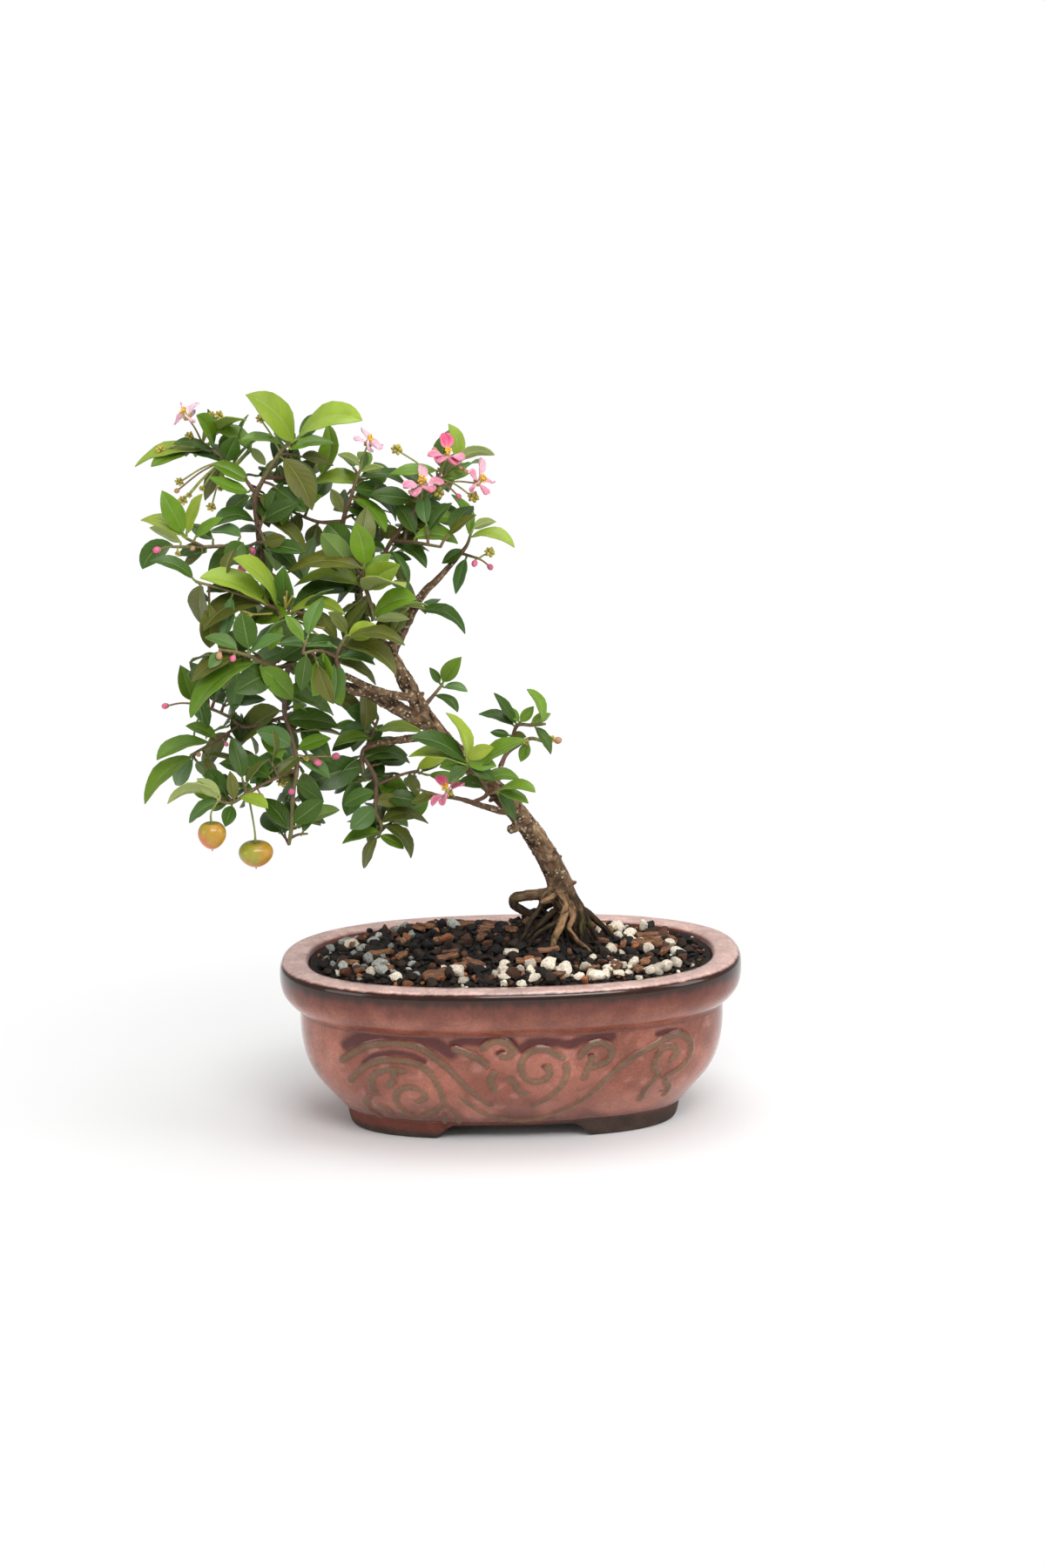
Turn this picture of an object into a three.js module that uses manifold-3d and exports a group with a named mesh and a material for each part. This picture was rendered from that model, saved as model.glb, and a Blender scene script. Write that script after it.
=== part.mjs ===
// A Barbados cherry bonsai in its glazed oval pot: a leaning trunk on bared roots, leafy sprays, five-petalled
// blooms and two ripening fruits. Millimetres, +Z up. The viewer stands on the -Y side.
import * as THREE from "three";
import { mergeVertices } from "three/addons/utils/BufferGeometryUtils.js";
import Module from "manifold-3d";

const wasm = await Module();
wasm.setup();

// Pot: an oval of stacked rings. Every ring is the rim's outline moved in by the same amount all round.
const RIM_LENGTH = 205;
const RIM_WIDTH = 130;
const RIM_HEIGHT = 75.4;
const RIM_TOP_WIDTH = 12.5;
const WALL = 6.5;
const FLOOR_TOP = 11;
const FLOOR_UNDER = 5;
const OVAL_POWER = 2.44;
const FOOT_POWER = 2.6;
const OVAL_SIDES = 34;
// Height above the table and how far the wall stands in from the rim's outline there.
const OUTER_PROFILE = [
  [0, 30],
  [1, 29],
  [8.5, 27.4],
  [9.2, 25.4],
  [15.5, 21],
  [24, 14.2],
  [37, 9.2],
  [46, 8.3],
  [53.8, 8.4],
  [57.2, 4.6],
  [61.5, 1.3],
  [69, 0],
  [73.4, 0.2],
  [RIM_HEIGHT, 1.9],
];
const INNER_PROFILE = [
  [FLOOR_TOP, 34],
  [15, 29],
  [24, 14.8 + WALL],
  [37, 10 + WALL],
  [58, 15],
  [RIM_HEIGHT - 1.5, RIM_TOP_WIDTH + 0.6],
  [RIM_HEIGHT + 2, RIM_TOP_WIDTH - 1],
];
const FOOT_RING = 8;
const NOTCH_HALF_BELOW = 28;
const NOTCH_HALF_ABOVE = 23.5;
const NOTCH_HEIGHT = 6.7;
const FOOT_BLEND_HEIGHT = 24;
const DRAIN_X = 34;
const DRAIN_RADIUS = 6.5;
const SCREEN_RADIUS = 10;
const SCREEN_THICKNESS = 1.2;
const SCREEN_PITCH = 6;
const SCREEN_HOLE = 4;
const CLEARANCE = 0.3;
const SLIVER = 0.1;

// Potting mix: edge height, the mound's rise, and its two humps [x, y, height, spread].
const SOIL_EDGE_HEIGHT = 73;
const SOIL_RISE = 3.4;
const SOIL_HUMPS = [
  [9, 9, 9, 9.5],
  [-35, 24, 3.4, 20],
];
const SOIL_RINGS = [0.8, 0.56, 0.34, 0.16];
const GRANULES = 48;
const GOLDEN_ANGLE = 2.39996;
const CHIP_THICKNESS = 2.2;
// Bark chips: [x, y, length, width, turn].
const BARK_CHIPS = [
  [-31, -38, 15, 6.5, 0.55],
  [-16, -25, 13, 5, -0.95],
  [46, -30, 9, 5, 1.3],
  [8, -24, 11, 5, 0.1],
  [-58, -6, 9, 4, 0.4],
  [62, 17, 10, 5, 0.2],
];

// Tree: what the viewer sees lies on an upright chart through the pot's middle. A place on the chart is moved
// along the line of sight to its depth behind the chart, so that it looks the same from the eye.
const EYE = new THREE.Vector3(7, -1171, 413);
const CHART_SCALE = 0.9933;
const CHART_SHIFT = new THREE.Vector3(-0.9, 0, 3.2);
const BLADE = 0.7;
const LEAF_SLENDERNESS = 0.46;
const LEAF_BROADEST = 0.62;
const LEAF_FULLEST = 0.52;
const LEAF_FOLD = 0.2;
const SMALL_LEAF = 4.6;
const FOLDED_LEAF = 10;
const LEAST_LEAF = 4;
const LONG_PETIOLE = 5;
// Shares of a leaf's length and of its half width there.
const LARGE_OUTLINE = [
  [0.28, 0.8],
  [0.6, 1],
  [0.85, 0.58],
];
const SMALL_OUTLINE = [
  [0.34, 0.88],
  [0.72, 0.84],
];
// Shares of a petal's length, and its half width as a share of its reach.
const PETAL_OUTLINE = [
  [0, 0.07],
  [0.45, 0.1],
  [0.82, 0.39],
  [1, 0.24],
];
const PETIOLE_RADIUS = 0.55;
const TRUNK_SIDES = 9;
const BRANCH_SIDES = 6;
const ROOT_SIDES = 5;
const TWIG_SIDES = 4;
const STALK_SIDES = 3;
const CLEAR_OF_BLADES = 2.1;
const CLEAR_OF_LIMBS = 1.3;
const CLEAR_OF_OWN = 1.4;
const LONGEST_LEAF = 33;
const STEEPEST = 62;
const STEEPEST_LEVEL = 14;
const TILT_TRIES = [0, 14, -14, 28, -28, 42, -42, 56, -56, 66, -66];

// Limbs: stations [x, z, depth, radius].
const WOOD = [
  [[31, 68, 8, 7.6], [29, 80, 7.5, 7.2], [27.5, 90, 7, 6.5], [25.5, 97, 6.5, 6.1], [22, 108, 6, 5.4],
    [15, 122, 5, 5], [7, 134, 3, 4.7], [0, 143, 2, 4.4], [-10, 153, 1, 4.1], [-22, 165, 0, 4],
    [-32, 177, 0, 3.8], [-38, 188, -1, 3.5], [-44, 200, -2, 3.2], [-50, 212, -2, 2.6]],
  [[-34, 178, 0, 3.3], [-42, 182, -3, 3.2], [-58, 191.5, -8, 2.8], [-73, 196, -11, 2.5], [-82, 205, -8, 2.2],
    [-92, 220, 2, 1.9], [-99, 238, 12, 1.6], [-103, 250, 16, 1.4]],
  [[-49, 210, -2, 2.5], [-43.4, 218, 4, 2.2], [-39, 227, 12, 2], [-33, 236, 18, 1.8], [-27.5, 241, 22, 1.5],
    [-19, 250, 26, 1.2]],
  [[-49, 210, -2, 2.5], [-56, 217, 6, 2.3], [-61, 229, 14, 2], [-62, 245, 20, 1.7], [-63, 256, 20, 1.5],
    [-68, 265, 18, 1.3]],
  [[-39, 189, -1, 1.9], [-49, 191, -12, 1.7], [-58, 194, -20, 1.6], [-69, 200, -24, 1.3]],
  [[-28, 172, 0, 2], [-45, 170.5, 8, 1.8], [-58, 168.5, 15, 1.4]],
  [[8, 131, 2, 2.4], [1.5, 128.6, 0, 2.1]],
  [[4, 137, 2, 1.9], [-1.7, 137.2, -3, 1.6], [-11.8, 140.5, -8, 1.4]],
  [[-6, 149, 2, 1.4], [-2, 153, 6, 1.2], [-1.6, 157.5, 10, 1.1]],
];
const ROOTS = [
  [[21, 100, 5, 2.6], [12.9, 98.6, 1, 2.1], [6.6, 99.4, 0, 2], [2.2, 97.2, 0, 1.9], [1.8, 94.8, 1, 1.8],
    [5, 92, 3, 1.7], [10, 89, 6, 1.6], [18, 80, 8, 1.5]],
  [[23.5, 101, 2, 2], [25.4, 94, -1, 1.9], [24.2, 87, -4, 1.8], [22, 81, -7, 1.5], [19, 70, -11, 1]],
  [[21, 102, 3, 1.5], [17, 97.5, 0, 1.3], [14, 92, -2, 1.1], [8, 82, -5, 1], [3, 72, -7, 0.9]],
  [[28, 99, 5, 2.2], [32, 91, 4, 1.8], [33.6, 85, 1, 1.5], [32, 71, -5, 1]],
  [[30, 97, 6, 1.9], [35, 88, 7, 1.4], [41, 74, 5, 1]],
  [[27, 93, 3, 1.5], [29.5, 87, -1, 1.2], [27.5, 83, -3, 1.1], [37, 71, -7, 0.9]],
  [[21, 91, 3, 1.6], [14, 84.5, -1, 1.3], [4, 74, -6, 1]],
  [[27, 96, 10, 2.3], [30, 88, 18, 1.8], [35, 75, 29, 1.1]],
  [[22, 96, 10, 2.1], [14, 91, 18, 1.7], [1, 76, 29, 1.1]],
  [[30, 94, 9, 1.9], [40, 86, 13, 1.4], [50, 74, 16, 1]],
];

// Sprays: twigs as limbs; leaves [x, z] at the base, [x, z] at the tip, width seen, bow, and the side shown.
// A bow over 0 bulges up or right, as a share of the length. The side is "o" for over, "u" for under.
// Buds are [x, z, radius].
const SPRAYS = {
  crown: {
    twigs: [
      [[-103, 250, 16, 1.4], [-104.3, 264, 18, 1.3], [-104.8, 279, 16, 1.2], [-101.6, 285.5, 14, 1.1],
        [-96.6, 293.4, 12, 1], [-91.7, 299.8, 10, 0.9], [-88.5, 302, 9, 0.8]],
      [[-104.6, 280, 16, 0.9], [-110, 288, 20, 0.8], [-118, 296, 24, 0.8], [-126.7, 302.4, 27, 0.6]],
      [[-100.5, 287, 14, 0.8], [-90, 286.5, 22, 0.8], [-80, 284.5, 28, 0.6]],
      [[-104.4, 266, 18, 0.8], [-103, 263, 8, 0.7], [-101.5, 259, 3, 0.6]],
    ],
    leaves: [
      [-87.8, 302.5, -107, 322.8, 12, 0.1, "o"], [-84.9, 304.5, -57.7, 311.3, 9, 0.14, "o"],
      [-76, 288, -73, 310, 8, 0.12, "o"], [-88.7, 299, -70, 301.4, 4, 0.1, "o"],
      [-92, 295, -80.5, 272.5, 11, 0.06, "o"], [-87, 287, -78, 294, 6, 0.05, "o"],
      [-79, 284, -56, 282, 6, 0.14, "o"], [-93, 301.5, -110, 304, 3.5, 0.08, "o"],
      [-106, 300, -99.8, 292.6, 4, 0, "u"], [-106, 299, -123.6, 308.6, 6, 0.12, "o"],
      [-117.1, 294.9, -112.4, 304.5, 8.5, 0, "o"], [-123, 300, -139.1, 302.6, 3.5, 0.08, "o"],
      [-119.5, 294.7, -135, 299, 4, 0.08, "o"], [-127, 299.5, -156.4, 293.2, 5, 0.12, "o"],
      [-122, 300.7, -128, 314.5, 6, 0.06, "o"], [-121, 306.5, -107.2, 312.7, 4, 0.08, "u"],
      [-118.5, 298, -113, 309, 4, 0.05, "o"], [-108, 285.6, -123, 293.6, 6, 0.05, "o"],
      [-108, 281, -124, 288, 5, -0.05, "o"], [-107.5, 279.3, -117.7, 269.3, 7, 0.08, "o"],
      [-106, 268.3, -123.3, 266.6, 6, 0.2, "o"], [-103, 279, -90.8, 268.4, 9, 0.08, "o"],
      [-102.4, 268.5, -84.7, 252.9, 5, 0.14, "o"], [-101.5, 258.6, -92.7, 261.1, 6, 0, "o"],
      [-101, 257, -84.5, 254.5, 6, 0.05, "o"],
    ],
    buds: [[-143.3, 298.8, 1.9], [-120.1, 313.2, 2.1]],
  },
  far_left: {
    twigs: [
      [[-101.5, 244, 14, 1], [-108, 252, 6, 0.9], [-115, 257, 0, 0.9], [-131, 257.6, -8, 0.8], [-142, 258, -13, 0.6]],
      [[-128, 257.6, -6.5, 0.7], [-135.5, 261.5, -12, 0.6]],
    ],
    leaves: [
      [-142, 259, -155.2, 248.5, 9, 0.16, "o"], [-137, 264, -145, 282.5, 9, 0, "o"],
      [-137.5, 263, -155, 270.1, 6, 0.12, "o"], [-135.4, 264, -128.1, 280.7, 4.5, 0, "o"],
      [-138, 260, -151, 266.7, 4, 0, "u"], [-131.5, 262, -119.5, 270.5, 4, 0.05, "o"],
      [-124, 261, -134, 267.5, 5, 0, "o"], [-111, 259, -118, 249, 9, 0.05, "o"],
      [-112, 262, -127.5, 263.5, 4, 0.08, "o"], [-108, 256, -127, 245, 9, 0.1, "o"],
      [-127.4, 255.3, -140, 254, 5, 0.1, "o"], [-129, 255, -137.5, 250, 4, 0, "o"],
    ],
    buds: [[-138.4, 281.8, 1.6], [-149, 256.7, 1.5], [-117, 249.9, 1.4]],
  },
  star: {
    twigs: [
      [[-94.3, 226, 5, 1.1], [-97, 228.5, -6, 1], [-100, 231, -16, 0.9], [-116, 237.5, -22, 0.7],
        [-132, 242.5, -28, 0.6]],
      [[-96, 228, -3, 0.8], [-86, 227.5, -16, 0.6]],
    ],
    leaves: [
      [-97.5, 230, -115.2, 252.8, 6, 0.12, "o"], [-100.5, 231, -130.3, 244.9, 8, 0.1, "o"],
      [-103, 233, -130.5, 221.1, 9, 0.16, "o"], [-92, 227.5, -67.6, 226.8, 5, 0.18, "o"],
      [-91, 225.5, -76.8, 220.8, 4.5, 0.1, "o"], [-94, 231, -94, 248.5, 8, 0, "o"],
      [-114, 238.5, -128, 238, 5, 0.12, "o"], [-117, 235.5, -122.3, 217.1, 6, 0.05, "o"],
      [-84, 227, -71.5, 216, 6, 0.08, "o"], [-133.6, 244.1, -151.7, 252.3, 5, 0.12, "o"],
      [-130.4, 240.7, -131.4, 223.6, 8, 0, "o"],
    ],
    buds: [[-114, 224.5, 1.1]],
  },
  middle_left: {
    twigs: [
      [[-85.5, 210.3, -4.5, 1.3], [-97, 204, -16, 1.1], [-104, 206, -24, 1], [-111, 209.5, -30, 0.9],
        [-118, 211.5, -33, 0.8], [-123, 212.3, -35, 0.6]],
    ],
    leaves: [
      [-110.5, 212.5, -113, 229, 13, 0, "o"], [-116, 212.6, -129.6, 218, 5, 0.08, "o"],
      [-122.8, 211.3, -128.3, 204.3, 5, 0, "o"], [-110, 211, -95, 218.2, 4, 0.05, "o"],
      [-117, 209, -136.3, 198.3, 6, 0.1, "o"], [-108.9, 206.4, -137.7, 182.4, 8, 0.12, "o"],
      [-106, 204, -92.2, 189.4, 10, 0.05, "o"], [-100, 202, -117.8, 193, 12, 0.04, "o"],
    ],
    buds: [[-122.5, 207.4, 1.4]],
  },
  hanging: {
    twigs: [
      [[-90, 217, 0, 1.3], [-94, 202, 5, 1.2], [-96, 184, 3, 1.1], [-93.6, 174, 0, 1.1], [-91.5, 160, -3, 1.1],
        [-93.3, 149.5, -6, 1], [-95.2, 130.5, -9, 0.9], [-96.4, 124, -10, 0.8]],
      [[-95.6, 182, 3, 0.8], [-114, 177.5, 8, 0.8], [-120, 182, 12, 0.7], [-128, 186, 15, 0.7], [-136, 188.6, 17, 0.6]],
      [[-116, 178.5, 9, 0.7], [-128, 171, 0, 0.7], [-138, 165.5, -6, 0.6]],
      [[-92, 158, -3.5, 0.8], [-104, 153, -16, 0.8], [-114.5, 147.5, -25, 0.8], [-121, 143.5, -28, 0.7],
        [-127, 144.5, -30, 0.6]],
    ],
    leaves: [
      [-136.7, 190.2, -140.6, 205.7, 7.7, 0, "o"], [-129, 187.6, -134, 197, 3, 0, "o"],
      [-138, 164.4, -159.8, 143.9, 7, 0.12, "o"], [-129.9, 171.2, -153.4, 164, 6, 0.1, "o"],
      [-127, 173, -139.7, 178.9, 5, 0.08, "o"], [-120.7, 174.5, -133.8, 155.7, 7, 0.06, "o"],
      [-118, 184, -116, 171, 6, 0, "o"], [-98, 184.5, -119.6, 166.1, 9, 0.08, "o"],
      [-95, 180, -72.5, 177, 9, 0.08, "o"], [-94.5, 192.5, -73.8, 182.3, 8, 0.1, "o"],
      [-93.6, 168.9, -108.8, 175.8, 9, 0.06, "o"], [-90.6, 167.1, -76, 171.8, 6, 0.05, "o"],
      [-91, 163, -76.8, 153.6, 6, 0.08, "o"], [-93, 163.5, -113, 152, 12, 0.06, "o"],
      [-104, 155, -125.9, 162, 9, 0.06, "o"], [-92, 152, -80, 143, 7, 0, "o"],
      [-94, 134, -80.5, 144, 9, 0, "o"], [-96.7, 131.6, -107.2, 145.6, 8, 0.05, "o"],
      [-93, 132.3, -73.6, 139.6, 6, 0.05, "u"], [-127.2, 146, -149.6, 143.9, 4, 0.22, "u"],
      [-126.8, 143.9, -140.4, 134.9, 5, 0.08, "o"], [-117, 146.4, -105, 141, 5, 0.06, "o"],
      [-121, 142.2, -124.3, 133, 6, 0, "o"], [-126, 147, -136, 155, 6, 0, "u"],
      [-120, 145, -121, 158, 5, 0, "o"],
    ],
    buds: [[-148.5, 183.9, 1.5], [-94.2, 146.4, 1.3], [-105.7, 150.6, 2.2]],
  },
  middle: {
    twigs: [
      [[-71, 201.5, -25, 1.2], [-72.5, 208, -27, 1], [-68, 217, -30, 0.8]],
      [[-72.4, 208, -27, 0.8], [-79, 211, -31, 0.7], [-87, 210, -36, 0.6]],
    ],
    leaves: [
      [-85.6, 209, -88.3, 193.1, 7, 0, "o"], [-78, 210, -83.6, 190.7, 9, 0.1, "o"],
      [-73, 205, -74, 189, 8, 0.05, "o"], [-73.5, 213, -97.8, 214.5, 5, 0.05, "o"],
      [-66.7, 217.5, -53.6, 221.5, 8, 0, "o"], [-68.6, 213.3, -46.1, 199.5, 7, 0.16, "o"],
      [-68, 216, -42.1, 212.9, 5, 0.14, "o"], [-71, 205.5, -55.1, 195.4, 4, 0.1, "o"],
      [-71, 208, -55.4, 204.3, 4, 0.12, "o"], [-67.5, 218.5, -75, 228, 5, 0.05, "o"],
    ],
    buds: [],
  },
  centre: {
    twigs: [
      [[-61.6, 236, 15, 1.2], [-60, 238, 6, 1], [-59, 239, -6, 0.9], [-56, 229, -14, 0.8], [-55.3, 224.5, -16, 0.6]],
      [[-59, 239, -5, 0.8], [-59.2, 247, -12, 0.6]],
    ],
    leaves: [
      [-58.7, 248.6, -62.3, 266.3, 10, 0.05, "o"], [-58.3, 238.4, -43.5, 247.8, 11, 0.06, "o"],
      [-58.6, 237, -41, 238.9, 4, 0.08, "u"], [-60.2, 247, -92.8, 245.8, 7, 0.12, "o"],
      [-60.8, 239.6, -90, 240, 6, 0.12, "o"], [-60, 235.5, -89.8, 231.6, 7, 0.16, "o"],
      [-55.2, 226.2, -36.9, 233.2, 8, 0.1, "o"], [-55, 224, -39.9, 224.3, 4, 0.05, "u"],
      [-57.5, 233, -69, 219, 5, 0, "o"], [-58.5, 245, -47, 253, 6, 0, "o"],
    ],
    buds: [],
  },
  upper: {
    twigs: [
      [[-68, 265, 18, 1.2], [-66, 272, 16, 1], [-63.5, 278, 15, 0.9], [-61.5, 284, 14, 0.8], [-59, 290, 13, 0.6]],
      [[-68.4, 267.4, 17, 0.9], [-78, 267.5, 22, 0.8], [-90, 272.5, 28, 0.6]],
    ],
    leaves: [
      [-62.2, 281.2, -43.9, 267.1, 7, 0.18, "o"], [-62.5, 277, -48.9, 262.5, 5, 0.1, "o"],
      [-65, 272.4, -54.2, 265, 5, 0.14, "o"], [-67.4, 271.6, -72, 281.7, 5, 0, "o"],
      [-59.1, 286.5, -39, 282.2, 4, 0.14, "o"], [-59.4, 291.6, -68.7, 296.4, 3.6, 0.06, "u"],
      [-58.2, 289.9, -56.1, 297.4, 3.5, 0, "o"], [-57.8, 289, -49, 290.8, 3.4, 0, "u"],
      [-79, 266.4, -81, 256, 8, 0, "o"], [-74, 266, -71.5, 254, 7, 0, "o"],
      [-86, 271.6, -90, 260, 6, 0, "o"], [-88, 273, -76, 279, 5, 0, "o"],
    ],
    buds: [],
  },
  flowering: {
    twigs: [
      [[-60.2, 247.5, 20.5, 1.1], [-52, 250.5, 18, 1], [-47, 258, 16, 1], [-40.5, 266.5, 14, 1], [-34, 274, 12, 1],
        [-28.5, 280, 11, 0.9], [-23, 286.5, 10, 0.7], [-18.5, 291.5, 10, 0.6]],
      [[-46, 258.5, 16, 0.9], [-36, 257.5, 6, 0.8], [-25.5, 255.5, -2, 0.6]],
      [[-39.5, 267, 14, 0.7], [-30, 269, 24, 0.6]],
    ],
    leaves: [
      [-17.6, 293.4, -20.5, 308.6, 6, 0.12, "o"], [-17.2, 292.4, -0.9, 295.1, 4.4, 0.16, "u"],
      [-24.1, 285.4, -12.2, 287.1, 5, 0.06, "o"],
      [-30.5, 279, -43, 288.6, 4, 0.08, "o"], [-36.6, 259.4, -17.6, 257, 6, 0.14, "o"],
      [-42, 263, -22.1, 261.8, 4.6, 0.1, "o"], [-37.8, 269.8, -23.3, 262.6, 5, 0.06, "o"],
      [-29, 270, -16.5, 264.1, 6, 0.06, "o"], [-36, 273, -23, 272, 6, 0.05, "o"],
      [-43.5, 263, -52, 261, 6, 0.05, "o"], [-49.5, 254.7, -58.8, 257.5, 5, 0.05, "o"],
      [-46, 256.7, -31.8, 246.5, 5, 0.14, "o"], [-49.6, 252, -38.2, 250.4, 3.6, 0, "o"],
    ],
    buds: [[-43, 298, 2.7], [-11, 277.5, 2.7], [-26.5, 298, 1.4], [-16.5, 277.8, 1.4]],
  },
  right_tip: {
    twigs: [
      [[-19, 250, 26, 1.1], [-14, 256, 25, 0.8], [-12.2, 261, 24, 0.6]],
      [[-16.5, 252.5, 26.2, 0.7], [-9, 250, 20, 0.6]],
    ],
    leaves: [
      [-13.1, 261.5, -20, 278.3, 4.5, 0.14, "o"], [-11.2, 263.2, -1.2, 266.1, 4, 0.05, "u"],
      [-11.8, 259.6, 6.8, 254.8, 4.6, 0.16, "o"], [-16, 254, -25, 248.3, 4.6, 0, "o"],
      [-14.7, 249.9, -19.7, 234.8, 5, 0, "o"],
    ],
    buds: [[-4, 251.5, 1.4], [-4.1, 245.1, 1.4], [-10.9, 246.7, 1.5]],
  },
  right_low: {
    twigs: [[[-37, 230, 12, 0.9], [-34.5, 228.6, 4, 0.7]], [[-36, 229.4, 9, 0.7], [-37.5, 234, 3, 0.6]]],
    leaves: [
      [-34.3, 227.8, -15.5, 217.2, 5, 0.18, "o"], [-38, 234.6, -47.6, 240.3, 4.6, 0.1, "o"],
    ],
    buds: [],
  },
  trunk_twig: {
    twigs: [[[-33.4, 186.6, 0, 1], [-30.5, 189.8, 4, 0.8], [-26.5, 194.5, 8, 0.6]]],
    leaves: [
      [-25.9, 196, -17.7, 206.7, 7, 0.04, "o"], [-27.5, 195.5, -31.6, 202.5, 3.4, 0, "o"],
      [-25.5, 193.5, -15.3, 191.5, 3.4, 0.1, "o"], [-29.2, 190, -19.7, 182.5, 3.6, 0.14, "o"],
    ],
    buds: [],
  },
  lower: {
    twigs: [
      [[-58, 168.5, 15, 1.4], [-62, 166, 17, 1.1], [-62.5, 156, 18, 1]],
      [[-61.8, 163, 17, 1], [-57, 153, 16, 1], [-57.3, 138, 16, 0.9], [-55, 131.5, 16, 0.8], [-56.5, 126.5, 16, 0.6]],
      [[-60, 168.6, 16, 0.8], [-57.5, 174, 22, 0.7], [-55, 180, 27, 0.6]],
      [[-57.3, 150, 16, 0.7], [-46, 154.5, 22, 0.7], [-38, 156.5, 27, 0.6]],
    ],
    leaves: [
      [-55, 181.5, -69, 184.5, 9, 0, "o"], [-57, 175.5, -72, 174, 7, 0.06, "o"],
      [-58, 171.5, -74.7, 168.3, 5, 0.1, "o"], [-55.2, 175, -36.3, 174.3, 5, 0.08, "o"],
      [-62.5, 161.4, -41.5, 159.9, 7, 0.2, "o"], [-46.7, 153.8, -49.8, 136.4, 13, 0, "o"],
      [-42, 155, -38.5, 144, 5, 0, "o"], [-62.6, 158.7, -89, 149.5, 14, 0.06, "o"],
      [-57.8, 140, -68.7, 130.6, 9, 0, "o"], [-56.2, 128.8, -72.9, 124.3, 5, 0.06, "o"],
      [-57.4, 126.2, -64, 112.4, 4.6, 0.04, "o"], [-55.7, 127, -45.4, 121, 4.6, 0.06, "o"],
      [-54.3, 131.9, -42.2, 116.6, 5, 0.16, "o"], [-54.8, 133.2, -34.1, 132.4, 5, 0.2, "o"],
      [-57.5, 147, -71.5, 141, 7, 0.06, "o"], [-57.5, 143, -45.5, 142, 6, 0.06, "o"],
      [-38, 157.5, -25.5, 161.5, 5, 0.05, "o"],
    ],
    buds: [],
  },
  lower_right: {
    twigs: [
      [[-11.8, 140.5, -8, 1.3], [-20.4, 143.3, -14, 1], [-29.5, 144.9, -19, 0.8], [-38.9, 148.2, -23, 0.6]],
      [[-14.5, 141.3, -10, 0.9], [-8, 145, -16, 0.9], [-10.3, 152, -21, 0.8], [-16.2, 159.8, -25, 0.6]],
      [[-8, 145, -16, 0.8], [-3, 146.2, -21, 0.6]],
    ],
    leaves: [
      [-16.5, 160.9, -24.9, 182.3, 4.6, 0.12, "o"], [-17.2, 160, -41, 172, 7, 0.1, "o"],
      [-15.9, 158.2, -42, 163, 5, 0.1, "o"], [-15.5, 161, -4.5, 166, 6, 0.08, "o"],
      [-12.6, 156.5, 9.9, 169.3, 6, 0.08, "o"], [-9.2, 150.8, 6.8, 151.7, 5, 0.14, "o"],
      [-2.4, 146.8, 13.6, 145.9, 4, 0.12, "o"], [-2.2, 145.8, 10.4, 140.6, 4, 0.08, "o"],
      [-3, 144.9, 4.6, 132.9, 5, 0.04, "o"], [-9.6, 147.9, -20.8, 150, 5, 0.16, "o"],
      [-30.5, 145.6, -41.5, 142, 4, 0, "o"],
    ],
    buds: [],
  },
  right: {
    twigs: [
      [[-1.6, 157.5, 10, 1.1], [1.5, 163.5, 15, 1], [6.9, 167.3, 18, 0.9], [12, 169.8, 20, 0.8], [18, 168.2, 21, 0.7]],
      [[2.5, 164.3, 15.6, 0.9], [4, 170, 12, 0.9], [6.4, 175.9, 8, 0.8], [12.5, 175.8, 4, 0.8], [18.6, 176.2, 0, 0.6]],
    ],
    leaves: [
      [5.5, 177, -3.6, 190.6, 4, 0, "o"], [7, 177.5, 0.1, 184.6, 4.4, 0, "o"],
      [7.7, 177.5, 13.6, 184.2, 4.6, 0, "o"], [4.4, 176, -10.7, 181.4, 4.4, 0.1, "o"],
      [17.2, 177.2, 11, 192.1, 4, 0.14, "o"], [14.1, 174.8, 21, 162.6, 4, 0.06, "o"],
      [10.7, 168, 7.3, 159.3, 5, 0, "o"], [2.6, 171.5, -5.8, 173, 3.4, 0, "o"],
      [4.8, 172, 10, 170.6, 3.4, 0, "o"], [12.5, 176.7, 21, 181, 4, 0, "o"],
    ],
    buds: [[24, 168.4, 1.8], [20.8, 169.6, 1.7]],
  },
};

// Blooms: [spray, centre x, z, depth, petal reach, turn, face elevation, stalk's foot x, z].
const BLOOMS = {
  bloom_top_left: ["crown", -132.9, 314.2, 23, 7, 0.3, 50, -126.7, 303],
  bloom_top: ["upper", -55.3, 301, 9, 7, 0.1, 55, -58.6, 291],
  bloom_upper_right: ["flowering", -21.5, 294.8, 2, 8.5, 0.2, 10, -26, 283.6],
  bloom_right: ["flowering", -32.5, 282.5, 1, 8.5, -0.1, 15, -33.6, 275.4],
  bloom_far_right: ["flowering", -8.5, 283.4, 7, 9, 0.4, -10, -27, 281.6],
  bloom_lower_right: ["lower_right", -25, 146.4, -25, 8.5, 0.5, 20, -22, 144],
};
const PETALS = 5;
const HEART_RADIUS = 2.4;
const PETAL_CUP = 0.12;

// Fruits: [spray, centre x, z, depth, diameter, height, stalk's foot x, z].
const FRUITS = {
  fruit_left: ["hanging", -130.4, 129.2, -35, 12, 12.7, -127.5, 144.5],
  fruit_right: ["hanging", -111.3, 120.3, -27, 14.8, 12.2, -113.4, 147.6],
};

// A seeded stream of numbers between 0 and 1.
function stream(seed) {
  let state = seed;
  return () => {
    state = (state + 0x6d2b79f5) | 0;
    let t = Math.imul(state ^ (state >>> 15), 1 | state);
    t = (t + Math.imul(t ^ (t >>> 7), 61 | t)) ^ t;
    return ((t ^ (t >>> 14)) >>> 0) / 4294967296;
  };
}

// Solids

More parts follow.
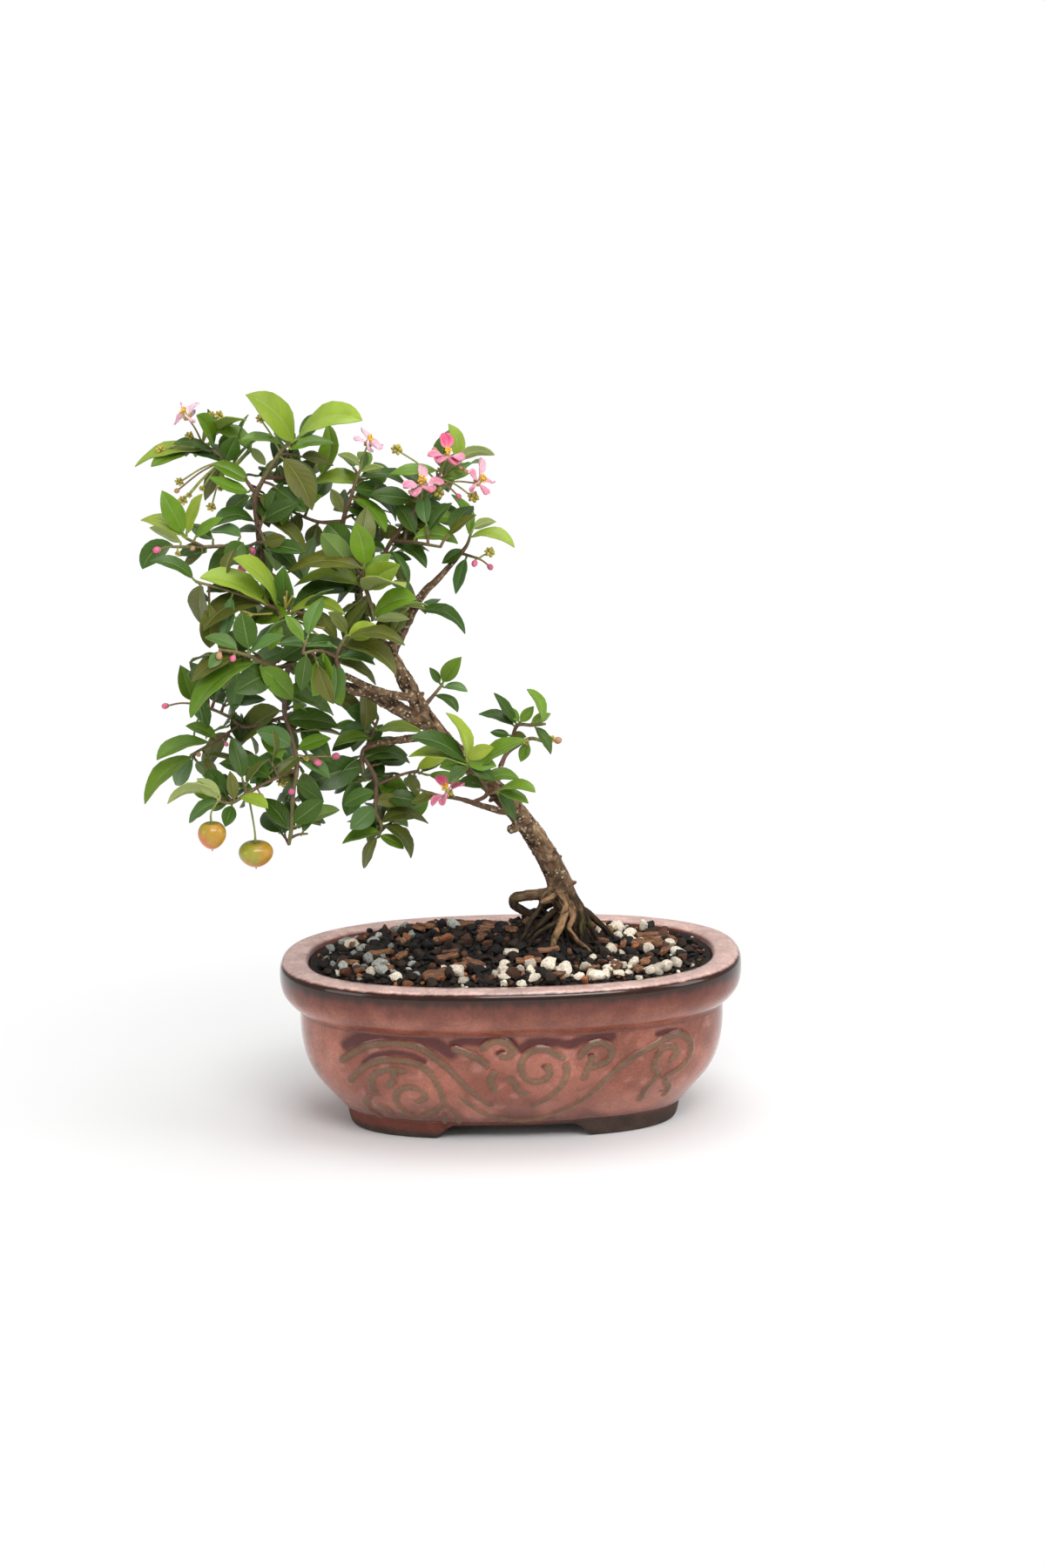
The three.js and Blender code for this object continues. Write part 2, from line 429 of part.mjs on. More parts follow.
function solid(geometry) {
  const bare = geometry.clone();
  bare.deleteAttribute("normal");
  bare.deleteAttribute("uv");
  const merged = mergeVertices(bare, 1e-4);
  const mesh = new wasm.Mesh({
    numProp: 3,
    vertProperties: new Float32Array(merged.attributes.position.array),
    triVerts: new Uint32Array(merged.index.array),
  });
  return new wasm.Manifold(mesh);
}

function fuse(solids) {
  return solids.reduce((whole, next) => whole.add(next));
}

// The body of a solid that holds the most, without the scraps that a cut left.
function largestBody(whole) {
  const bodies = whole.simplify(SLIVER).decompose();
  return bodies.reduce((best, next) => (next.volume() > best.volume() ? next : best));
}

function meshOf(name, whole, material) {
  const { numProp, vertProperties, triVerts } = whole.getMesh();
  const positions = new Float32Array((vertProperties.length / numProp) * 3);
  for (let i = 0; i < positions.length / 3; i++) {
    positions.set(vertProperties.subarray(i * numProp, i * numProp + 3), i * 3);
  }
  const geometry = new THREE.BufferGeometry();
  geometry.setAttribute("position", new THREE.BufferAttribute(positions, 3));
  geometry.setIndex(new THREE.BufferAttribute(triVerts, 1));
  geometry.computeVertexNormals();
  const mesh = new THREE.Mesh(geometry, material);
  mesh.name = name;
  return mesh;
}

// A closed skin over rings of equally many points, with a flat fan at each end.
function skin(rings) {
  const sides = rings[0].length;
  const points = rings.flat();
  const faces = [];
  for (let r = 0; r + 1 < rings.length; r++) {
    for (let i = 0; i < sides; i++) {
      const a = r * sides + i;
      const b = r * sides + ((i + 1) % sides);
      faces.push(a, b, b + sides, a, b + sides, a + sides);
    }
  }
  const middle = (ring) => ring.reduce((sum, p) => sum.add(p), new THREE.Vector3()).divideScalar(sides);
  const low = points.push(middle(rings[0])) - 1;
  const high = points.push(middle(rings.at(-1))) - 1;
  const last = (rings.length - 1) * sides;
  for (let i = 0; i < sides; i++) {
    const j = (i + 1) % sides;
    faces.push(low, j, i, high, last + i, last + j);
  }
  const geometry = new THREE.BufferGeometry().setFromPoints(points);
  geometry.setIndex(faces);
  return solid(geometry);
}

// Pot

function oval(z, inset, power = OVAL_POWER) {
  return Array.from({ length: OVAL_SIDES }, (_, i) => {
    const angle = (i / OVAL_SIDES) * 2 * Math.PI;
    const round = (value) => Math.sign(value) * Math.abs(value) ** (2 / power);
    const x = (RIM_LENGTH / 2 - inset) * round(Math.cos(angle));
    const y = (RIM_WIDTH / 2 - inset) * round(Math.sin(angle));
    return new THREE.Vector3(x, y, z);
  });
}

function potPower(z) {
  return THREE.MathUtils.lerp(FOOT_POWER, OVAL_POWER, Math.min(1, z / FOOT_BLEND_HEIGHT));
}

function prismAlongY(points, length) {
  const shape = new THREE.Shape(points.map(([x, z]) => new THREE.Vector2(x, z)));
  const prism = new THREE.ExtrudeGeometry(shape, { depth: length, bevelEnabled: false });
  prism.rotateX(Math.PI / 2);
  prism.translate(0, length / 2, 0);
  return solid(prism);
}

function upright(radius, low, high, x, sides = 16) {
  const cylinder = new THREE.CylinderGeometry(radius, radius, high - low, sides);
  cylinder.rotateX(Math.PI / 2);
  cylinder.translate(x, 0, (low + high) / 2);
  return solid(cylinder);
}

function makePot() {
  const outside = skin(OUTER_PROFILE.map(([z, inset]) => oval(z, inset, potPower(z))));
  const inside = skin(INNER_PROFILE.map(([z, inset]) => oval(z, inset)));
  const recess = skin([
    oval(-1, OUTER_PROFILE[0][1] + FOOT_RING, FOOT_POWER),
    oval(FLOOR_UNDER, OUTER_PROFILE[0][1] + FOOT_RING + 1, FOOT_POWER),
  ]);
  const notch = prismAlongY(
    [
      [-NOTCH_HALF_BELOW, -1],
      [NOTCH_HALF_BELOW, -1],
      [NOTCH_HALF_BELOW, 1],
      [NOTCH_HALF_ABOVE, NOTCH_HEIGHT],
      [-NOTCH_HALF_ABOVE, NOTCH_HEIGHT],
      [-NOTCH_HALF_BELOW, 1],
    ],
    RIM_WIDTH,
  );
  let pot = outside.subtract(inside).subtract(recess).subtract(notch);
  for (const x of [-DRAIN_X, DRAIN_X]) {
    pot = pot.subtract(upright(DRAIN_RADIUS, -1, FLOOR_TOP + 1, x));
  }
  return pot;
}

function makeScreen(x) {
  const low = FLOOR_TOP + CLEARANCE;
  let plate = upright(SCREEN_RADIUS, low, low + SCREEN_THICKNESS, x);
  for (const i of [-0.5, 0.5]) {
    for (const j of [-0.5, 0.5]) {
      const hole = new THREE.BoxGeometry(SCREEN_HOLE, SCREEN_HOLE, 3 * SCREEN_THICKNESS);
      hole.translate(x + i * SCREEN_PITCH, j * SCREEN_PITCH, low);
      plate = plate.subtract(solid(hole));
    }
  }
  return plate;
}

// Potting mix

function soilHeight(x, y) {
  const u = Math.abs(x) / (RIM_LENGTH / 2 - RIM_TOP_WIDTH);
  const v = Math.abs(y) / (RIM_WIDTH / 2 - RIM_TOP_WIDTH);
  const reach = Math.min(1, (u ** OVAL_POWER + v ** OVAL_POWER) ** (1 / OVAL_POWER));
  const mound = SOIL_EDGE_HEIGHT + SOIL_RISE * (1 - reach * reach);
  return SOIL_HUMPS.reduce((height, [hx, hy, rise, spread]) => {
    const away = (x - hx) ** 2 + (y - hy) ** 2;
    return height + rise * Math.exp(-away / (2 * spread * spread));
  }, mound);
}

function granule(x, y, size, random) {
  const stone = new THREE.OctahedronGeometry(size, 0);
  stone.scale(1, 0.7 + 0.3 * random(), 0.6 + 0.25 * random());
  stone.rotateX(random() * 0.9);
  stone.rotateZ(random() * 6.28);
  stone.translate(x, y, soilHeight(x, y) + 0.2 * size);
  return solid(stone);
}

function barkChip(x, y, length, width, turn) {
  const chip = new THREE.BoxGeometry(length, width, CHIP_THICKNESS);
  chip.rotateX(0.25);
  chip.rotateZ(turn);
  chip.translate(x, y, soilHeight(x, y) + 0.6);
  return solid(chip);
}

function makeSoil() {
  const gap = CLEARANCE;
  const wall = INNER_PROFILE.filter(([z]) => z < SOIL_EDGE_HEIGHT);
  const rings = wall.map(([z, inset]) => oval(z === FLOOR_TOP ? z + gap : z, inset + gap));
  rings.push(oval(SOIL_EDGE_HEIGHT, RIM_TOP_WIDTH + 0.6 + gap));
  for (const share of SOIL_RINGS) {
    const ring = oval(0, RIM_TOP_WIDTH + 0.6 + gap).map((p) => {
      const [x, y] = [p.x * share, p.y * share];
      return new THREE.Vector3(x, y, soilHeight(x, y));
    });
    rings.push(ring);
  }
  const pieces = [skin(rings)];
  const random = stream(41);
  const [reachX, reachY] = [RIM_LENGTH / 2 - RIM_TOP_WIDTH - 5, RIM_WIDTH / 2 - RIM_TOP_WIDTH - 5];
  for (let i = 0; i < GRANULES; i++) {
    const angle = i * GOLDEN_ANGLE + random();
    const out = Math.sqrt((i + 0.5) / GRANULES);
    const size = 2.3 + 1.9 * random();
    pieces.push(granule(reachX * out * Math.cos(angle), reachY * out * Math.sin(angle), size, random));
  }
  for (const chip of BARK_CHIPS) pieces.push(barkChip(...chip));
  const room = [-DRAIN_X, DRAIN_X].map((x) =>
    upright(SCREEN_RADIUS + gap, FLOOR_TOP - 1, FLOOR_TOP + SCREEN_THICKNESS + 2 * gap, x));
  return fuse(pieces).subtract(fuse(room));
}

// Tree

// A place on the chart, moved along the line of sight to its depth.
function seen(x, z, depth) {
  const onChart = new THREE.Vector3(x, 0, z).multiplyScalar(CHART_SCALE).add(CHART_SHIFT);
  return onChart.sub(EYE).multiplyScalar(1 - depth / EYE.y).add(EYE);
}

// A tapering limb through its stations, closed at both ends.
function limb(stations, sides, extra = 0) {
  const places = stations.map(([x, z, depth]) => seen(x, z, depth));
  return tubeThrough(places, stations.map((s) => s[3] + extra), sides);
}

function tubeThrough(places, radii, sides, steps = 1) {
  const curve = new THREE.CatmullRomCurve3(places, false, "centripetal");
  const count = (places.length - 1) * steps;
  const rings = [];
  let across = null;
  for (let i = 0; i <= count; i++) {
    const t = i / count;
    const centre = curve.getPoint(t);
    const along = curve.getTangent(t);
    if (!across) across = new THREE.Vector3(-along.y, along.x, 0.3).normalize();
    across.addScaledVector(along, -across.dot(along)).normalize();
    const other = new THREE.Vector3().crossVectors(along, across);
    const s = t * (radii.length - 1);
    const k = Math.min(Math.floor(s), radii.length - 2);
    const radius = THREE.MathUtils.lerp(radii[k], radii[k + 1], s - k);
    const ring = [];
    for (let j = 0; j < sides; j++) {
      const angle = (j / sides) * 2 * Math.PI;
      const p = centre.clone().addScaledVector(across, radius * Math.cos(angle));
      ring.push(p.addScaledVector(other, radius * Math.sin(angle)));
    }
    rings.push(ring);
  }
  return skin(rings);
}

// A leaf's shape in space, from what the chart shows of it and the tilt of its axis away from the chart.
function leafShape(leaf, foot, tilt) {
  const [x0, z0, x1, z1, width, bow, side] = leaf;
  const shown = Math.hypot(x1 - x0, z1 - z0);
  const tipDepth = foot.depth + shown * Math.tan(THREE.MathUtils.degToRad(tilt));
  const base = seen(x0, z0, foot.depth);
  const tip = seen(x1, z1, tipDepth);
  const along = tip.clone().sub(base);
  const length = along.length();
  along.normalize();
  const toEye = EYE.clone().sub(base).normalize();
  const flat = new THREE.Vector3().crossVectors(toEye, along).normalize();
  const fullWidth = THREE.MathUtils.clamp(width, length * LEAF_SLENDERNESS, length * LEAF_BROADEST);
  const roll = Math.acos(Math.min(1, width / fullWidth));
  const facing = new THREE.Vector3().crossVectors(along, flat).normalize();
  if (facing.dot(toEye) < 0) facing.negate();
  const normals = [1, -1].map((sign) =>
    facing.clone().multiplyScalar(Math.cos(roll)).addScaledVector(flat, sign * Math.sin(roll)));
  let normal = normals[0].z > normals[1].z ? normals[0] : normals[1];
  if (side === "u") normal = (normals[0].z < normals[1].z ? normals[0] : normals[1]).negate();
  const bulge = new THREE.Vector3(-(z1 - z0), 0, x1 - x0).normalize();
  if (bulge.z + 0.3 * bulge.x < 0) bulge.negate();
  const bend = base.clone().lerp(tip, 0.5).addScaledVector(bulge, 2 * bow * length);
  return { base, tip, bend, normal, fullWidth };
}

// The leaf's midline, its side direction and its upward direction at a share of the length.
function leafStation(shape, t) {
  const { base, tip, bend, normal } = shape;
  const centre = base.clone().multiplyScalar((1 - t) ** 2);
  centre.addScaledVector(bend, 2 * t * (1 - t)).addScaledVector(tip, t * t);
  const along = bend.clone().sub(base).multiplyScalar(1 - t);
  along.addScaledVector(tip.clone().sub(bend), t).normalize();
  const across = new THREE.Vector3().crossVectors(along, normal).normalize();
  const up = new THREE.Vector3().crossVectors(across, along).normalize();
  return { centre, across, up };
}

function leafSamples(shape) {
  const samples = [];
  for (let i = 0; i <= 8; i++) {
    const t = i / 8;
    const { centre, across } = leafStation(shape, t);
    const half = (shape.fullWidth / 2) * Math.sin(Math.PI * Math.min(0.96, t + 0.04)) ** 0.8;
    for (const share of [-1, -0.5, 0, 0.5, 1]) {
      samples.push({ place: centre.clone().addScaledVector(across, share * half), outer: t > 0.3 });
    }
  }
  return samples;
}

// A blade with its petiole: rows across it from the twig to the tip, two faces split alike and an edge between.
// Wide blades are folded along the midrib, so their rows have a middle point.
function blade(rows, folded) {
  const over = [];
  const under = [];
  const columns = folded ? [-1, 0, 1] : [-1, 1];
  const wide = columns.length;
  for (const { centre, across, up, half } of rows) {
    for (const sign of half ? columns : [0]) {
      const point = centre.clone().addScaledVector(across, sign * half);
      if (folded) point.addScaledVector(up, Math.abs(sign) * LEAF_FOLD * half);
      over.push(point.clone().addScaledVector(up, BLADE / 2));
      under.push(point.clone().addScaledVector(up, -BLADE / 2));
    }
  }
  const pointed = !rows.at(-1).half;
  const full = pointed ? rows.length - 1 : rows.length;
  const faces = [];
  for (let r = 0; r + 1 < full; r++) {
    for (let c = 0; c + 1 < wide; c++) {
      const a = r * wide + c;
      faces.push(a, a + 1, a + 1 + wide, a, a + 1 + wide, a + wide);
    }
  }
  const last = full * wide;
  if (pointed) for (let c = 1; c < wide; c++) faces.push(last - wide + c - 1, last - wide + c, last);
  const rim = [];
  for (let c = wide - 1; c > 0; c--) rim.push(c);
  for (let r = 0; r < full; r++) rim.push(r * wide);
  if (pointed) rim.push(last);
  else for (let c = 1; c + 1 < wide; c++) rim.push(last - wide + c);
  for (let r = full - 1; r > 0; r--) rim.push(r * wide + wide - 1);
  const shift = over.length;
  const all = [...faces];
  for (let i = 0; i < faces.length; i += 3) all.push(faces[i] + shift, faces[i + 2] + shift, faces[i + 1] + shift);
  for (let i = 0; i < rim.length; i++) {
    const [a, b] = [rim[i], rim[(i + 1) % rim.length]];
    all.push(a, b, b + shift, a, b + shift, a + shift);
  }
  const geometry = new THREE.BufferGeometry().setFromPoints([...over, ...under]);
  geometry.setIndex(all);
  const made = solid(geometry);
  return made.volume() < 0 ? solid(turned(geometry)) : made;
}

function turned(geometry) {
  const index = geometry.index.array;
  for (let i = 0; i < index.length; i += 3) [index[i + 1], index[i + 2]] = [index[i + 2], index[i + 1]];
  return geometry;
}

// Where a leaf or stalk leaves its twig: the nearest place on the spray's twigs, and its depth there.
function footOf(twigs, x, z) {
  let best = null;
  for (const stations of twigs) {
    for (let i = 0; i + 1 < stations.length; i++) {
      const [ax, az, ad] = stations[i];
      const [bx, bz, bd] = stations[i + 1];
      const span = (bx - ax) ** 2 + (bz - az) ** 2;
      const t = THREE.MathUtils.clamp(((x - ax) * (bx - ax) + (z - az) * (bz - az)) / span, 0, 1);
      const [fx, fz] = [ax + t * (bx - ax), az + t * (bz - az)];
      const away = Math.hypot(x - fx, z - fz);
      if (!best || away < best.away) best = { x: fx, z: fz, depth: ad + t * (bd - ad), away };
    }
  }
  return best;
}

function limbSamples(stations) {
  const samples = [];
  for (let i = 0; i + 1 < stations.length; i++) {
    for (let k = 0; k < 6; k++) {
      const [x, z, depth, radius] = stations[i].map((value, n) => value + (k / 6) * (stations[i + 1][n] - value));
      samples.push({ place: seen(x, z, depth), radius });
    }
  }
  return samples;
}

// The room between a leaf and what other sprays, the wood and the spray's own outer leaves already fill.
function roomFor(samples, spray, filled) {
  let room = Infinity;
  for (const other of filled) {
    const own = other.spray === spray;
    if (own && !other.outer) continue;
    const needed = own ? CLEAR_OF_OWN : CLEAR_OF_BLADES;
    const reach = other.radius === undefined ? needed : CLEAR_OF_LIMBS + other.radius;
    for (const sample of samples) {
      if (own && !sample.outer) continue;
      room = Math.min(room, sample.place.distanceTo(other.place) - reach);
    }
  }
  return room;
}

// A limb's stations with room for its neighbours: longer at the tip by the clearance.
function lengthened(stations) {
  const [before, tip] = stations.slice(-2);
  const span = Math.hypot(tip[0] - before[0], tip[1] - before[1], tip[2] - before[2]);
  const beyond = tip.map((value, n) => (n < 3 ? value + (CLEARANCE * (value - before[n])) / span : value));
  return [...stations.slice(0, -1), beyond];
}

// A straight stalk's samples, without the stretch near its foot, where leaves start too.
function stalkSamples(from, to) {
  return [0.4, 0.5, 0.6, 0.7, 0.8, 0.9].map((t) => ({ place: from.clone().lerp(to, t), radius: PETIOLE_RADIUS }));
}

function bloomSamples([spray, x, z, depth, reach, turn, elevation, footX, footZ]) {
  const { centre, from, right, up } = bloomFrame(spray, x, z, depth, elevation, footX, footZ);
  const samples = [{ place: centre, radius: HEART_RADIUS }, ...stalkSamples(from, centre)];
  for (let i = 0; i < PETALS; i++) {
    const angle = turn + (i / PETALS) * 2 * Math.PI;
    for (const share of [0.45, 0.8]) {
      const place = centre.clone().addScaledVector(right, share * reach * Math.sin(angle));
      samples.push({ place: place.addScaledVector(up, share * reach * Math.cos(angle)), radius: 3.2 * share });
    }
  }
  return samples;
}

function fruitSamples([spray, x, z, depth, diameter, height, footX, footZ]) {
  const centre = seen(x, z, depth);
  const foot = footOf(SPRAYS[spray].twigs, footX, footZ);
  return [{ place: centre, radius: diameter / 2 }, ...stalkSamples(seen(foot.x, foot.z, foot.depth), centre)];
}

// Every leaf's shape: its tilt is drawn, then turned until it is clear of the other sprays.
function layLeaves() {
  const random = stream(7);
  const filled = [];
  const fill = (spray, list) => list.forEach((item) => filled.push({ spray, ...item }));
  for (const stations of [...WOOD, ...ROOTS]) fill("wood", limbSamples(stations));
  for (const [spray, { twigs }] of Object.entries(SPRAYS)) twigs.forEach((t) => fill(spray, limbSamples(t)));
  for (const [name, bloom] of Object.entries(BLOOMS)) fill(name, bloomSamples(bloom));
  for (const [name, fruit] of Object.entries(FRUITS)) fill(name, fruitSamples(fruit));
  const shapes = {};
  for (const [spray, { twigs, leaves }] of Object.entries(SPRAYS)) {
    shapes[spray] = leaves.map((leaf) => {
      const foot = footOf(twigs, leaf[0], leaf[1]);
      const shown = Math.hypot(leaf[2] - leaf[0], leaf[3] - leaf[1]);
      const draw = random();
      const most = Math.acos(Math.min(1, shown / LONGEST_LEAF));
      const limit = Math.max(STEEPEST_LEVEL, Math.min(STEEPEST, THREE.MathUtils.radToDeg(most)));
      const least = Math.acos(Math.min(1, (shown * LEAF_FULLEST) / leaf[4]));
      const lean = THREE.MathUtils.radToDeg(least);
      const drawn = lean > 8 ? lean * (draw < 0.7 ? -1 : 1) : (draw - 0.55) * 64;
      let best = null;
      for (const turn of TILT_TRIES) {
        const tilt = THREE.MathUtils.clamp(drawn + turn, -limit, limit);
        const shape = leafShape(leaf, foot, tilt);
        const room = roomFor(leafSamples(shape), spray, filled);
        if (!best || room > best.room) best = { shape, room, foot, leaf };
        if (room > 0) break;
      }
      fill(spray, leafSamples(best.shape));
      return best;
    });
  }
  return shapes;
}

function leafRows(shape, foot, outline) {
  const place = seen(foot.x, foot.z, foot.depth);
  const start = leafStation(shape, 0);
  const rows = [{ ...start, centre: place, half: PETIOLE_RADIUS }, { ...start, half: PETIOLE_RADIUS }];
  if (place.distanceTo(start.centre) < LONG_PETIOLE) rows.pop();
  for (const [t, share] of outline) rows.push({ ...leafStation(shape, t), half: (shape.fullWidth / 2) * share });
  rows.push({ ...leafStation(shape, 1), half: 0 });
  return rows;
}

function makeSpray(name, laid) {
  const { twigs, buds } = SPRAYS[name];
  const pieces = twigs.map((stations) => limb(stations, TWIG_SIDES));
  for (const { shape, foot, leaf } of laid.filter((item) => item.leaf[4] >= LEAST_LEAF)) {
    const outline = leaf[4] < SMALL_LEAF ? SMALL_OUTLINE : LARGE_OUTLINE;
    pieces.push(blade(leafRows(shape, foot, outline), leaf[4] >= FOLDED_LEAF));
  }
  for (const [x, z, radius] of buds) {
    const foot = footOf(twigs, x, z);
    const place = seen(x, z, foot.depth);
    const bud = new THREE.OctahedronGeometry(radius, 0);
    bud.translate(...place);
    pieces.push(solid(bud));
    pieces.push(tubeThrough([seen(foot.x, foot.z, foot.depth), place], [PETIOLE_RADIUS, PETIOLE_RADIUS], STALK_SIDES));
  }
  return fuse(pieces);
}

function bloomFrame(spray, x, z, depth, elevation, footX, footZ) {
  const foot = footOf(SPRAYS[spray].twigs, footX, footZ);
  const right = new THREE.Vector3(1, 0, 0);
  const face = new THREE.Vector3(0, -1, 0).applyAxisAngle(right, -THREE.MathUtils.degToRad(elevation));
  const up = new THREE.Vector3().crossVectors(right, face).negate();
  return { centre: seen(x, z, depth), from: seen(foot.x, foot.z, foot.depth), right, face, up };
}

function makeBloom([spray, x, z, depth, reach, turn, elevation, footX, footZ]) {
  const { centre, from, right, face, up } = bloomFrame(spray, x, z, depth, elevation, footX, footZ);
  const heart = new THREE.OctahedronGeometry(HEART_RADIUS, 0);
  heart.translate(...centre);
  const pieces = [solid(heart)];
  for (let i = 0; i < PETALS; i++) {
    const angle = turn + (i / PETALS) * 2 * Math.PI;
    const out = right.clone().multiplyScalar(Math.sin(angle)).addScaledVector(up, Math.cos(angle));
    const base = centre.clone().addScaledVector(out, 0.6);
    const tip = centre.clone().addScaledVector(out, reach).addScaledVector(face, reach * PETAL_CUP);
    const bend = base.clone().lerp(tip, 0.5).addScaledVector(face, -0.6);
    const shape = { base, tip, bend, normal: face.clone() };
    const rows = PETAL_OUTLINE.map(([t, share]) => ({ ...leafStation(shape, t), half: share * reach }));
    pieces.push(blade(rows, false));
  }
  const back = centre.clone().addScaledVector(face, -0.6);
  pieces.push(tubeThrough([from, back], [PETIOLE_RADIUS, PETIOLE_RADIUS], STALK_SIDES));
  return fuse(pieces);
}

function makeFruit([spray, x, z, depth, diameter, height, footX, footZ]) {
  const centre = seen(x, z, depth);
  const foot = footOf(SPRAYS[spray].twigs, footX, footZ);
  const body = new THREE.SphereGeometry(1, 12, 7);
  body.rotateX(Math.PI / 2);
  const position = body.attributes.position;
  for (let i = 0; i < position.count; i++) {
    const [px, py, pz] = [position.getX(i), position.getY(i), position.getZ(i)];
    const lobes = 1 + 0.05 * Math.cos(3 * Math.atan2(py, px)) * (1 - pz * pz);
    const dimple = 1 - 0.22 * Math.exp(-(px * px + py * py) * 9) * (pz > 0 ? 1 : 0.45);
    position.setXYZ(i, (px * lobes * diameter) / 2, (py * lobes * diameter) / 2, (pz * dimple * height) / 2);
  }
  body.translate(...centre);
  const inside = centre.clone().setZ(centre.z + height * 0.2);
  const above = centre.clone().setZ(centre.z + height * 0.5 + 3);
  const from = seen(foot.x, foot.z, foot.depth);
  const stalk = tubeThrough([from, above, inside], [PETIOLE_RADIUS, PETIOLE_RADIUS, PETIOLE_RADIUS], 5, 3);
  return solid(body).add(stalk);
}

// Assembly

const materials = {
  glaze: new THREE.MeshStandardMaterial({ color: 0x9a6560, roughness: 0.25 }),
  screen: new THREE.MeshStandardMaterial({ color: 0x20242a, roughness: 0.6 }),
  mix: new THREE.MeshStandardMaterial({ color: 0x3a2c24, roughness: 0.95 }),
  bark: new THREE.MeshStandardMaterial({ color: 0x7a6248, roughness: 0.9 }),
  leaf: new THREE.MeshStandardMaterial({ color: 0x4f7a2c, roughness: 0.5 }),
  petal: new THREE.MeshStandardMaterial({ color: 0xf08ab8, roughness: 0.6 }),
  fruit: new THREE.MeshStandardMaterial({ color: 0xc9a03a, roughness: 0.3 }),
};

const laid = layLeaves();
const limbs = [...WOOD.map((s, i) => [s, i ? BRANCH_SIDES : TRUNK_SIDES]), ...ROOTS.map((s) => [s, ROOT_SIDES])];
const wood = fuse(limbs.map(([stations, sides]) => limb(stations, sides)));
const woodRoom = fuse(limbs.map(([stations, sides]) => limb(lengthened(stations), sides, CLEARANCE)));

const tree = new THREE.Group();
tree.add(meshOf("pot", makePot(), materials.glaze));
tree.add(meshOf("drain_screen_left", makeScreen(-DRAIN_X), materials.screen));
tree.add(meshOf("drain_screen_right", makeScreen(DRAIN_X), materials.screen));
tree.add(meshOf("potting_mix", largestBody(makeSoil().subtract(woodRoom)), materials.mix));
tree.add(meshOf("trunk_and_branches", largestBody(wood), materials.bark));

// A solid with a little room on every side, which a stalk that it carries is cut to.
function roomAround(whole) {
  const steps = [[1, 0, 0], [-1, 0, 0], [0, 1, 0], [0, -1, 0], [0, 0, 1], [0, 0, -1]];
  return fuse(steps.map((step) => whole.translate(step.map((share) => share * CLEARANCE))));
}

const sprayRoom = {};
for (const name of Object.keys(SPRAYS)) {
  const spray = largestBody(makeSpray(name, laid[name]).subtract(woodRoom));
  sprayRoom[name] = roomAround(spray);
  tree.add(meshOf(`${name}_spray`, spray, materials.leaf));
}
for (const [name, bloom] of Object.entries(BLOOMS)) {
  tree.add(meshOf(name, largestBody(makeBloom(bloom).subtract(sprayRoom[bloom[0]])), materials.petal));
}
for (const [name, fruit] of Object.entries(FRUITS)) {
  tree.add(meshOf(name, largestBody(makeFruit(fruit).subtract(sprayRoom[fruit[0]])), materials.fruit));
}

// The origin is on the table, under the middle of the whole.
const bounds = new THREE.Box3().setFromObject(tree);
const middle = bounds.getCenter(new THREE.Vector3());
tree.position.set(-middle.x, -middle.y, -bounds.min.z);

const bonsai = new THREE.Group();
bonsai.add(tree);
export default bonsai;
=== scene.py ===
"""A Barbados cherry bonsai in its glazed oval pot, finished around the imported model. Blender 4.5.

Lengths are millimetres, measured from the table under the middle of the pot, until METRES makes them metres.
"""

import math

import bpy
import mathutils
import mathutils.kdtree
import numpy as np
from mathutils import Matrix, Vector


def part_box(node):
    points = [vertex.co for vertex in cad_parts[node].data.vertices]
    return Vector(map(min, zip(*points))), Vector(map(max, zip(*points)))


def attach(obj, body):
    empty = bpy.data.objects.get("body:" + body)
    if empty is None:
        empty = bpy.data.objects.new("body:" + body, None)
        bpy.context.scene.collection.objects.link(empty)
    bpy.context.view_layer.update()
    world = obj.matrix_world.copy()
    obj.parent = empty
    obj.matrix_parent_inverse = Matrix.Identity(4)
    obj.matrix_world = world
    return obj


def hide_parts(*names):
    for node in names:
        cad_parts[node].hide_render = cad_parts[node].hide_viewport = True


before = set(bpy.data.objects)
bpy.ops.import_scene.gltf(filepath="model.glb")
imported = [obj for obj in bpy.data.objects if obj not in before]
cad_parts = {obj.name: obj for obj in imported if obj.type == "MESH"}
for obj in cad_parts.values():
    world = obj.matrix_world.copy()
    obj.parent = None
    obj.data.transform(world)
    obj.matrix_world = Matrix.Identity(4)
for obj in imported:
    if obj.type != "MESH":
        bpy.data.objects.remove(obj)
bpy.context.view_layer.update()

METRES = 0.001
POT_BOX = [np.array(corner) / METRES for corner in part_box("pot")]
ORIGIN = np.array([*(POT_BOX[0] + POT_BOX[1])[:2] / 2, POT_BOX[0][2]])
RIM_LENGTH, RIM_WIDTH = (POT_BOX[1] - POT_BOX[0])[:2]

# Camera: its place, its pitch and roll in degrees, and its lens; then the photograph's middle and focal
# length in pixels.
CAMERA_PLACE = (7.0, -1171.1, 413.3)
CAMERA_PITCH = 12.6
CAMERA_ROLL = 1.2
CAMERA_LENS = 62.7
PHOTO_CENTRE = (600, 900)
PHOTO_FOCUS = 3135

# Pot: stacked oval rings. Each is the rim's oval with both half-lengths shortened by the same inset. A higher
# power makes an oval squarer; the foot's power blends into the rim's up to a height.
OVAL_POWER = 2.44
FOOT_POWER = 2.6
FOOT_BLEND_HEIGHT = 24
OVAL_SIDES = 648
RING_STEP = 0.66
RIM_TOP_WIDTH = 12.5
FLOOR_TOP = 11
FLOOR_UNDER = 5
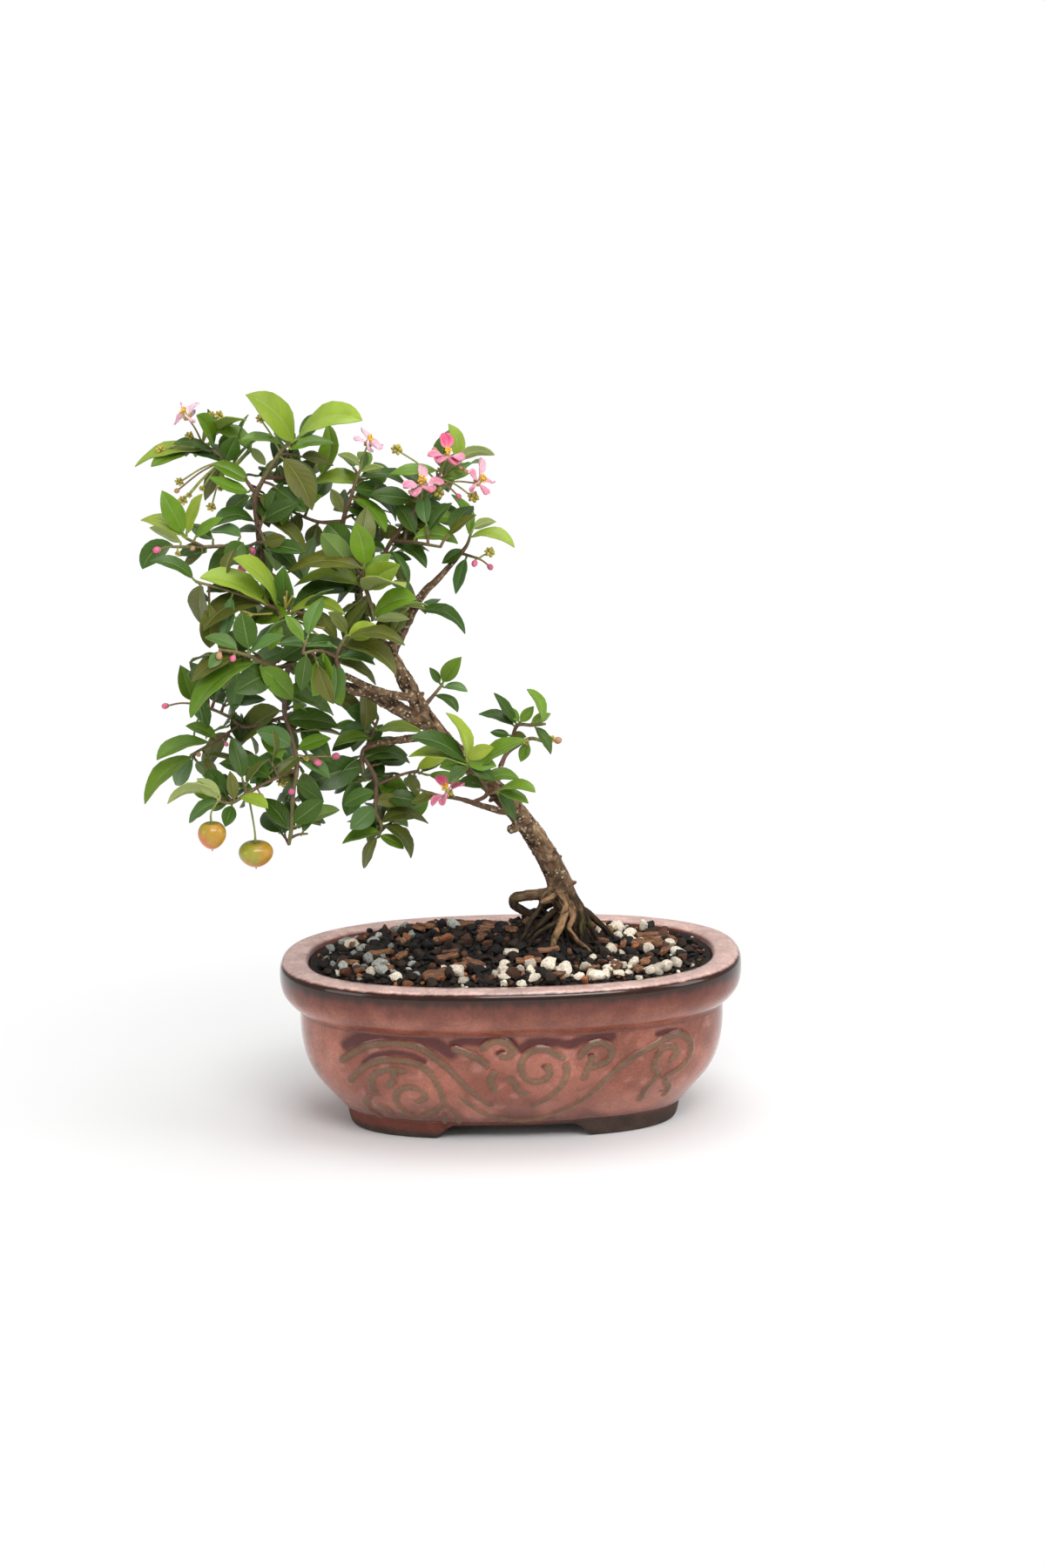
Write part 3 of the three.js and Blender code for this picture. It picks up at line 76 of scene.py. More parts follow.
# The wall's outside from the table up and its inside down to the floor, as (height, inset).
OUTER_PROFILE = [
    (0, 30.6), (0.5, 29.6), (1.6, 29), (5, 28.2), (8.3, 27.5), (9.3, 26), (11.5, 24.3), (15.5, 21),
    (24, 14.2), (30, 11.2), (37, 9.2), (42, 8.5), (49, 8.2), (53, 8.4), (54, 8.5), (54.8, 7.5), (57, 4.8),
    (59.5, 2.6), (62.5, 0.9), (66, 0.15), (69, 0), (72, 0.1), (73.6, 0.5), (74.7, 1.4), (75.3, 2.6),
    (75.4, 4),
]
INNER_PROFILE = [
    (75.3, 8), (75, 11), (74.2, 12.6), (72.5, 13.3), (66, 14), (58, 15), (37, 16.5), (24, 21.3), (15, 29),
    (11, 34),
]
# Between these heights the wall is plain enough for half the rings.
PLAIN_HEIGHTS = [(1, 7), (56, 72)]
FOOT_RING = 8
# The notch in the foot's long sides, as (distance from the middle, height).
NOTCH_PROFILE = [(26.5, 6.7), (29.5, 5), (33.8, 0.8), (34.6, 0)]
# How far the belly, along which the scroll runs, stands in from the rim's oval.
BELLY_INSET = 10
DRAIN_X = 34
DRAIN_RADIUS = 6.5
DRAIN_SIDES = 48
SOIL_CLEARANCE = 0.3

# Tree: what the viewer sees lies on an upright chart through the pot's middle. A place on the chart is moved
# along the line of sight to its depth behind the chart, so that it looks the same from the eye.
EYE = np.array([7.0, -1171.0, 413.0])
CHART_SCALE = 0.9933
CHART_SHIFT = np.array([-0.9, 0.0, 3.2])
# A leaf's width as a share of its length: the least, the most, and the share taken for one that doesn't lean.
LEAF_SLENDEREST = 0.46
LEAF_BROADEST = 0.62
LEAF_LEVEL = 0.52
LONGEST_LEAF = 33
PETIOLE_RADIUS = 0.55
# Tilts away from the chart, in degrees: the range of the limit, the least lean that counts, the spread of the
# leaves that don't lean, and the turns tried in search of room. Then the share that lean towards the viewer.
TILT_LIMITS = (14, 62)
LEAST_LEAN = 8
LEVEL_SPREAD = 64
TILT_TRIES = (0, 14, -14, 28, -28, 42, -42, 56, -56, 66, -66)
TOWARDS_VIEWER = 0.7
# Room kept to the blades of other sprays, to limbs and to blades of the same spray, within a neighbourhood.
CLEAR_OF_BLADES = 2.1
CLEAR_OF_LIMBS = 1.3
CLEAR_OF_OWN = 1.4
NEIGHBOURHOOD = 30
# Limbs: stations (x, z, depth, radius).
WOOD = [
    [(31, 68, 8, 7.6), (29, 80, 7.5, 7.2), (27.5, 90, 7, 6.5), (25.5, 97, 6.5, 6.1), (22, 108, 6, 5.4),
     (15, 122, 5, 5), (7, 134, 3, 4.7), (0, 143, 2, 4.4), (-10, 153, 1, 4.1), (-22, 165, 0, 4),
     (-32, 177, 0, 3.8), (-38, 188, -1, 3.5), (-44, 200, -2, 3.2), (-50, 212, -2, 2.6)],
    [(-34, 178, 0, 3.3), (-42, 182, -3, 3.2), (-58, 191.5, -8, 2.8), (-73, 196, -11, 2.5),
     (-82, 205, -8, 2.2), (-92, 220, 2, 1.9), (-99, 238, 12, 1.6), (-103, 250, 16, 1.4)],
    [(-49, 210, -2, 2.5), (-43.4, 218, 4, 2.2), (-39, 227, 12, 2), (-33, 236, 18, 1.8),
     (-27.5, 241, 22, 1.5), (-19, 250, 26, 1.2)],
    [(-49, 210, -2, 2.5), (-56, 217, 6, 2.3), (-61, 229, 14, 2), (-62, 245, 20, 1.7), (-63, 256, 20, 1.5),
     (-68, 265, 18, 1.3)],
    [(-39, 189, -1, 1.9), (-49, 191, -12, 1.7), (-58, 194, -20, 1.6), (-69, 200, -24, 1.3)],
    [(-28, 172, 0, 2), (-45, 170.5, 8, 1.8), (-58, 168.5, 15, 1.4)],
    [(8, 131, 2, 2.4), (1.5, 128.6, 0, 2.1)],
    [(4, 137, 2, 1.9), (-1.7, 137.2, -3, 1.6), (-11.8, 140.5, -8, 1.4)],
    [(-6, 149, 2, 1.4), (-2, 153, 6, 1.2), (-1.6, 157.5, 10, 1.1)],
]
ROOTS = [
    [(21, 99.5, 5, 2.7), (12.9, 98.2, 1, 2.3), (6.9, 98.2, 0, 2.3), (3.2, 96.8, 0, 2.3),
     (2.8, 94.2, 1, 2.1), (6, 92, 3, 1.9), (10, 89.5, 6, 1.8), (18, 82, 8, 1.7)],
    [(22.6, 99.5, 1, 1.7), (25.3, 96, -2, 1.9), (26, 90.5, -4, 1.8), (24.2, 84.6, -7, 1.7),
     (20.5, 76.5, -10, 1.4), (19, 70, -11, 1)],
    [(20.5, 98.4, -1, 1.7), (18.6, 96.2, -2.5, 1.5), (15.2, 94.6, -3, 0.9)],
    [(25, 87, -5, 1.1), (19, 84, -6, 1), (12, 79.5, -8, 0.9), (8, 73, -9, 0.8)],
    [(21, 102, 3, 1.5), (17, 97.5, 0, 1.3), (14, 92, -2, 1.1), (8, 82, -5, 1), (3, 72, -7, 0.9)],
    [(28, 99, 5, 2.2), (32, 91, 4, 1.8), (33.6, 85, 1, 1.5), (32, 71, -5, 1)],
    [(30, 97, 6, 1.9), (35, 88, 7, 1.4), (41, 74, 5, 1)],
    [(27, 93, 3, 1.5), (29.5, 87, -1, 1.2), (27.5, 83, -3, 1.1), (37, 71, -7, 0.9)],
    [(21, 91, 3, 1.6), (14, 84.5, -1, 1.3), (4, 74, -6, 1)],
    [(27, 96, 10, 2.3), (30, 88, 18, 1.8), (35, 75, 29, 1.1)],
    [(22, 96, 10, 2.1), (14, 91, 18, 1.7), (1, 76, 29, 1.1)],
    [(30, 94, 9, 1.9), (40, 86, 13, 1.4), (50, 74, 16, 1)],
]
# Sprays: twigs as stations (x, z, depth, radius); leaves as base x, z, tip x, z, width, bow, and the face
# that shows, over or under, with the letter of a tone; buds as x, z, radius and kind, and for some the place
# x, z next to which their stalk begins.
SPRAYS = {
    "crown": {
        "twigs": [
            [(-103, 250, 16, 1.4), (-104.3, 264, 18, 1.3), (-104.8, 279, 16, 1.2), (-101.6, 285.5, 14, 1.1),
             (-96.6, 293.4, 12, 1), (-91.7, 299.8, 10, 0.9), (-88.5, 302, 9, 0.8)],
            [(-104.6, 280, 16, 0.9), (-110, 288, 20, 0.8), (-118, 296, 24, 0.8), (-126.7, 302.4, 27, 0.6)],
            [(-100.5, 287, 14, 0.8), (-90, 286.5, 22, 0.8), (-80, 284.5, 28, 0.6)],
            [(-104.4, 266, 18, 0.8), (-103, 263, 8, 0.7), (-101.5, 259, 3, 0.6)],
        ],
        "leaves": [
            (-87.8, 302.5, -107, 322.8, 12, 0.1, "oL"), (-84.9, 304.5, -57.7, 311.3, 9, 0.14, "oL"),
            (-76, 288, -73, 310, 8, 0.12, "oG"), (-88.7, 299, -70, 301.4, 4, 0.1, "oG"),
            (-92, 295, -80.5, 272.5, 11, 0.06, "oK"), (-87, 287, -78, 294, 6, 0.05, "oK"),
            (-79, 284, -56, 282, 6, 0.14, "oL"), (-93, 301.5, -110, 304, 3.5, 0.08, "oG"),
            (-106, 300, -99.8, 292.6, 4, 0, "uP"), (-106, 299, -123.6, 308.6, 6, 0.12, "oG"),
            (-117.1, 294.9, -112.4, 304.5, 8.5, 0, "oD"), (-123, 300, -139.1, 302.6, 3.5, 0.08, "oD"),
            (-119.5, 294.7, -135, 299, 4, 0.08, "oD"), (-127, 299.5, -156.4, 293.2, 5, 0.12, "oL"),
            (-122, 300.7, -128, 314.5, 6, 0.06, "oG"), (-121, 306.5, -107.2, 312.7, 4, 0.08, "uL"),
            (-118.5, 298, -113, 309, 4, 0.05, "oD"), (-108, 285.6, -123, 293.6, 6, 0.05, "oG"),
            (-108, 281, -124, 288, 5, -0.05, "oG"), (-107.5, 279.3, -117.7, 269.3, 7, 0.08, "oD"),
            (-106, 268.3, -123.3, 266.6, 6, 0.2, "oD"), (-103, 279, -90.8, 268.4, 9, 0.08, "oK"),
            (-102.4, 268.5, -84.7, 252.9, 5, 0.14, "oK"), (-101.5, 258.6, -92.7, 261.1, 6, 0, "oK"),
            (-101, 257, -84.5, 254.5, 6, 0.05, "oD"),
        ],
        "buds": [
            (-119, 314.3, 2.1, "y"), (-122.1, 314.9, 1.4, "y"), (-124.8, 312.7, 1.2, "y"),
            (-132.1, 305.6, 2.1, "y"), (-101.3, 312.4, 2.1, "y", -105.1, 306.9), (-144.7, 299.9, 2.2, "y"),
            (-137.4, 286, 2, "y", -123, 289.1), (-138.7, 282.2, 1.2, "r", -123, 289.1),
            (-136.3, 278, 2.2, "y", -123, 289.1), (-127.8, 283, 1.4, "y", -123, 289.1),
            (-119.8, 282.9, 1.5, "y", -122.2, 289.3), (-124.1, 274.9, 2.2, "y", -122.6, 289.1),
            (-133.5, 280.2, 1.4, "y", -123, 289.1),
        ],
    },
    "far_left": {
        "twigs": [
            [(-101.5, 244, 14, 1), (-108, 252, 6, 0.9), (-115, 257, 0, 0.9), (-131, 257.6, -8, 0.8),
             (-142, 258, -13, 0.6)],
            [(-128, 257.6, -6.5, 0.7), (-135.5, 261.5, -12, 0.6)],
        ],
        "leaves": [
            (-142, 259, -155.2, 248.5, 9, 0.16, "oD"), (-137, 264, -145, 282.5, 9, 0, "oG"),
            (-137.5, 263, -155, 270.1, 6, 0.12, "oL"), (-135.4, 264, -128.1, 280.7, 4.5, 0, "oL"),
            (-138, 260, -151, 266.7, 4, 0, "uP"), (-131.5, 262, -119.5, 270.5, 4, 0.05, "oG"),
            (-124, 261, -134, 267.5, 5, 0, "oD"), (-111, 259, -118, 249, 9, 0.05, "oD"),
            (-112, 262, -127.5, 263.5, 4, 0.08, "oT"), (-108, 256, -127, 245, 9, 0.1, "oD"),
            (-127.4, 255.3, -140, 254, 5, 0.1, "oD"), (-129, 255, -137.5, 250, 4, 0, "oK"),
        ],
        "buds": [
            (-107.3, 255.4, 1.8, "p", -103.9, 245.8), (-118.9, 250.7, 1.8, "p", -104.7, 245.1),
            (-111.8, 247.9, 1.9, "p", -104.3, 244.7), (-148.6, 256.7, 1.7, "p"), (-139.6, 255, 1.3, "y"),
            (-133, 257.1, 1.2, "r"),
        ],
    },
    "star": {
        "twigs": [
            [(-94.3, 226, 5, 1.1), (-97, 228.5, -6, 1), (-100, 231, -16, 0.9), (-116, 237.5, -22, 0.7),
             (-132, 242.5, -28, 0.6)],
            [(-96, 228, -3, 0.8), (-86, 227.5, -16, 0.6)],
        ],
        "leaves": [
            (-97.5, 230, -115.2, 252.8, 6, 0.12, "oL"), (-100.5, 231, -130.3, 244.9, 8, 0.1, "oL"),
            (-103, 233, -130.5, 221.1, 9, 0.16, "oK"), (-92, 227.5, -67.6, 226.8, 5, 0.18, "oL"),
            (-91, 225.5, -76.8, 220.8, 4.5, 0.1, "oK"), (-94, 231, -94, 248.5, 8, 0, "oT"),
            (-114, 238.5, -128, 238, 5, 0.12, "oD"), (-117, 235.5, -122.3, 217.1, 6, 0.05, "oT"),
            (-84, 227, -71.5, 216, 6, 0.08, "oK"), (-133.6, 244.1, -151.7, 252.3, 5, 0.12, "oD"),
            (-130.4, 240.7, -131.4, 223.6, 8, 0, "oK"),
        ],
        "buds": [
            (-91.2, 221.1, 1.5, "y", -95.1, 226.9),
        ],
    },
    "middle_left": {
        "twigs": [
            [(-85.5, 210.3, -4.5, 1.3), (-97, 204, -16, 1.1), (-104, 206, -24, 1), (-111, 209.5, -30, 0.9),
             (-118, 211.5, -33, 0.8), (-123, 212.3, -35, 0.6)],
        ],
        "leaves": [
            (-110.5, 212.5, -113, 229, 13, 0, "oD"), (-116, 212.6, -129.6, 218, 5, 0.08, "oT"),
            (-122.8, 211.3, -128.3, 204.3, 5, 0, "oT"), (-110, 211, -95, 218.2, 4, 0.05, "oT"),
            (-117, 209, -136.3, 198.3, 6, 0.1, "oK"), (-108.9, 206.4, -137.7, 182.4, 8, 0.12, "oG"),
            (-106, 204, -92.2, 189.4, 10, 0.05, "oG"), (-100, 202, -117.8, 193, 12, 0.04, "oD"),
        ],
        "buds": [
            (-123.6, 209.6, 1.5, "r"), (-117.6, 208.3, 1.4, "p"),
        ],
    },
    "hanging": {
        "twigs": [
            [(-90, 217, 0, 1.3), (-94, 202, 5, 1.2), (-96, 184, 3, 1.1), (-93.6, 174, 0, 1.1),
             (-91.5, 160, -3, 1.1), (-93.3, 149.5, -6, 1), (-95.2, 130.5, -9, 0.9), (-96.4, 124, -10, 0.8)],
            [(-95.6, 182, 3, 0.8), (-114, 177.5, 8, 0.8), (-120, 182, 12, 0.7), (-128, 186, 15, 0.7),
             (-136, 188.6, 17, 0.6)],
            [(-116, 178.5, 9, 0.7), (-128, 171, 0, 0.7), (-138, 165.5, -6, 0.6)],
            [(-92, 158, -3.5, 0.8), (-104, 153, -16, 0.8), (-114.5, 147.5, -25, 0.8),
             (-121, 143.5, -28, 0.7), (-127, 144.5, -30, 0.6)],
        ],
        "leaves": [
            (-136.7, 190.2, -140.6, 205.7, 7.7, 0, "oG"), (-129, 187.6, -134, 197, 3, 0, "oK"),
            (-138, 164.4, -159.8, 143.9, 7, 0.12, "oG"), (-129.9, 171.2, -153.4, 164, 6, 0.1, "oG"),
            (-127, 173, -139.7, 178.9, 5, 0.08, "oG"), (-120.7, 174.5, -133.8, 155.7, 7, 0.06, "oK"),
            (-118, 184, -116, 171, 6, 0, "oD"), (-98, 184.5, -119.6, 166.1, 9, 0.08, "oK"),
            (-95, 180, -72.5, 177, 9, 0.08, "oD"), (-94.5, 192.5, -73.8, 182.3, 8, 0.1, "oG"),
            (-93.6, 168.9, -108.8, 175.8, 9, 0.06, "oT"), (-90.6, 167.1, -76, 171.8, 6, 0.05, "oG"),
            (-91, 163, -76.8, 153.6, 6, 0.08, "oT"), (-93, 163.5, -113, 152, 12, 0.06, "oT"),
            (-104, 155, -125.9, 162, 9, 0.06, "oD"), (-92, 152, -80, 143, 7, 0, "oD"),
            (-94, 134, -80.5, 144, 9, 0, "oD"), (-96.7, 131.6, -107.2, 145.6, 8, 0.05, "oD"),
            (-93, 132.3, -73.6, 139.6, 6, 0.05, "uG"), (-127.2, 146, -149.6, 143.9, 4, 0.22, "uP"),
            (-126.8, 143.9, -140.4, 134.9, 5, 0.08, "oT"), (-117, 146.4, -105, 141, 5, 0.06, "oL"),
            (-121, 142.2, -124.3, 133, 6, 0, "oD"), (-126, 147, -136, 155, 6, 0, "uP"),
            (-120, 145, -121, 158, 5, 0, "oK"),
        ],
        "buds": [
            (-82.2, 161, 1.7, "p", -92.5, 164.8), (-74.1, 163.6, 1.7, "p", -87.2, 162.3),
            (-87.2, 162.7, 1.3, "y", -92.5, 164.8), (-94.3, 148.1, 1.6, "p"),
            (-106.7, 154.2, 2.7, "y", -92.9, 164.4), (-98.3, 152.4, 2.5, "y", -92.9, 163.6),
            (-107.8, 146.4, 1.1, "r"), (-134.7, 165.8, 1.2, "r"), (-122.2, 170.1, 1, "p"),
            (-148.3, 187.8, 1.5, "p"),
        ],
    },
    "middle": {
        "twigs": [
            [(-71, 201.5, -25, 1.2), (-72.5, 208, -27, 1), (-68, 217, -30, 0.8)],
            [(-72.4, 208, -27, 0.8), (-79, 211, -31, 0.7), (-87, 210, -36, 0.6)],
        ],
        "leaves": [
            (-85.6, 209, -88.3, 193.1, 7, 0, "oD"), (-78, 210, -83.6, 190.7, 9, 0.1, "oG"),
            (-73, 205, -74, 189, 8, 0.05, "oT"), (-73.5, 213, -97.8, 214.5, 5, 0.05, "oT"),
            (-66.7, 217.5, -53.6, 221.5, 8, 0, "oL"), (-68.6, 213.3, -46.1, 199.5, 7, 0.16, "oK"),
            (-68, 216, -42.1, 212.9, 5, 0.14, "oK"), (-71, 205.5, -55.1, 195.4, 4, 0.1, "oK"),
            (-71, 208, -55.4, 204.3, 4, 0.12, "oT"), (-67.5, 218.5, -75, 228, 5, 0.05, "oK"),
        ],
    },
    "centre": {
        "twigs": [
            [(-61.6, 236, 15, 1.2), (-60, 238, 6, 1), (-59, 239, -6, 0.9), (-56, 229, -14, 0.8),
             (-55.3, 224.5, -16, 0.6)],
            [(-59, 239, -5, 0.8), (-59.2, 247, -12, 0.6)],
        ],
        "leaves": [
            (-58.7, 248.6, -62.3, 266.3, 10, 0.05, "oG"), (-58.3, 238.4, -43.5, 247.8, 11, 0.06, "oL"),
            (-58.6, 237, -41, 238.9, 4, 0.08, "uP"), (-60.2, 247, -92.8, 245.8, 7, 0.12, "oK"),
            (-60.8, 239.6, -90, 240, 6, 0.12, "oL"), (-60, 235.5, -89.8, 231.6, 7, 0.16, "oD"),
            (-55.2, 226.2, -36.9, 233.2, 8, 0.1, "oG"), (-55, 224, -39.9, 224.3, 4, 0.05, "uP"),
            (-57.5, 233, -69, 219, 5, 0, "oK"), (-58.5, 245, -47, 253, 6, 0, "oG"),
        ],
    },
    "upper": {
        "twigs": [
            [(-68, 265, 18, 1.2), (-66, 272, 16, 1), (-63.5, 278, 15, 0.9), (-61.5, 284, 14, 0.8),
             (-59, 290, 13, 0.6)],
            [(-68.4, 267.4, 17, 0.9), (-78, 267.5, 22, 0.8), (-90, 272.5, 28, 0.6)],
        ],
        "leaves": [
            (-62.2, 281.2, -43.9, 267.1, 7, 0.18, "oD"), (-62.5, 277, -48.9, 262.5, 5, 0.1, "oG"),
            (-65, 272.4, -54.2, 265, 5, 0.14, "oD"), (-67.4, 271.6, -72, 281.7, 5, 0, "oK"),
            (-59.1, 286.5, -39, 282.2, 4, 0.14, "oD"), (-59.4, 291.6, -68.7, 296.4, 3.6, 0.06, "uP"),
            (-58.2, 289.9, -56.1, 297.4, 3.5, 0, "oT"), (-57.8, 289, -49, 290.8, 3.4, 0, "uP"),
            (-79, 266.4, -81, 256, 8, 0, "oK"), (-74, 266, -71.5, 254, 7, 0, "oK"),
            (-86, 271.6, -90, 260, 6, 0, "oK"), (-88, 273, -76, 279, 5, 0, "oG"),
        ],
    },
    "flowering": {
        "twigs": [
            [(-60.2, 247.5, 20.5, 1.1), (-52, 250.5, 18, 1), (-47, 258, 16, 1), (-40.5, 266.5, 14, 1),
             (-34, 274, 12, 1), (-28.5, 280, 11, 0.9), (-23, 286.5, 10, 0.7), (-18.5, 291.5, 10, 0.6)],
            [(-46, 258.5, 16, 0.9), (-36, 257.5, 6, 0.8), (-25.5, 255.5, -2, 0.6)],
            [(-39.5, 267, 14, 0.7), (-30, 269, 24, 0.6)],
        ],
        "leaves": [
            (-17.6, 293.4, -20.5, 308.6, 6, 0.12, "oL"), (-17.2, 292.4, -0.9, 295.1, 4.4, 0.16, "uP"),
            (-24.1, 285.4, -12.2, 287.1, 5, 0.06, "oG"), (-30.5, 279, -43, 288.6, 4, 0.08, "oD"),
            (-36.6, 259.4, -17.6, 257, 6, 0.14, "oG"), (-42, 263, -22.1, 261.8, 4.6, 0.1, "oK"),
            (-37.8, 269.8, -23.3, 262.6, 5, 0.06, "oT"), (-29, 270, -16.5, 264.1, 6, 0.06, "oT"),
            (-36, 273, -23, 272, 6, 0.05, "oD"), (-43.5, 263, -52, 261, 6, 0.05, "oK"),
            (-49.5, 254.7, -58.8, 257.5, 5, 0.05, "oD"), (-46, 256.7, -31.8, 246.5, 5, 0.14, "oD"),
            (-49.6, 252, -38.2, 250.4, 3.6, 0, "oT"),
        ],
        "buds": [
            (-43.1, 298, 2.6, "y", -36.1, 292.2), (-10.6, 276.8, 2.6, "y", -19.5, 281.2),
            (-25.6, 279.2, 2.6, "y"), (-26.8, 297.3, 1.4, "r"), (-17, 277.3, 1.2, "p"),
            (-15.7, 289.5, 0.9, "r"), (-13.6, 288, 1, "r"), (-37.6, 279.5, 1.2, "r"),
        ],
    },
    "right_tip": {
        "twigs": [
            [(-19, 250, 26, 1.1), (-14, 256, 25, 0.8), (-12.2, 261, 24, 0.6)],
            [(-16.5, 252.5, 26.2, 0.7), (-9, 250, 20, 0.6)],
        ],
        "leaves": [
            (-13.1, 261.5, -20, 278.3, 4.5, 0.14, "oG"), (-11.2, 263.2, -1.2, 266.1, 4, 0.05, "uP"),
            (-11.8, 259.6, 6.8, 254.8, 4.6, 0.16, "oL"), (-16, 254, -25, 248.3, 4.6, 0, "oD"),
            (-14.7, 249.9, -19.7, 234.8, 5, 0, "oT"),
        ],
        "buds": [
            (-4.1, 252.7, 2.4, "y"), (-4.1, 246.2, 1.4, "p"), (-10.9, 247.9, 1.5, "p"),
        ],
    },
    "right_low": {
        "twigs": [
            [(-37, 230, 12, 0.9), (-34.5, 228.6, 4, 0.7)],
            [(-36, 229.4, 9, 0.7), (-37.5, 234, 3, 0.6)],
        ],
        "leaves": [
            (-34.3, 227.8, -15.5, 217.2, 5, 0.18, "oD"), (-38, 234.6, -47.6, 240.3, 4.6, 0.1, "oD"),
        ],
    },
    "trunk_twig": {
        "twigs": [
            [(-33.4, 186.6, 0, 1), (-30.5, 189.8, 4, 0.8), (-26.5, 194.5, 8, 0.6)],
        ],
        "leaves": [
            (-25.9, 196, -17.7, 206.7, 7, 0.04, "oG"), (-27.5, 195.5, -31.6, 202.5, 3.4, 0, "oD"),
            (-25.5, 193.5, -15.3, 191.5, 3.4, 0.1, "oT"), (-29.2, 190, -19.7, 182.5, 3.6, 0.14, "oD"),
        ],
    },
    "lower": {
        "twigs": [
            [(-58, 168.5, 15, 1.4), (-62, 166, 17, 1.1), (-62.5, 156, 18, 1)],
            [(-61.8, 163, 17, 1), (-57, 153, 16, 1), (-57.3, 138, 16, 0.9), (-55, 131.5, 16, 0.8),
             (-56.5, 126.5, 16, 0.6)],
            [(-60, 168.6, 16, 0.8), (-57.5, 174, 22, 0.7), (-55, 180, 27, 0.6)],
            [(-57.3, 150, 16, 0.7), (-46, 154.5, 22, 0.7), (-38, 156.5, 27, 0.6)],
        ],
        "leaves": [
            (-55, 181.5, -69, 184.5, 9, 0, "oT"), (-57, 175.5, -72, 174, 7, 0.06, "oT"),
            (-58, 171.5, -74.7, 168.3, 5, 0.1, "oG"), (-55.2, 175, -36.3, 174.3, 5, 0.08, "oL"),
            (-62.5, 161.4, -41.5, 159.9, 7, 0.2, "oD"), (-46.7, 153.8, -49.8, 136.4, 13, 0, "oG"),
            (-42, 155, -38.5, 144, 5, 0, "oK"), (-62.6, 158.7, -89, 149.5, 14, 0.06, "oD"),
            (-57.8, 140, -68.7, 130.6, 9, 0, "oT"), (-56.2, 128.8, -72.9, 124.3, 5, 0.06, "oG"),
            (-57.4, 126.2, -64, 112.4, 4.6, 0.04, "oK"), (-55.7, 127, -45.4, 121, 4.6, 0.06, "oG"),
            (-54.3, 131.9, -42.2, 116.6, 5, 0.16, "oK"), (-54.8, 133.2, -34.1, 132.4, 5, 0.2, "oK"),
            (-57.5, 147, -71.5, 141, 7, 0.06, "oT"), (-57.5, 143, -45.5, 142, 6, 0.06, "oK"),
            (-38, 157.5, -25.5, 161.5, 5, 0.05, "oL"),
        ],
    },
    "lower_right": {
        "twigs": [
            [(-11.8, 140.5, -8, 1.3), (-20.4, 143.3, -14, 1), (-29.5, 144.9, -19, 0.8),
             (-38.9, 148.2, -23, 0.6)],
            [(-14.5, 141.3, -10, 0.9), (-8, 145, -16, 0.9), (-10.3, 152, -21, 0.8),
             (-16.2, 159.8, -25, 0.6)],
            [(-8, 145, -16, 0.8), (-3, 146.2, -21, 0.6)],
        ],
        "leaves": [
            (-16.5, 160.9, -24.9, 182.3, 4.6, 0.12, "oL"), (-17.2, 160, -41, 172, 7, 0.1, "oD"),
            (-15.9, 158.2, -42, 163, 5, 0.1, "oL"), (-15.5, 161, -4.5, 166, 6, 0.08, "oL"),
            (-12.6, 156.5, 9.9, 169.3, 6, 0.08, "oG"), (-9.2, 150.8, 6.8, 151.7, 5, 0.14, "oG"),
            (-2.4, 146.8, 13.6, 145.9, 4, 0.12, "oG"), (-2.2, 145.8, 10.4, 140.6, 4, 0.08, "oG"),
            (-3, 144.9, 4.6, 132.9, 5, 0.04, "oD"), (-9.6, 147.9, -20.8, 150, 5, 0.16, "oD"),
            (-30.5, 145.6, -41.5, 142, 4, 0, "oK"), (-16, 158.6, -3.4, 157.4, 6.4, 0.1, "oG"),
            (-15.4, 157.4, -4.8, 151.2, 5.6, 0.1, "oD"), (-16.8, 158.8, -28.6, 157.6, 6, 0.08, "oG"),
            (-16.2, 158, -24.4, 150.8, 5.6, 0.08, "oD"), (-14.8, 158.4, -6, 163.4, 5, 0.08, "oK"),
        ],
    },
    "right": {
        "twigs": [
            [(-1.6, 157.5, 10, 1.1), (1.5, 163.5, 15, 1), (6.9, 167.3, 18, 0.9), (12, 169.8, 20, 0.8),
             (18, 168.2, 21, 0.7)],
            [(2.5, 164.3, 15.6, 0.9), (4, 170, 12, 0.9), (6.4, 175.9, 8, 0.8), (12.5, 175.8, 4, 0.8),
             (18.6, 176.2, 0, 0.6)],
        ],
        "leaves": [
            (5.5, 177, -3.6, 190.6, 4, 0, "oD"), (7, 177.5, 0.1, 184.6, 4.4, 0, "oG"),
            (7.7, 177.5, 13.6, 184.2, 4.6, 0, "oG"), (4.4, 176, -10.7, 181.4, 4.4, 0.1, "oD"),
            (17.2, 177.2, 11, 192.1, 4, 0.14, "oG"), (14.1, 174.8, 21, 162.6, 4, 0.06, "oD"),
            (10.7, 168, 7.3, 159.3, 5, 0, "oG"), (2.6, 171.5, -5.8, 173, 3.4, 0, "oD"),
            (4.8, 172, 10, 170.6, 3.4, 0, "oK"), (12.5, 176.7, 21, 181, 4, 0, "oG"),
        ],
        "buds": [
            (24, 168.7, 1.7, "r", 12.8, 166.6), (21.3, 169.4, 1.7, "y", 12.8, 166.6),
            (19, 167.8, 1.6, "y", 12.8, 166.6), (9.7, 168.3, 1.8, "y"),
        ],
    },
}
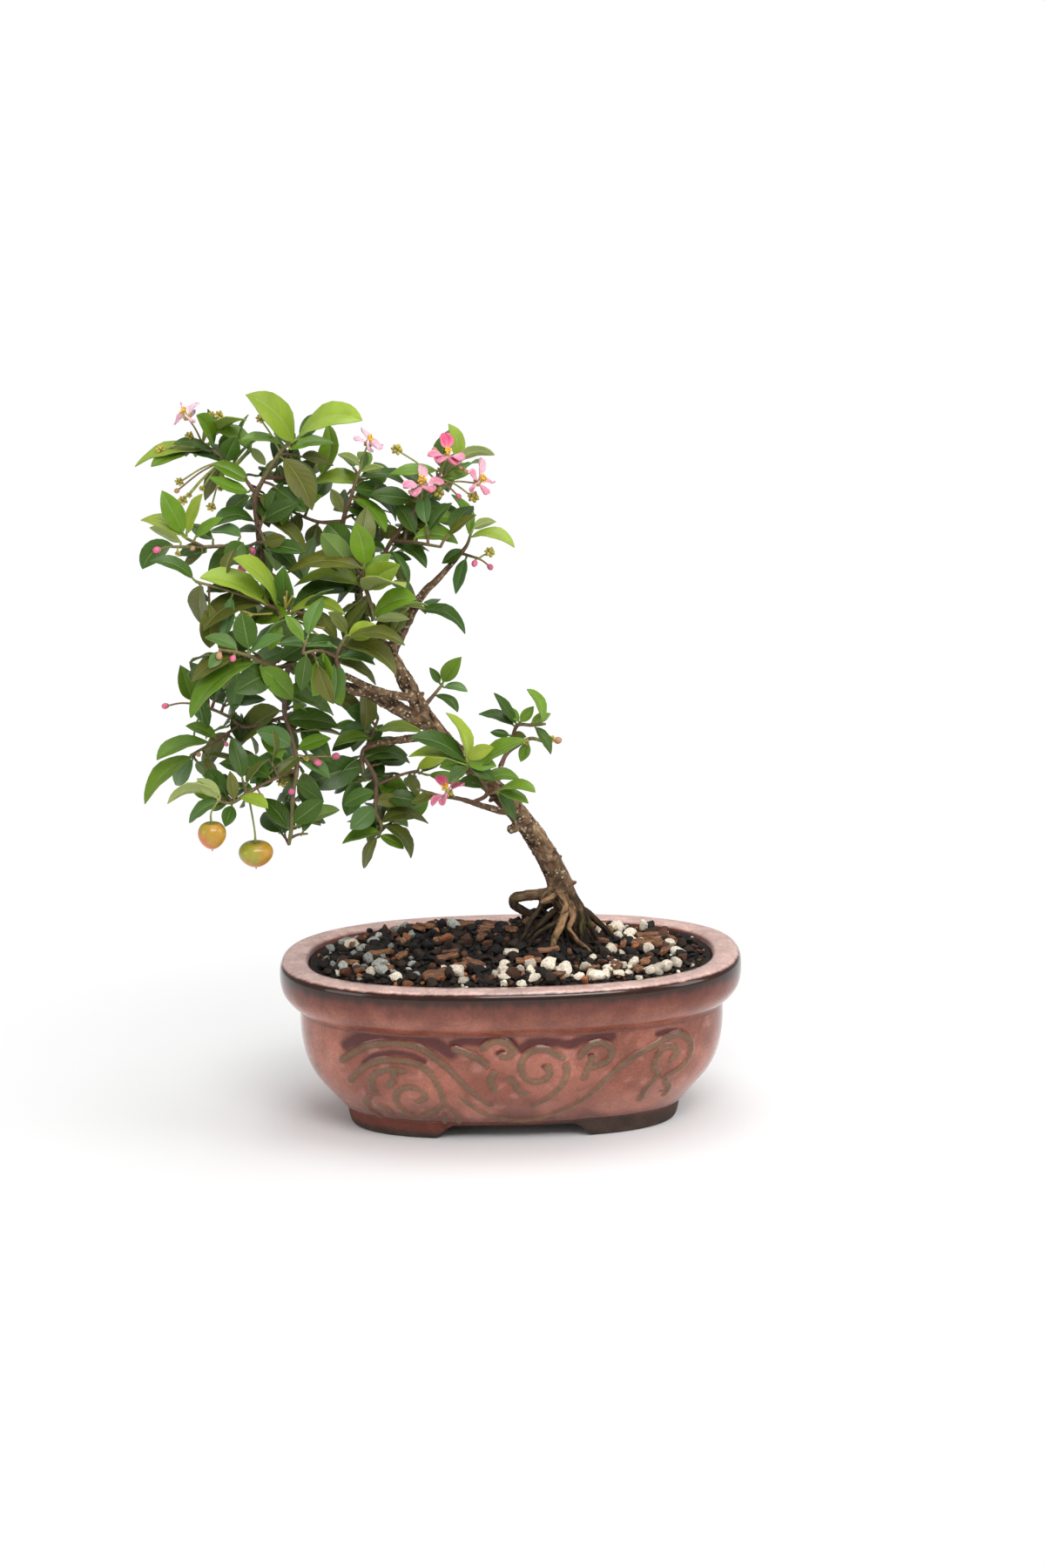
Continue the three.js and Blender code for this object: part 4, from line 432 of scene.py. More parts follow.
# The star spray's bare flower stalks, from x, z to x, z on the chart.
BARE_STALKS = [
    (-99.7, 227.8, -108.4, 227.6), (-108.4, 227.6, -113.3, 229.6), (-108.4, 227.6, -115.7, 226.3),
    (-108.4, 227.6, -113.2, 223.5), (-93.9, 230, -92.9, 237.2), (-93.9, 230, -94.1, 234.6),
    (-93.9, 230, -90.6, 235.2), (-94.8, 226.9, -86.2, 222.9), (-86.2, 222.9, -83.3, 217.5),
    (-86.2, 222.9, -79.9, 217.8), (-86.2, 222.9, -77.5, 220.8),
]

# Blooms: (spray, centre x, z, depth, stalk's foot x, z), then petal reach, turn and the face's elevation.
BLOOMS = {
    "bloom_top_left": (("crown", -132.9, 314.2, 23, -126.7, 303), 7, 0.3, 50),
    "bloom_top": (("upper", -55.3, 301, 9, -58.6, 291), 7, 0.1, 55),
    "bloom_upper_right": (("flowering", -21.5, 294.8, 2, -26, 283.6), 8.5, 0.2, 10),
    "bloom_right": (("flowering", -32.5, 282.5, 1, -33.6, 275.4), 8.5, -0.1, 15),
    "bloom_far_right": (("flowering", -8.5, 283.4, 7, -27, 281.6), 9, 0.4, -10),
    "bloom_lower_right": (("lower_right", -25, 146.4, -25, -22, 144), 8.5, 0.5, 20),
}
PETALS = 5
PETAL_HALF_WIDTH = 3.2
HEART_RADIUS = 2.4

# Fruits: (spray, centre x, z, depth, stalk's foot x, z), then diameter, height and how ripe it is.
FRUITS = {
    "fruit_left": (("hanging", -130.4, 129.2, -35, -127.5, 144.5), 12, 12.7, 0.75),
    "fruit_right": (("hanging", -111.3, 120.3, -27, -113.4, 147.6), 14.8, 12.2, 0.3),
}

# Colours, as linear light.
# Leaf tones by letter, the leaves' own greens with painted light: L for leaves in light, D and K for leaves
# in shade.
LEAF_TONES_LIT_AND_SHADED = {
    "L": (0.28, 0.38, 0.035), "G": (0.13, 0.245, 0.013), "D": (0.044, 0.1, 0.008), "K": (0.11, 0.125, 0.017),
    "T": (0.1, 0.2, 0.045), "P": (0.38, 0.45, 0.11),
}
TWIG_BROWN = np.array([0.14, 0.075, 0.042])
TWIG_GREEN = np.array([0.2, 0.24, 0.05])


# Numbers

# Radians: the turn that spreads points evenly round a spiral, and a turn for phases that only have to vary.
SPIRAL_TURN = 2.4
ANY_TURN = 6.28


def stream(seed):
    """A seeded stream of numbers between 0 and 1."""
    state = seed

    def imul(a, b):
        return (a * b) & 0xFFFFFFFF

    def draw():
        nonlocal state
        state = (state + 0x6D2B79F5) & 0xFFFFFFFF
        t = imul(state ^ (state >> 15), 1 | state)
        t = ((t + imul(t ^ (t >> 7), 61 | t)) & 0xFFFFFFFF) ^ t
        return ((t ^ (t >> 14)) & 0xFFFFFFFF) / 4294967296

    return draw


def unit(v):
    return v / np.maximum(np.linalg.norm(v, axis=-1, keepdims=True), 1e-12)


def square_to(axis, askew=(0.3, 0.9, 0.2)):
    """Two directions square to an axis and to each other."""
    side = unit(np.cross(axis, askew))
    return side, np.cross(axis, side)


def turned(turn, tilt):
    """A turn round the upright axis that follows a tilt round the x axis."""
    c, s, d, e = math.cos(turn), math.sin(turn), math.cos(tilt), math.sin(tilt)
    return np.array([[c, -s, 0], [s, c, 0], [0, 0, 1]]) @ np.array([[1, 0, 0], [0, d, -e], [0, e, d]])


def search_tree(points):
    tree = mathutils.kdtree.KDTree(len(points))
    for i, point in enumerate(points):
        tree.insert(point, i)
    tree.balance()
    return tree


def smoothstep(low, high, value):
    t = np.clip((value - low) / (high - low), 0, 1)
    return t * t * (3 - 2 * t)


def hashed(i, j, k):
    """A fixed number between -1 and 1 for every lattice point."""
    n = (i * 73856093) ^ (j * 19349663) ^ (k * 83492791)
    n = (n ^ (n >> 13)) * 1274126177 & 0x7FFFFFFF
    n = (n ^ (n >> 16)) * 1103515245 & 0x7FFFFFFF
    return n / 0x3FFFFFFF - 1


def noise(points, scale=1.0, octaves=1):
    """Smooth noise between about -1 and 1 at points (n, 3), with features of the given size."""
    total, weight, size = 0.0, 1.0, scale
    for _ in range(octaves):
        p = np.asarray(points, float) / size
        low = np.floor(p).astype(np.int64)
        f = p - low
        f = f * f * (3 - 2 * f)
        value = 0.0
        for dx in (0, 1):
            for dy in (0, 1):
                for dz in (0, 1):
                    share = (f[:, 0] if dx else 1 - f[:, 0]) * (f[:, 1] if dy else 1 - f[:, 1])
                    share = share * (f[:, 2] if dz else 1 - f[:, 2])
                    value = value + share * hashed(low[:, 0] + dx, low[:, 1] + dy, low[:, 2] + dz)
        total = total + weight * value
        weight, size = weight / 2, size / 2.03
    return total


def blend(a, b, share):
    """Colours a and b mixed row by row."""
    share = np.asarray(share)[..., None]
    return np.asarray(a) * (1 - share) + np.asarray(b) * share


# Shells

# A direction that no limb runs along.
LIMB_ASKEW = (0.31, 0.22, 0.92)


def grid_faces(rows, columns, closed=False):
    """Quads over a grid of points, row by row, wrapping round each row where closed."""
    r, c = np.meshgrid(np.arange(rows - 1), np.arange(columns if closed else columns - 1), indexing="ij")
    d = (c + 1) % columns
    quads = [r * columns + c, r * columns + d, (r + 1) * columns + d, (r + 1) * columns + c]
    return np.stack(quads, -1).reshape(-1, 4)


def thick_sheet(over, under):
    """A closed shell between two grids of points (rows, columns, 3) that face away from each other."""
    rows, columns = over.shape[:2]
    count = rows * columns
    faces = grid_faces(rows, columns)
    rim = list(range(columns)) + [r * columns + columns - 1 for r in range(1, rows)]
    rim += [(rows - 1) * columns + c for c in range(columns - 2, -1, -1)]
    rim += [r * columns for r in range(rows - 2, 0, -1)]
    a = np.array(rim)
    b = np.roll(a, -1)
    edge = np.stack([a, a + count, b + count, b], -1)
    points = np.concatenate([over.reshape(-1, 3), under.reshape(-1, 3)])
    return points, [faces, faces[:, ::-1] + count, edge]


def smooth_path(stations, step):
    """Stations [x, y, z, radius] on a centripetal curve through the given ones, about a step apart."""
    given = np.asarray(stations, float)
    p = np.vstack([2 * given[0] - given[1], given, 2 * given[-1] - given[-2]])
    made = []
    for i in range(1, len(p) - 2):
        a, b, c, d = p[i - 1 : i + 3]
        gaps = [max(np.linalg.norm((q - r)[:3]), 1e-3) ** 0.5 for q, r in ((b, a), (c, b), (d, c))]
        k0, k1, k2, k3 = np.cumsum([0] + gaps)
        count = max(2, math.ceil(np.linalg.norm((c - b)[:3]) / step))
        t = (k1 + (k2 - k1) * np.arange(count) / count)[:, None]
        ab = ((k1 - t) * a + (t - k0) * b) / (k1 - k0)
        bc = ((k2 - t) * b + (t - k1) * c) / (k2 - k1)
        cd = ((k3 - t) * c + (t - k2) * d) / (k3 - k2)
        abc = ((k2 - t) * ab + (t - k0) * bc) / (k2 - k0)
        bcd = ((k3 - t) * bc + (t - k1) * cd) / (k3 - k1)
        made.append(((k2 - t) * abc + (t - k1) * bcd) / (k2 - k1))
    made.append(given[-1:])
    return np.vstack(made)


def capped(rings, ends, rows, sides):
    """Rings of points closed by a fan round each of two end points, and their faces."""
    count = rows * sides
    j = np.arange(sides)
    k = (j + 1) % sides
    low = np.stack([np.full(sides, count), k, j], -1)
    high = np.stack([np.full(sides, count + 1), count - sides + j, count - sides + k], -1)
    return np.vstack([rings, ends]), [grid_faces(rows, sides, closed=True), low, high]


def tube(path, sides):
    """A closed tube through stations [x, y, z, radius], with a low cone on each end."""
    centres, radii = path[:, :3], path[:, 3]
    along = unit(np.gradient(centres, axis=0))
    across = np.empty_like(along)
    side = np.cross(along[0], LIMB_ASKEW)
    for i, direction in enumerate(along):
        side = unit(side - direction * side.dot(direction))
        across[i] = side
    other = np.cross(along, across)
    angle = 2 * math.pi * np.arange(sides) / sides
    ring = np.cos(angle)[None, :, None] * across[:, None] + np.sin(angle)[None, :, None] * other[:, None]
    rings = (centres[:, None] + radii[:, None, None] * ring).reshape(-1, 3)
    ends = [centres[0] - along[0] * radii[0] * 0.5, centres[-1] + along[-1] * radii[-1] * 0.5]
    return capped(rings, ends, len(path), sides)


def ball(rings, sides):
    """The points of a unit ball, pole to pole along +Z, and its faces."""
    polar = math.pi * np.arange(1, rings) / rings
    angle = 2 * math.pi * np.arange(sides) / sides
    ring = np.stack([
        np.sin(polar)[:, None] * np.cos(angle), np.sin(polar)[:, None] * np.sin(angle),
        np.repeat(-np.cos(polar)[:, None], sides, 1),
    ], -1).reshape(-1, 3)
    return capped(ring, [[0, 0, -1], [0, 0, 1]], rings - 1, sides)


class Shells:
    """Closed shells gathered for one piece. Each point has a colour and a place on its own surface."""

    def __init__(self):
        self.points, self.tints, self.places, self.faces, self.slots = [], [], [], [], []
        self.count = 0

    def add(self, points, faces, tint, place=(0, 0, 0), slot=0):
        number = len(points)
        self.points.append(np.asarray(points, float))
        self.tints.append(np.broadcast_to(np.asarray(tint, float), (number, 3)))
        self.places.append(np.broadcast_to(np.asarray(place, float), (number, 3)))
        for block in faces:
            self.faces.extend((np.asarray(block) + self.count).tolist())
            self.slots.extend([slot] * len(block))
        self.count += number

    def piece(self, name, materials, record_slot, replaced=(), sharp=40):
        mesh = bpy.data.meshes.new(name)
        mesh.from_pydata(((np.concatenate(self.points) + ORIGIN) * METRES).tolist(), [], self.faces)
        for material in materials:
            mesh.materials.append(material)
        mesh.polygons.foreach_set("material_index", self.slots)
        dress(mesh, np.concatenate(self.tints), np.concatenate(self.places), sharp)
        return placed(name, mesh, replaced)


def dress(mesh, tints, places, sharp=None):
    """Gives a mesh its colours and places, and smooth shading."""
    tint = mesh.attributes.new("tint", "FLOAT_COLOR", "POINT")
    tint.data.foreach_set("color", np.hstack([tints, np.ones((len(tints), 1))]).ravel())
    place = mesh.attributes.new("place", "FLOAT_VECTOR", "POINT")
    place.data.foreach_set("vector", np.asarray(places, float).ravel())
    mesh.polygons.foreach_set("use_smooth", [True] * len(mesh.polygons))
    if sharp is not None:
        mesh.set_sharp_from_angle(angle=math.radians(sharp))
    mesh.update()


def surface(mesh):
    """A mesh's points in millimetres, and its normals."""
    flat = np.zeros(len(mesh.vertices) * 3)
    mesh.vertices.foreach_get("co", flat)
    points = flat.reshape(-1, 3) / METRES - ORIGIN
    mesh.vertices.foreach_get("normal", flat)
    return points, flat.reshape(-1, 3).copy()


def move_points(mesh, points):
    mesh.vertices.foreach_set("co", ((points + ORIGIN) * METRES).ravel())


def applied(item):
    """A new mesh: the item's own with its modifiers applied."""
    graph = bpy.context.evaluated_depsgraph_get()
    return bpy.data.meshes.new_from_object(item.evaluated_get(graph))


def linked(name, data):
    """A new object in the scene."""
    item = bpy.data.objects.new(name, data)
    bpy.context.scene.collection.objects.link(item)
    return item


def placed(name, mesh, replaced=()):
    """A piece of the part, attached to the root, in place of the named nodes."""
    piece = linked(name, mesh)
    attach(piece, "root")
    if replaced:
        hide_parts(*replaced)
    return piece


# Tree


def seen(x, z, depth):
    """A place on the chart, moved along the line of sight to its depth."""
    chart = np.array([x, 0, z]) * CHART_SCALE + CHART_SHIFT
    return EYE + (chart - EYE) * (1 - depth / EYE[1])


def in_space(stations):
    return np.array([[*seen(x, z, depth), radius] for x, z, depth, radius in stations])


def foot_of(twigs, x, z):
    """The nearest place on the spray's twigs on the chart, as x, z and depth."""
    best = None
    for stations in twigs:
        for (ax, az, ad, _), (bx, bz, bd, _) in zip(stations, stations[1:]):
            span = (bx - ax) ** 2 + (bz - az) ** 2
            t = min(1, max(0, ((x - ax) * (bx - ax) + (z - az) * (bz - az)) / span))
            fx, fz = ax + t * (bx - ax), az + t * (bz - az)
            away = math.hypot(x - fx, z - fz)
            if best is None or away < best[0]:
                best = (away, fx, fz, ad + t * (bd - ad))
    return best[1:]


def facings(to_eye, along, shown_share):
    """The two ways a blade can face to show this share of its width to the eye."""
    flat = unit(np.cross(to_eye, along))
    facing = unit(np.cross(along, flat))
    roll = math.acos(min(1, shown_share))
    return [facing * math.cos(roll) + flat * sign * math.sin(roll) for sign in (1, -1)]


def leaf_shape(leaf, foot, tilt):
    """A leaf's shape in space, from what the chart shows of it and its axis's tilt away from the chart."""
    x0, z0, x1, z1, width, bow, look = leaf
    shown = math.hypot(x1 - x0, z1 - z0)
    base = seen(x0, z0, foot[2])
    tip = seen(x1, z1, foot[2] + shown * math.tan(math.radians(tilt)))
    length = np.linalg.norm(tip - base)
    full_width = min(max(width, length * LEAF_SLENDEREST), length * LEAF_BROADEST)
    ways = facings(unit(EYE - base), unit(tip - base), width / full_width)
    lower, upper = sorted(ways, key=lambda way: way[2])
    bulge = unit(np.array([-(z1 - z0), 0, x1 - x0]))
    if bulge[2] + 0.3 * bulge[0] < 0:
        bulge = -bulge
    return {
        "base": base, "tip": tip, "bend": (base + tip) / 2 + bulge * 2 * bow * length,
        "normal": upper if look[0] == "o" else -lower, "width": full_width, "length": length,
    }


def leaf_stations(shape, t):
    """Places on the midline at the shares t, with the sideways and upward directions there."""
    t = np.asarray(t, float)[:, None]
    base, bend, tip = shape["base"], shape["bend"], shape["tip"]
    centre = base * (1 - t) ** 2 + bend * 2 * t * (1 - t) + tip * t * t
    along = unit((bend - base) * (1 - t) + (tip - bend) * t)
    across = unit(np.cross(along, shape["normal"]))
    return centre, along, across, unit(np.cross(across, along))


def leaf_samples(shape):
    """Points spread over a blade, row by row, and which of them are well away from its foot."""
    t = np.arange(9) / 8
    centre, _, across, _ = leaf_stations(shape, t)
    half = shape["width"] / 2 * np.sin(math.pi * np.minimum(0.96, t + 0.04)) ** 0.8
    places = centre[:, None] + across[:, None] * (half[:, None] * np.array([-1, -0.5, 0, 0.5, 1]))[..., None]
    return places.reshape(-1, 3), np.repeat(t > 0.3, 5)


class Filled:
    """What the wood, the sprays, the blooms and the fruits already fill, as points with a reach."""

    def __init__(self):
        self.places = np.zeros((0, 3))
        self.reach = np.zeros(0)
        self.owner = np.zeros(0, int)
        self.is_blade = np.zeros(0, bool)
        self.outer = np.zeros(0, bool)
        self.owners = {}

    def add(self, owner, places, radius=None, outer=False):
        """Fills limbs of the given radius, or a blade where no radius is given."""
        number = len(places)
        self.places = np.vstack([self.places, places])
        self.reach = np.append(self.reach, np.broadcast_to(0 if radius is None else radius, number))
        self.owner = np.append(self.owner, np.full(number, self.owners.setdefault(owner, len(self.owners))))
        self.is_blade = np.append(self.is_blade, np.full(number, radius is None))
        self.outer = np.append(self.outer, np.broadcast_to(outer, number))

    def room(self, samples, outer, owner):
        """The least room between a leaf's samples and what is filled in its neighbourhood."""
        close = np.linalg.norm(self.places - samples.mean(0), axis=1) < NEIGHBOURHOOD
        own = self.owner == self.owners[owner]
        close &= ~own | self.outer
        places, own, blade = self.places[close], own[close], self.is_blade[close]
        from_blade = np.where(own, CLEAR_OF_OWN, CLEAR_OF_BLADES)
        reach = np.where(blade, from_blade, CLEAR_OF_LIMBS + self.reach[close])
        room = np.linalg.norm(samples[:, None] - places[None], axis=2) - reach
        room[np.ix_(~outer, own)] = np.inf
        return room.min() if room.size else np.inf


def limb_samples(stations):
    places, radii = [], []
    for a, b in zip(stations, stations[1:]):
        for k in range(6):
            x, z, depth, radius = (p + k / 6 * (q - p) for p, q in zip(a, b))
            places.append(seen(x, z, depth))
            radii.append(radius)
    return np.array(places), np.array(radii)


def stalk_samples(start, end):
    return np.array([start + (end - start) * t for t in (0.4, 0.5, 0.6, 0.7, 0.8, 0.9)])


def hung(spray, x, z, depth, foot_x, foot_z):
    """The centre of a bloom or fruit, and the place on the spray's twigs where its stalk begins."""
    return seen(x, z, depth), seen(*foot_of(SPRAYS[spray]["twigs"], foot_x, foot_z))


def fill_bloom(filled, name, bloom):
    place, reach, first_turn, elevation = bloom
    centre, start = hung(*place)
    filled.add(name, centre[None], HEART_RADIUS)
    filled.add(name, stalk_samples(start, centre), PETIOLE_RADIUS)
    lean = math.radians(elevation)
    right, up = np.array([1.0, 0, 0]), np.array([0, math.sin(lean), math.cos(lean)])
    for i in range(PETALS):
        angle = first_turn + i / PETALS * 2 * math.pi
        out = right * math.sin(angle) + up * math.cos(angle)
        for share in (0.45, 0.8):
            filled.add(name, (centre + out * share * reach)[None], PETAL_HALF_WIDTH * share)


def fill_fruit(filled, name, fruit):
    place, diameter, _, _ = fruit
    centre, start = hung(*place)
    filled.add(name, centre[None], diameter / 2)
    filled.add(name, stalk_samples(start, centre), PETIOLE_RADIUS)


def filled_without_leaves():
    filled = Filled()
    for stations in WOOD + ROOTS:
        filled.add("wood", *limb_samples(stations))
    for spray, parts in SPRAYS.items():
        for twig in parts["twigs"]:
            filled.add(spray, *limb_samples(twig))
    for name, bloom in BLOOMS.items():
        fill_bloom(filled, name, bloom)
    for name, fruit in FRUITS.items():
        fill_fruit(filled, name, fruit)
    return filled


def lay_leaf(leaf, foot, spray, filled, draw):
    """A leaf's shape at its drawn tilt, or turned to the first tilt with room for it, or to the roomiest."""
    x0, z0, x1, z1, width = leaf[:5]
    shown = math.hypot(x1 - x0, z1 - z0)
    most = math.degrees(math.acos(min(1, shown / LONGEST_LEAF)))
    limit = max(TILT_LIMITS[0], min(TILT_LIMITS[1], most))
    lean = math.degrees(math.acos(min(1, shown * LEAF_LEVEL / width)))
    if lean > LEAST_LEAN:
        tilt = -lean if draw < TOWARDS_VIEWER else lean
    else:
        tilt = (draw - 0.55) * LEVEL_SPREAD
    best = None
    for turn in TILT_TRIES:
        shape = leaf_shape(leaf, foot, min(limit, max(-limit, tilt + turn)))
        samples, outer = leaf_samples(shape)
        room = filled.room(samples, outer, spray)
        if best is None or room > best[0]:
            best = (room, shape, samples, outer)
        if room > 0:
            break
    _, shape, samples, outer = best
    filled.add(spray, samples, outer=outer)
    return shape


def lay_leaves():
    """Every charted leaf as its tone, shape and foot, by spray, and what is filled then."""
    random = stream(7)
    filled = filled_without_leaves()
    laid = {}
    for spray, parts in SPRAYS.items():
        laid[spray] = []
        for leaf in parts["leaves"]:
            foot = foot_of(parts["twigs"], leaf[0], leaf[1])
            shape = lay_leaf(leaf, foot, spray, filled, random())
            laid[spray].append((leaf[6][1], shape, seen(*foot)))
    return laid, filled


# Shade leaves: short side shoots behind the charted leaves fill the crown, and stay inside its outline.
SHOOT_PITCH = 8
SHOOT_TRIES = 7
SHADE_REACH = 3.8
SHADE_OVERLAP = 0.5
# Mostly the dark tones: painted shade for the leaves deep in the crown.
SHADE_TONES = "DDDDDKKKTTGG"
# Two of a leaf's samples on its midline: its middle, and half way from there to its tip.
MIDLINE_SAMPLES = [22, 32]
OPEN_SPRAYS = ("right", "trunk_twig", "right_tip", "lower_right", "far_left")


def chart_of(points):
    """Where points in space are seen on the chart, as x and z."""
    share = (EYE[1] - points[:, 1]) / EYE[1]
    return ((EYE + (points - EYE) / share[:, None] - CHART_SHIFT) / CHART_SCALE)[:, [0, 2]]


def draw_direction(random):
    height = 2 * random() - 1
    turn = 2 * math.pi * random()
    ring = math.sqrt(1 - height * height)
    return np.array([ring * math.cos(turn), ring * math.sin(turn), height])


def shade_shape(base, along, random):
    """A level leaf that droops a little towards its tip."""
    length = 13 + 9 * random()
    along = unit(along + np.array([0, 0, -0.15]))
    lean = 0.9 * draw_direction(random) + np.array([0, -0.7, 1.1])
    normal = unit(lean - along * lean.dot(along))
    return {
        "base": base, "tip": base + along * length, "normal": normal, "length": length,
        "bend": base + along * length / 2 + normal * 0.12 * length, "width": length * (0.38 + 0.1 * random()),
    }


def add_shade(laid, filled):
    """Adds leaves to laid, and returns the shoots that carry them, as stations in space."""
    outline = search_tree([(x, 0, z) for x, z in chart_of(filled.places[filled.is_blade])])

    def inside(points):
        return all(outline.find((x, 0, z))[2] < SHADE_REACH for x, z in chart_of(points))

    random = stream(23)
    shoots = {spray: [] for spray in SPRAYS}
    for spray, parts in SPRAYS.items():
        if spray in OPEN_SPRAYS:
            continue
        for twig in parts["twigs"]:
            path = smooth_path(in_space(twig), SHOOT_PITCH)
            for foot, along in zip(path[1:], unit(np.gradient(path[:, :3], axis=0))[1:]):
                grown = grow_shoot(foot[:3], along, spray, filled, inside, random)
                if grown:
                    shoots[spray].append(grown[0])
                    laid[spray].extend(grown[1])
    return shoots


def grow_shoot(foot, along, spray, filled, inside, random):
    """A shoot with up to three leaves, all behind the twig it grows from."""
    for _ in range(SHOOT_TRIES):
        drawn = draw_direction(random)
        drawn[1] = abs(drawn[1])
        out = unit(drawn - 0.6 * along * drawn.dot(along) + np.array([0, 0.25, 0]))
        end = foot + out * (4 + 6 * random())
        leaves = []
        for start, turn in ((end, 0.0), (foot + (end - foot) * 0.6, 1.0), (foot + (end - foot) * 0.6, -1.0)):
            side = unit(np.cross(out, draw_direction(random)))
            shape = shade_shape(start + unit(out + side * turn) * 2, unit(out + side * turn * 1.2), random)
            samples, outer = leaf_samples(shape)
            if not inside(np.vstack([shape["tip"], samples[MIDLINE_SAMPLES]])):
                continue
            if filled.room(samples, outer, spray) < -SHADE_OVERLAP:
                continue
            filled.add(spray, samples, outer=outer)
            leaves.append((SHADE_TONES[int(random() * len(SHADE_TONES))], shape, start))
        if leaves:
            return [[*foot, 0.7], [*((foot + end) / 2 + np.array([0, 0, 0.6])), 0.6], [*end, 0.45]], leaves
    return None


# Shares of a blade's length and half width where its points lie.
LEAF_ROWS = 0.5 - 0.5 * np.cos(np.linspace(0.02, 1, 13) * math.pi)
LEAF_COLUMNS = np.array([-1, -0.72, -0.42, -0.13, 0, 0.13, 0.42, 0.72, 1])
LEAF_THICKNESS = 0.4
PETIOLE_SIDES = 7


def leaf_blade(shape, random):
    """The upper and lower side of a folded, slightly waved blade with a raised midrib underneath."""
    t, s = LEAF_ROWS, LEAF_COLUMNS
    centre, _, across, up = leaf_stations(shape, t)
    low, high = 0.74 + 0.14 * random(), 0.84 + 0.2 * random()
    peak = low / (low + high)
    outline = (t / peak) ** low * ((1 - t) / (1 - peak)) ** high
    half = np.maximum(shape["width"] * 0.53 * outline, 0.12)
    fold, arch = 0.22 + 0.2 * random(), 0.06 + 0.1 * random()
    lift = (fold * np.abs(s) - arch * s * s)[None] * half[:, None]
    phase, waves = random() * ANY_TURN, 1.6 + random()
    ripple = np.sin(waves * ANY_TURN * t[:, None] + phase + 1.3 * np.sign(s)[None]) * np.abs(s)[None] ** 2
    lift = lift + 0.05 * half[:, None] * ripple
    curl = (0.02 + 0.05 * random()) * shape["length"]
    middle = centre[:, None] + across[:, None] * (half[:, None] * s)[..., None]
    middle = middle + up[:, None] * (lift - curl * (t[:, None] - 0.3) ** 2)[..., None]
    thick = LEAF_THICKNESS / 2 * np.ones_like(lift)
    rib = (np.abs(s) < 0.05)[None] * np.minimum(1, half / 1.5)[:, None]
    over = middle + up[:, None] * (thick - 0.1 * rib)[..., None]
    under = middle - up[:, None] * (thick + 0.28 * rib * (1.1 - t[:, None]))[..., None]
    return over, under


def add_petiole(shells, shape, start, tint):
    """The stalk from a twig into the blade's foot."""
    (base, next_place), _, _, up = leaf_stations(shape, LEAF_ROWS[:2])
    reach = np.linalg.norm(base - start)
    if reach <= 0.3:
        return
    inner = base + unit(next_place - base) * 0.8
    middle = base + (start - base) * 0.3 - up[0] * 0.06 * reach
    path = smooth_path([[*start, 0.62], [*middle, 0.5], [*base, 0.46], [*inner, 0.3]], 1.2)
    shells.add(*tube(path, PETIOLE_SIDES), tint, (0, 0, 1), 1)


def add_leaf(shells, tone, shape, start, random):
    """A blade, whose points know their place along and across it and their side, and its petiole."""
    points, faces = thick_sheet(*leaf_blade(shape, random))
    tint = np.array(LEAF_TONES_LIT_AND_SHADED[tone]) * (0.86 + 0.28 * random())
    tint = tint * np.array([0.93 + 0.14 * random(), 1, 0.8 + 0.4 * random()])
    grid = np.stack(np.broadcast_arrays(LEAF_ROWS[:, None], LEAF_COLUMNS[None]), -1).reshape(-1, 2)
    place = np.vstack([np.column_stack([grid, np.full(len(grid), side)]) for side in (1.0, 0.0)])
    shells.add(points, faces, tint, place)
    add_petiole(shells, shape, start, blend(tint, TWIG_GREEN, 0.5))


TWIG_SIDES = 10
TIP_GREEN = 0.45


def add_twig(shells, stations, random):
    """A rough young stem, browner at its foot."""
    path = smooth_path(stations, 1.1)
    path[:, 3] *= 1 + 0.12 * noise(path[:, :3], 2.2)
    share = np.linspace(0, 1, len(path))
    points, faces = tube(path, TWIG_SIDES)
    tint = blend(TWIG_BROWN, TWIG_GREEN, TIP_GREEN * smoothstep(0.35, 1, share))
    tint = np.vstack([np.repeat(tint, TWIG_SIDES, axis=0), tint[:1], tint[-1:]])
    tint = tint * (1 + 0.25 * noise(points, 0.9))[:, None]
    shells.add(points, faces, tint, (random(), 0, 0))


def add_stalk(shells, start, end, radius, tint, slot=0, sag=0.0):
    """A thin stalk with a soft bow upwards."""
    middle = (start + end) / 2 + np.array([0, 0, sag * np.linalg.norm(end - start)])
    path = smooth_path([[*start, radius * 1.15], [*middle, radius], [*end, radius]], 1.2)
    shells.add(*tube(path, PETIOLE_SIDES), tint, (0, 0, 0), slot)


FINE_BALL = (8, 12)
SMALL_BALL = (6, 8)


def add_ball(shells, centre, radii, axis, tint, slot=0, detail=FINE_BALL, grain=0.0):
    """A ball stretched by radii (across, along) whose axis points along axis."""
    place, faces = ball(*detail)
    axis = unit(np.asarray(axis, float))
    side, other = square_to(axis)
    points = place * np.array([radii[0], radii[0], radii[1]])
    points = points[:, :1] * side + points[:, 1:2] * other + points[:, 2:] * axis + centre
    if grain:
        points = points + unit(points - centre) * (grain * noise(points, radii[0] * 0.8))[:, None]
    shells.add(points, faces, tint, place, slot)


BUD_PINK = np.array([0.62, 0.13, 0.24])
BUD_GREEN = np.array([0.42, 0.41, 0.075])
BUD_OCHRE = np.array([0.5, 0.35, 0.065])
BUD_RED = np.array([0.5, 0.26, 0.14])
STALK_RED = np.array([0.26, 0.14, 0.06])
STALK_GREEN = np.array([0.3, 0.33, 0.08])
BARE_TINT = np.array([0.42, 0.34, 0.07])
STALK_RADIUS = 0.42
KNOTS = 12


def add_glands(shells, centre, axis, ring, number, slot, random):
    """The calyx: a ring of plump oil glands round a flower's foot."""
    side, other = square_to(axis)
    for i in range(number):
        angle = (i + 0.3 * random()) / number * 2 * math.pi
        out = side * math.cos(angle) + other * math.sin(angle)
        tint = blend(BUD_GREEN, BUD_OCHRE, random())
        radii = (ring * 0.36, ring * 0.6)
        add_ball(shells, centre + out * ring, radii, unit(axis + out * 0.5), tint, slot, SMALL_BALL, 0.08)


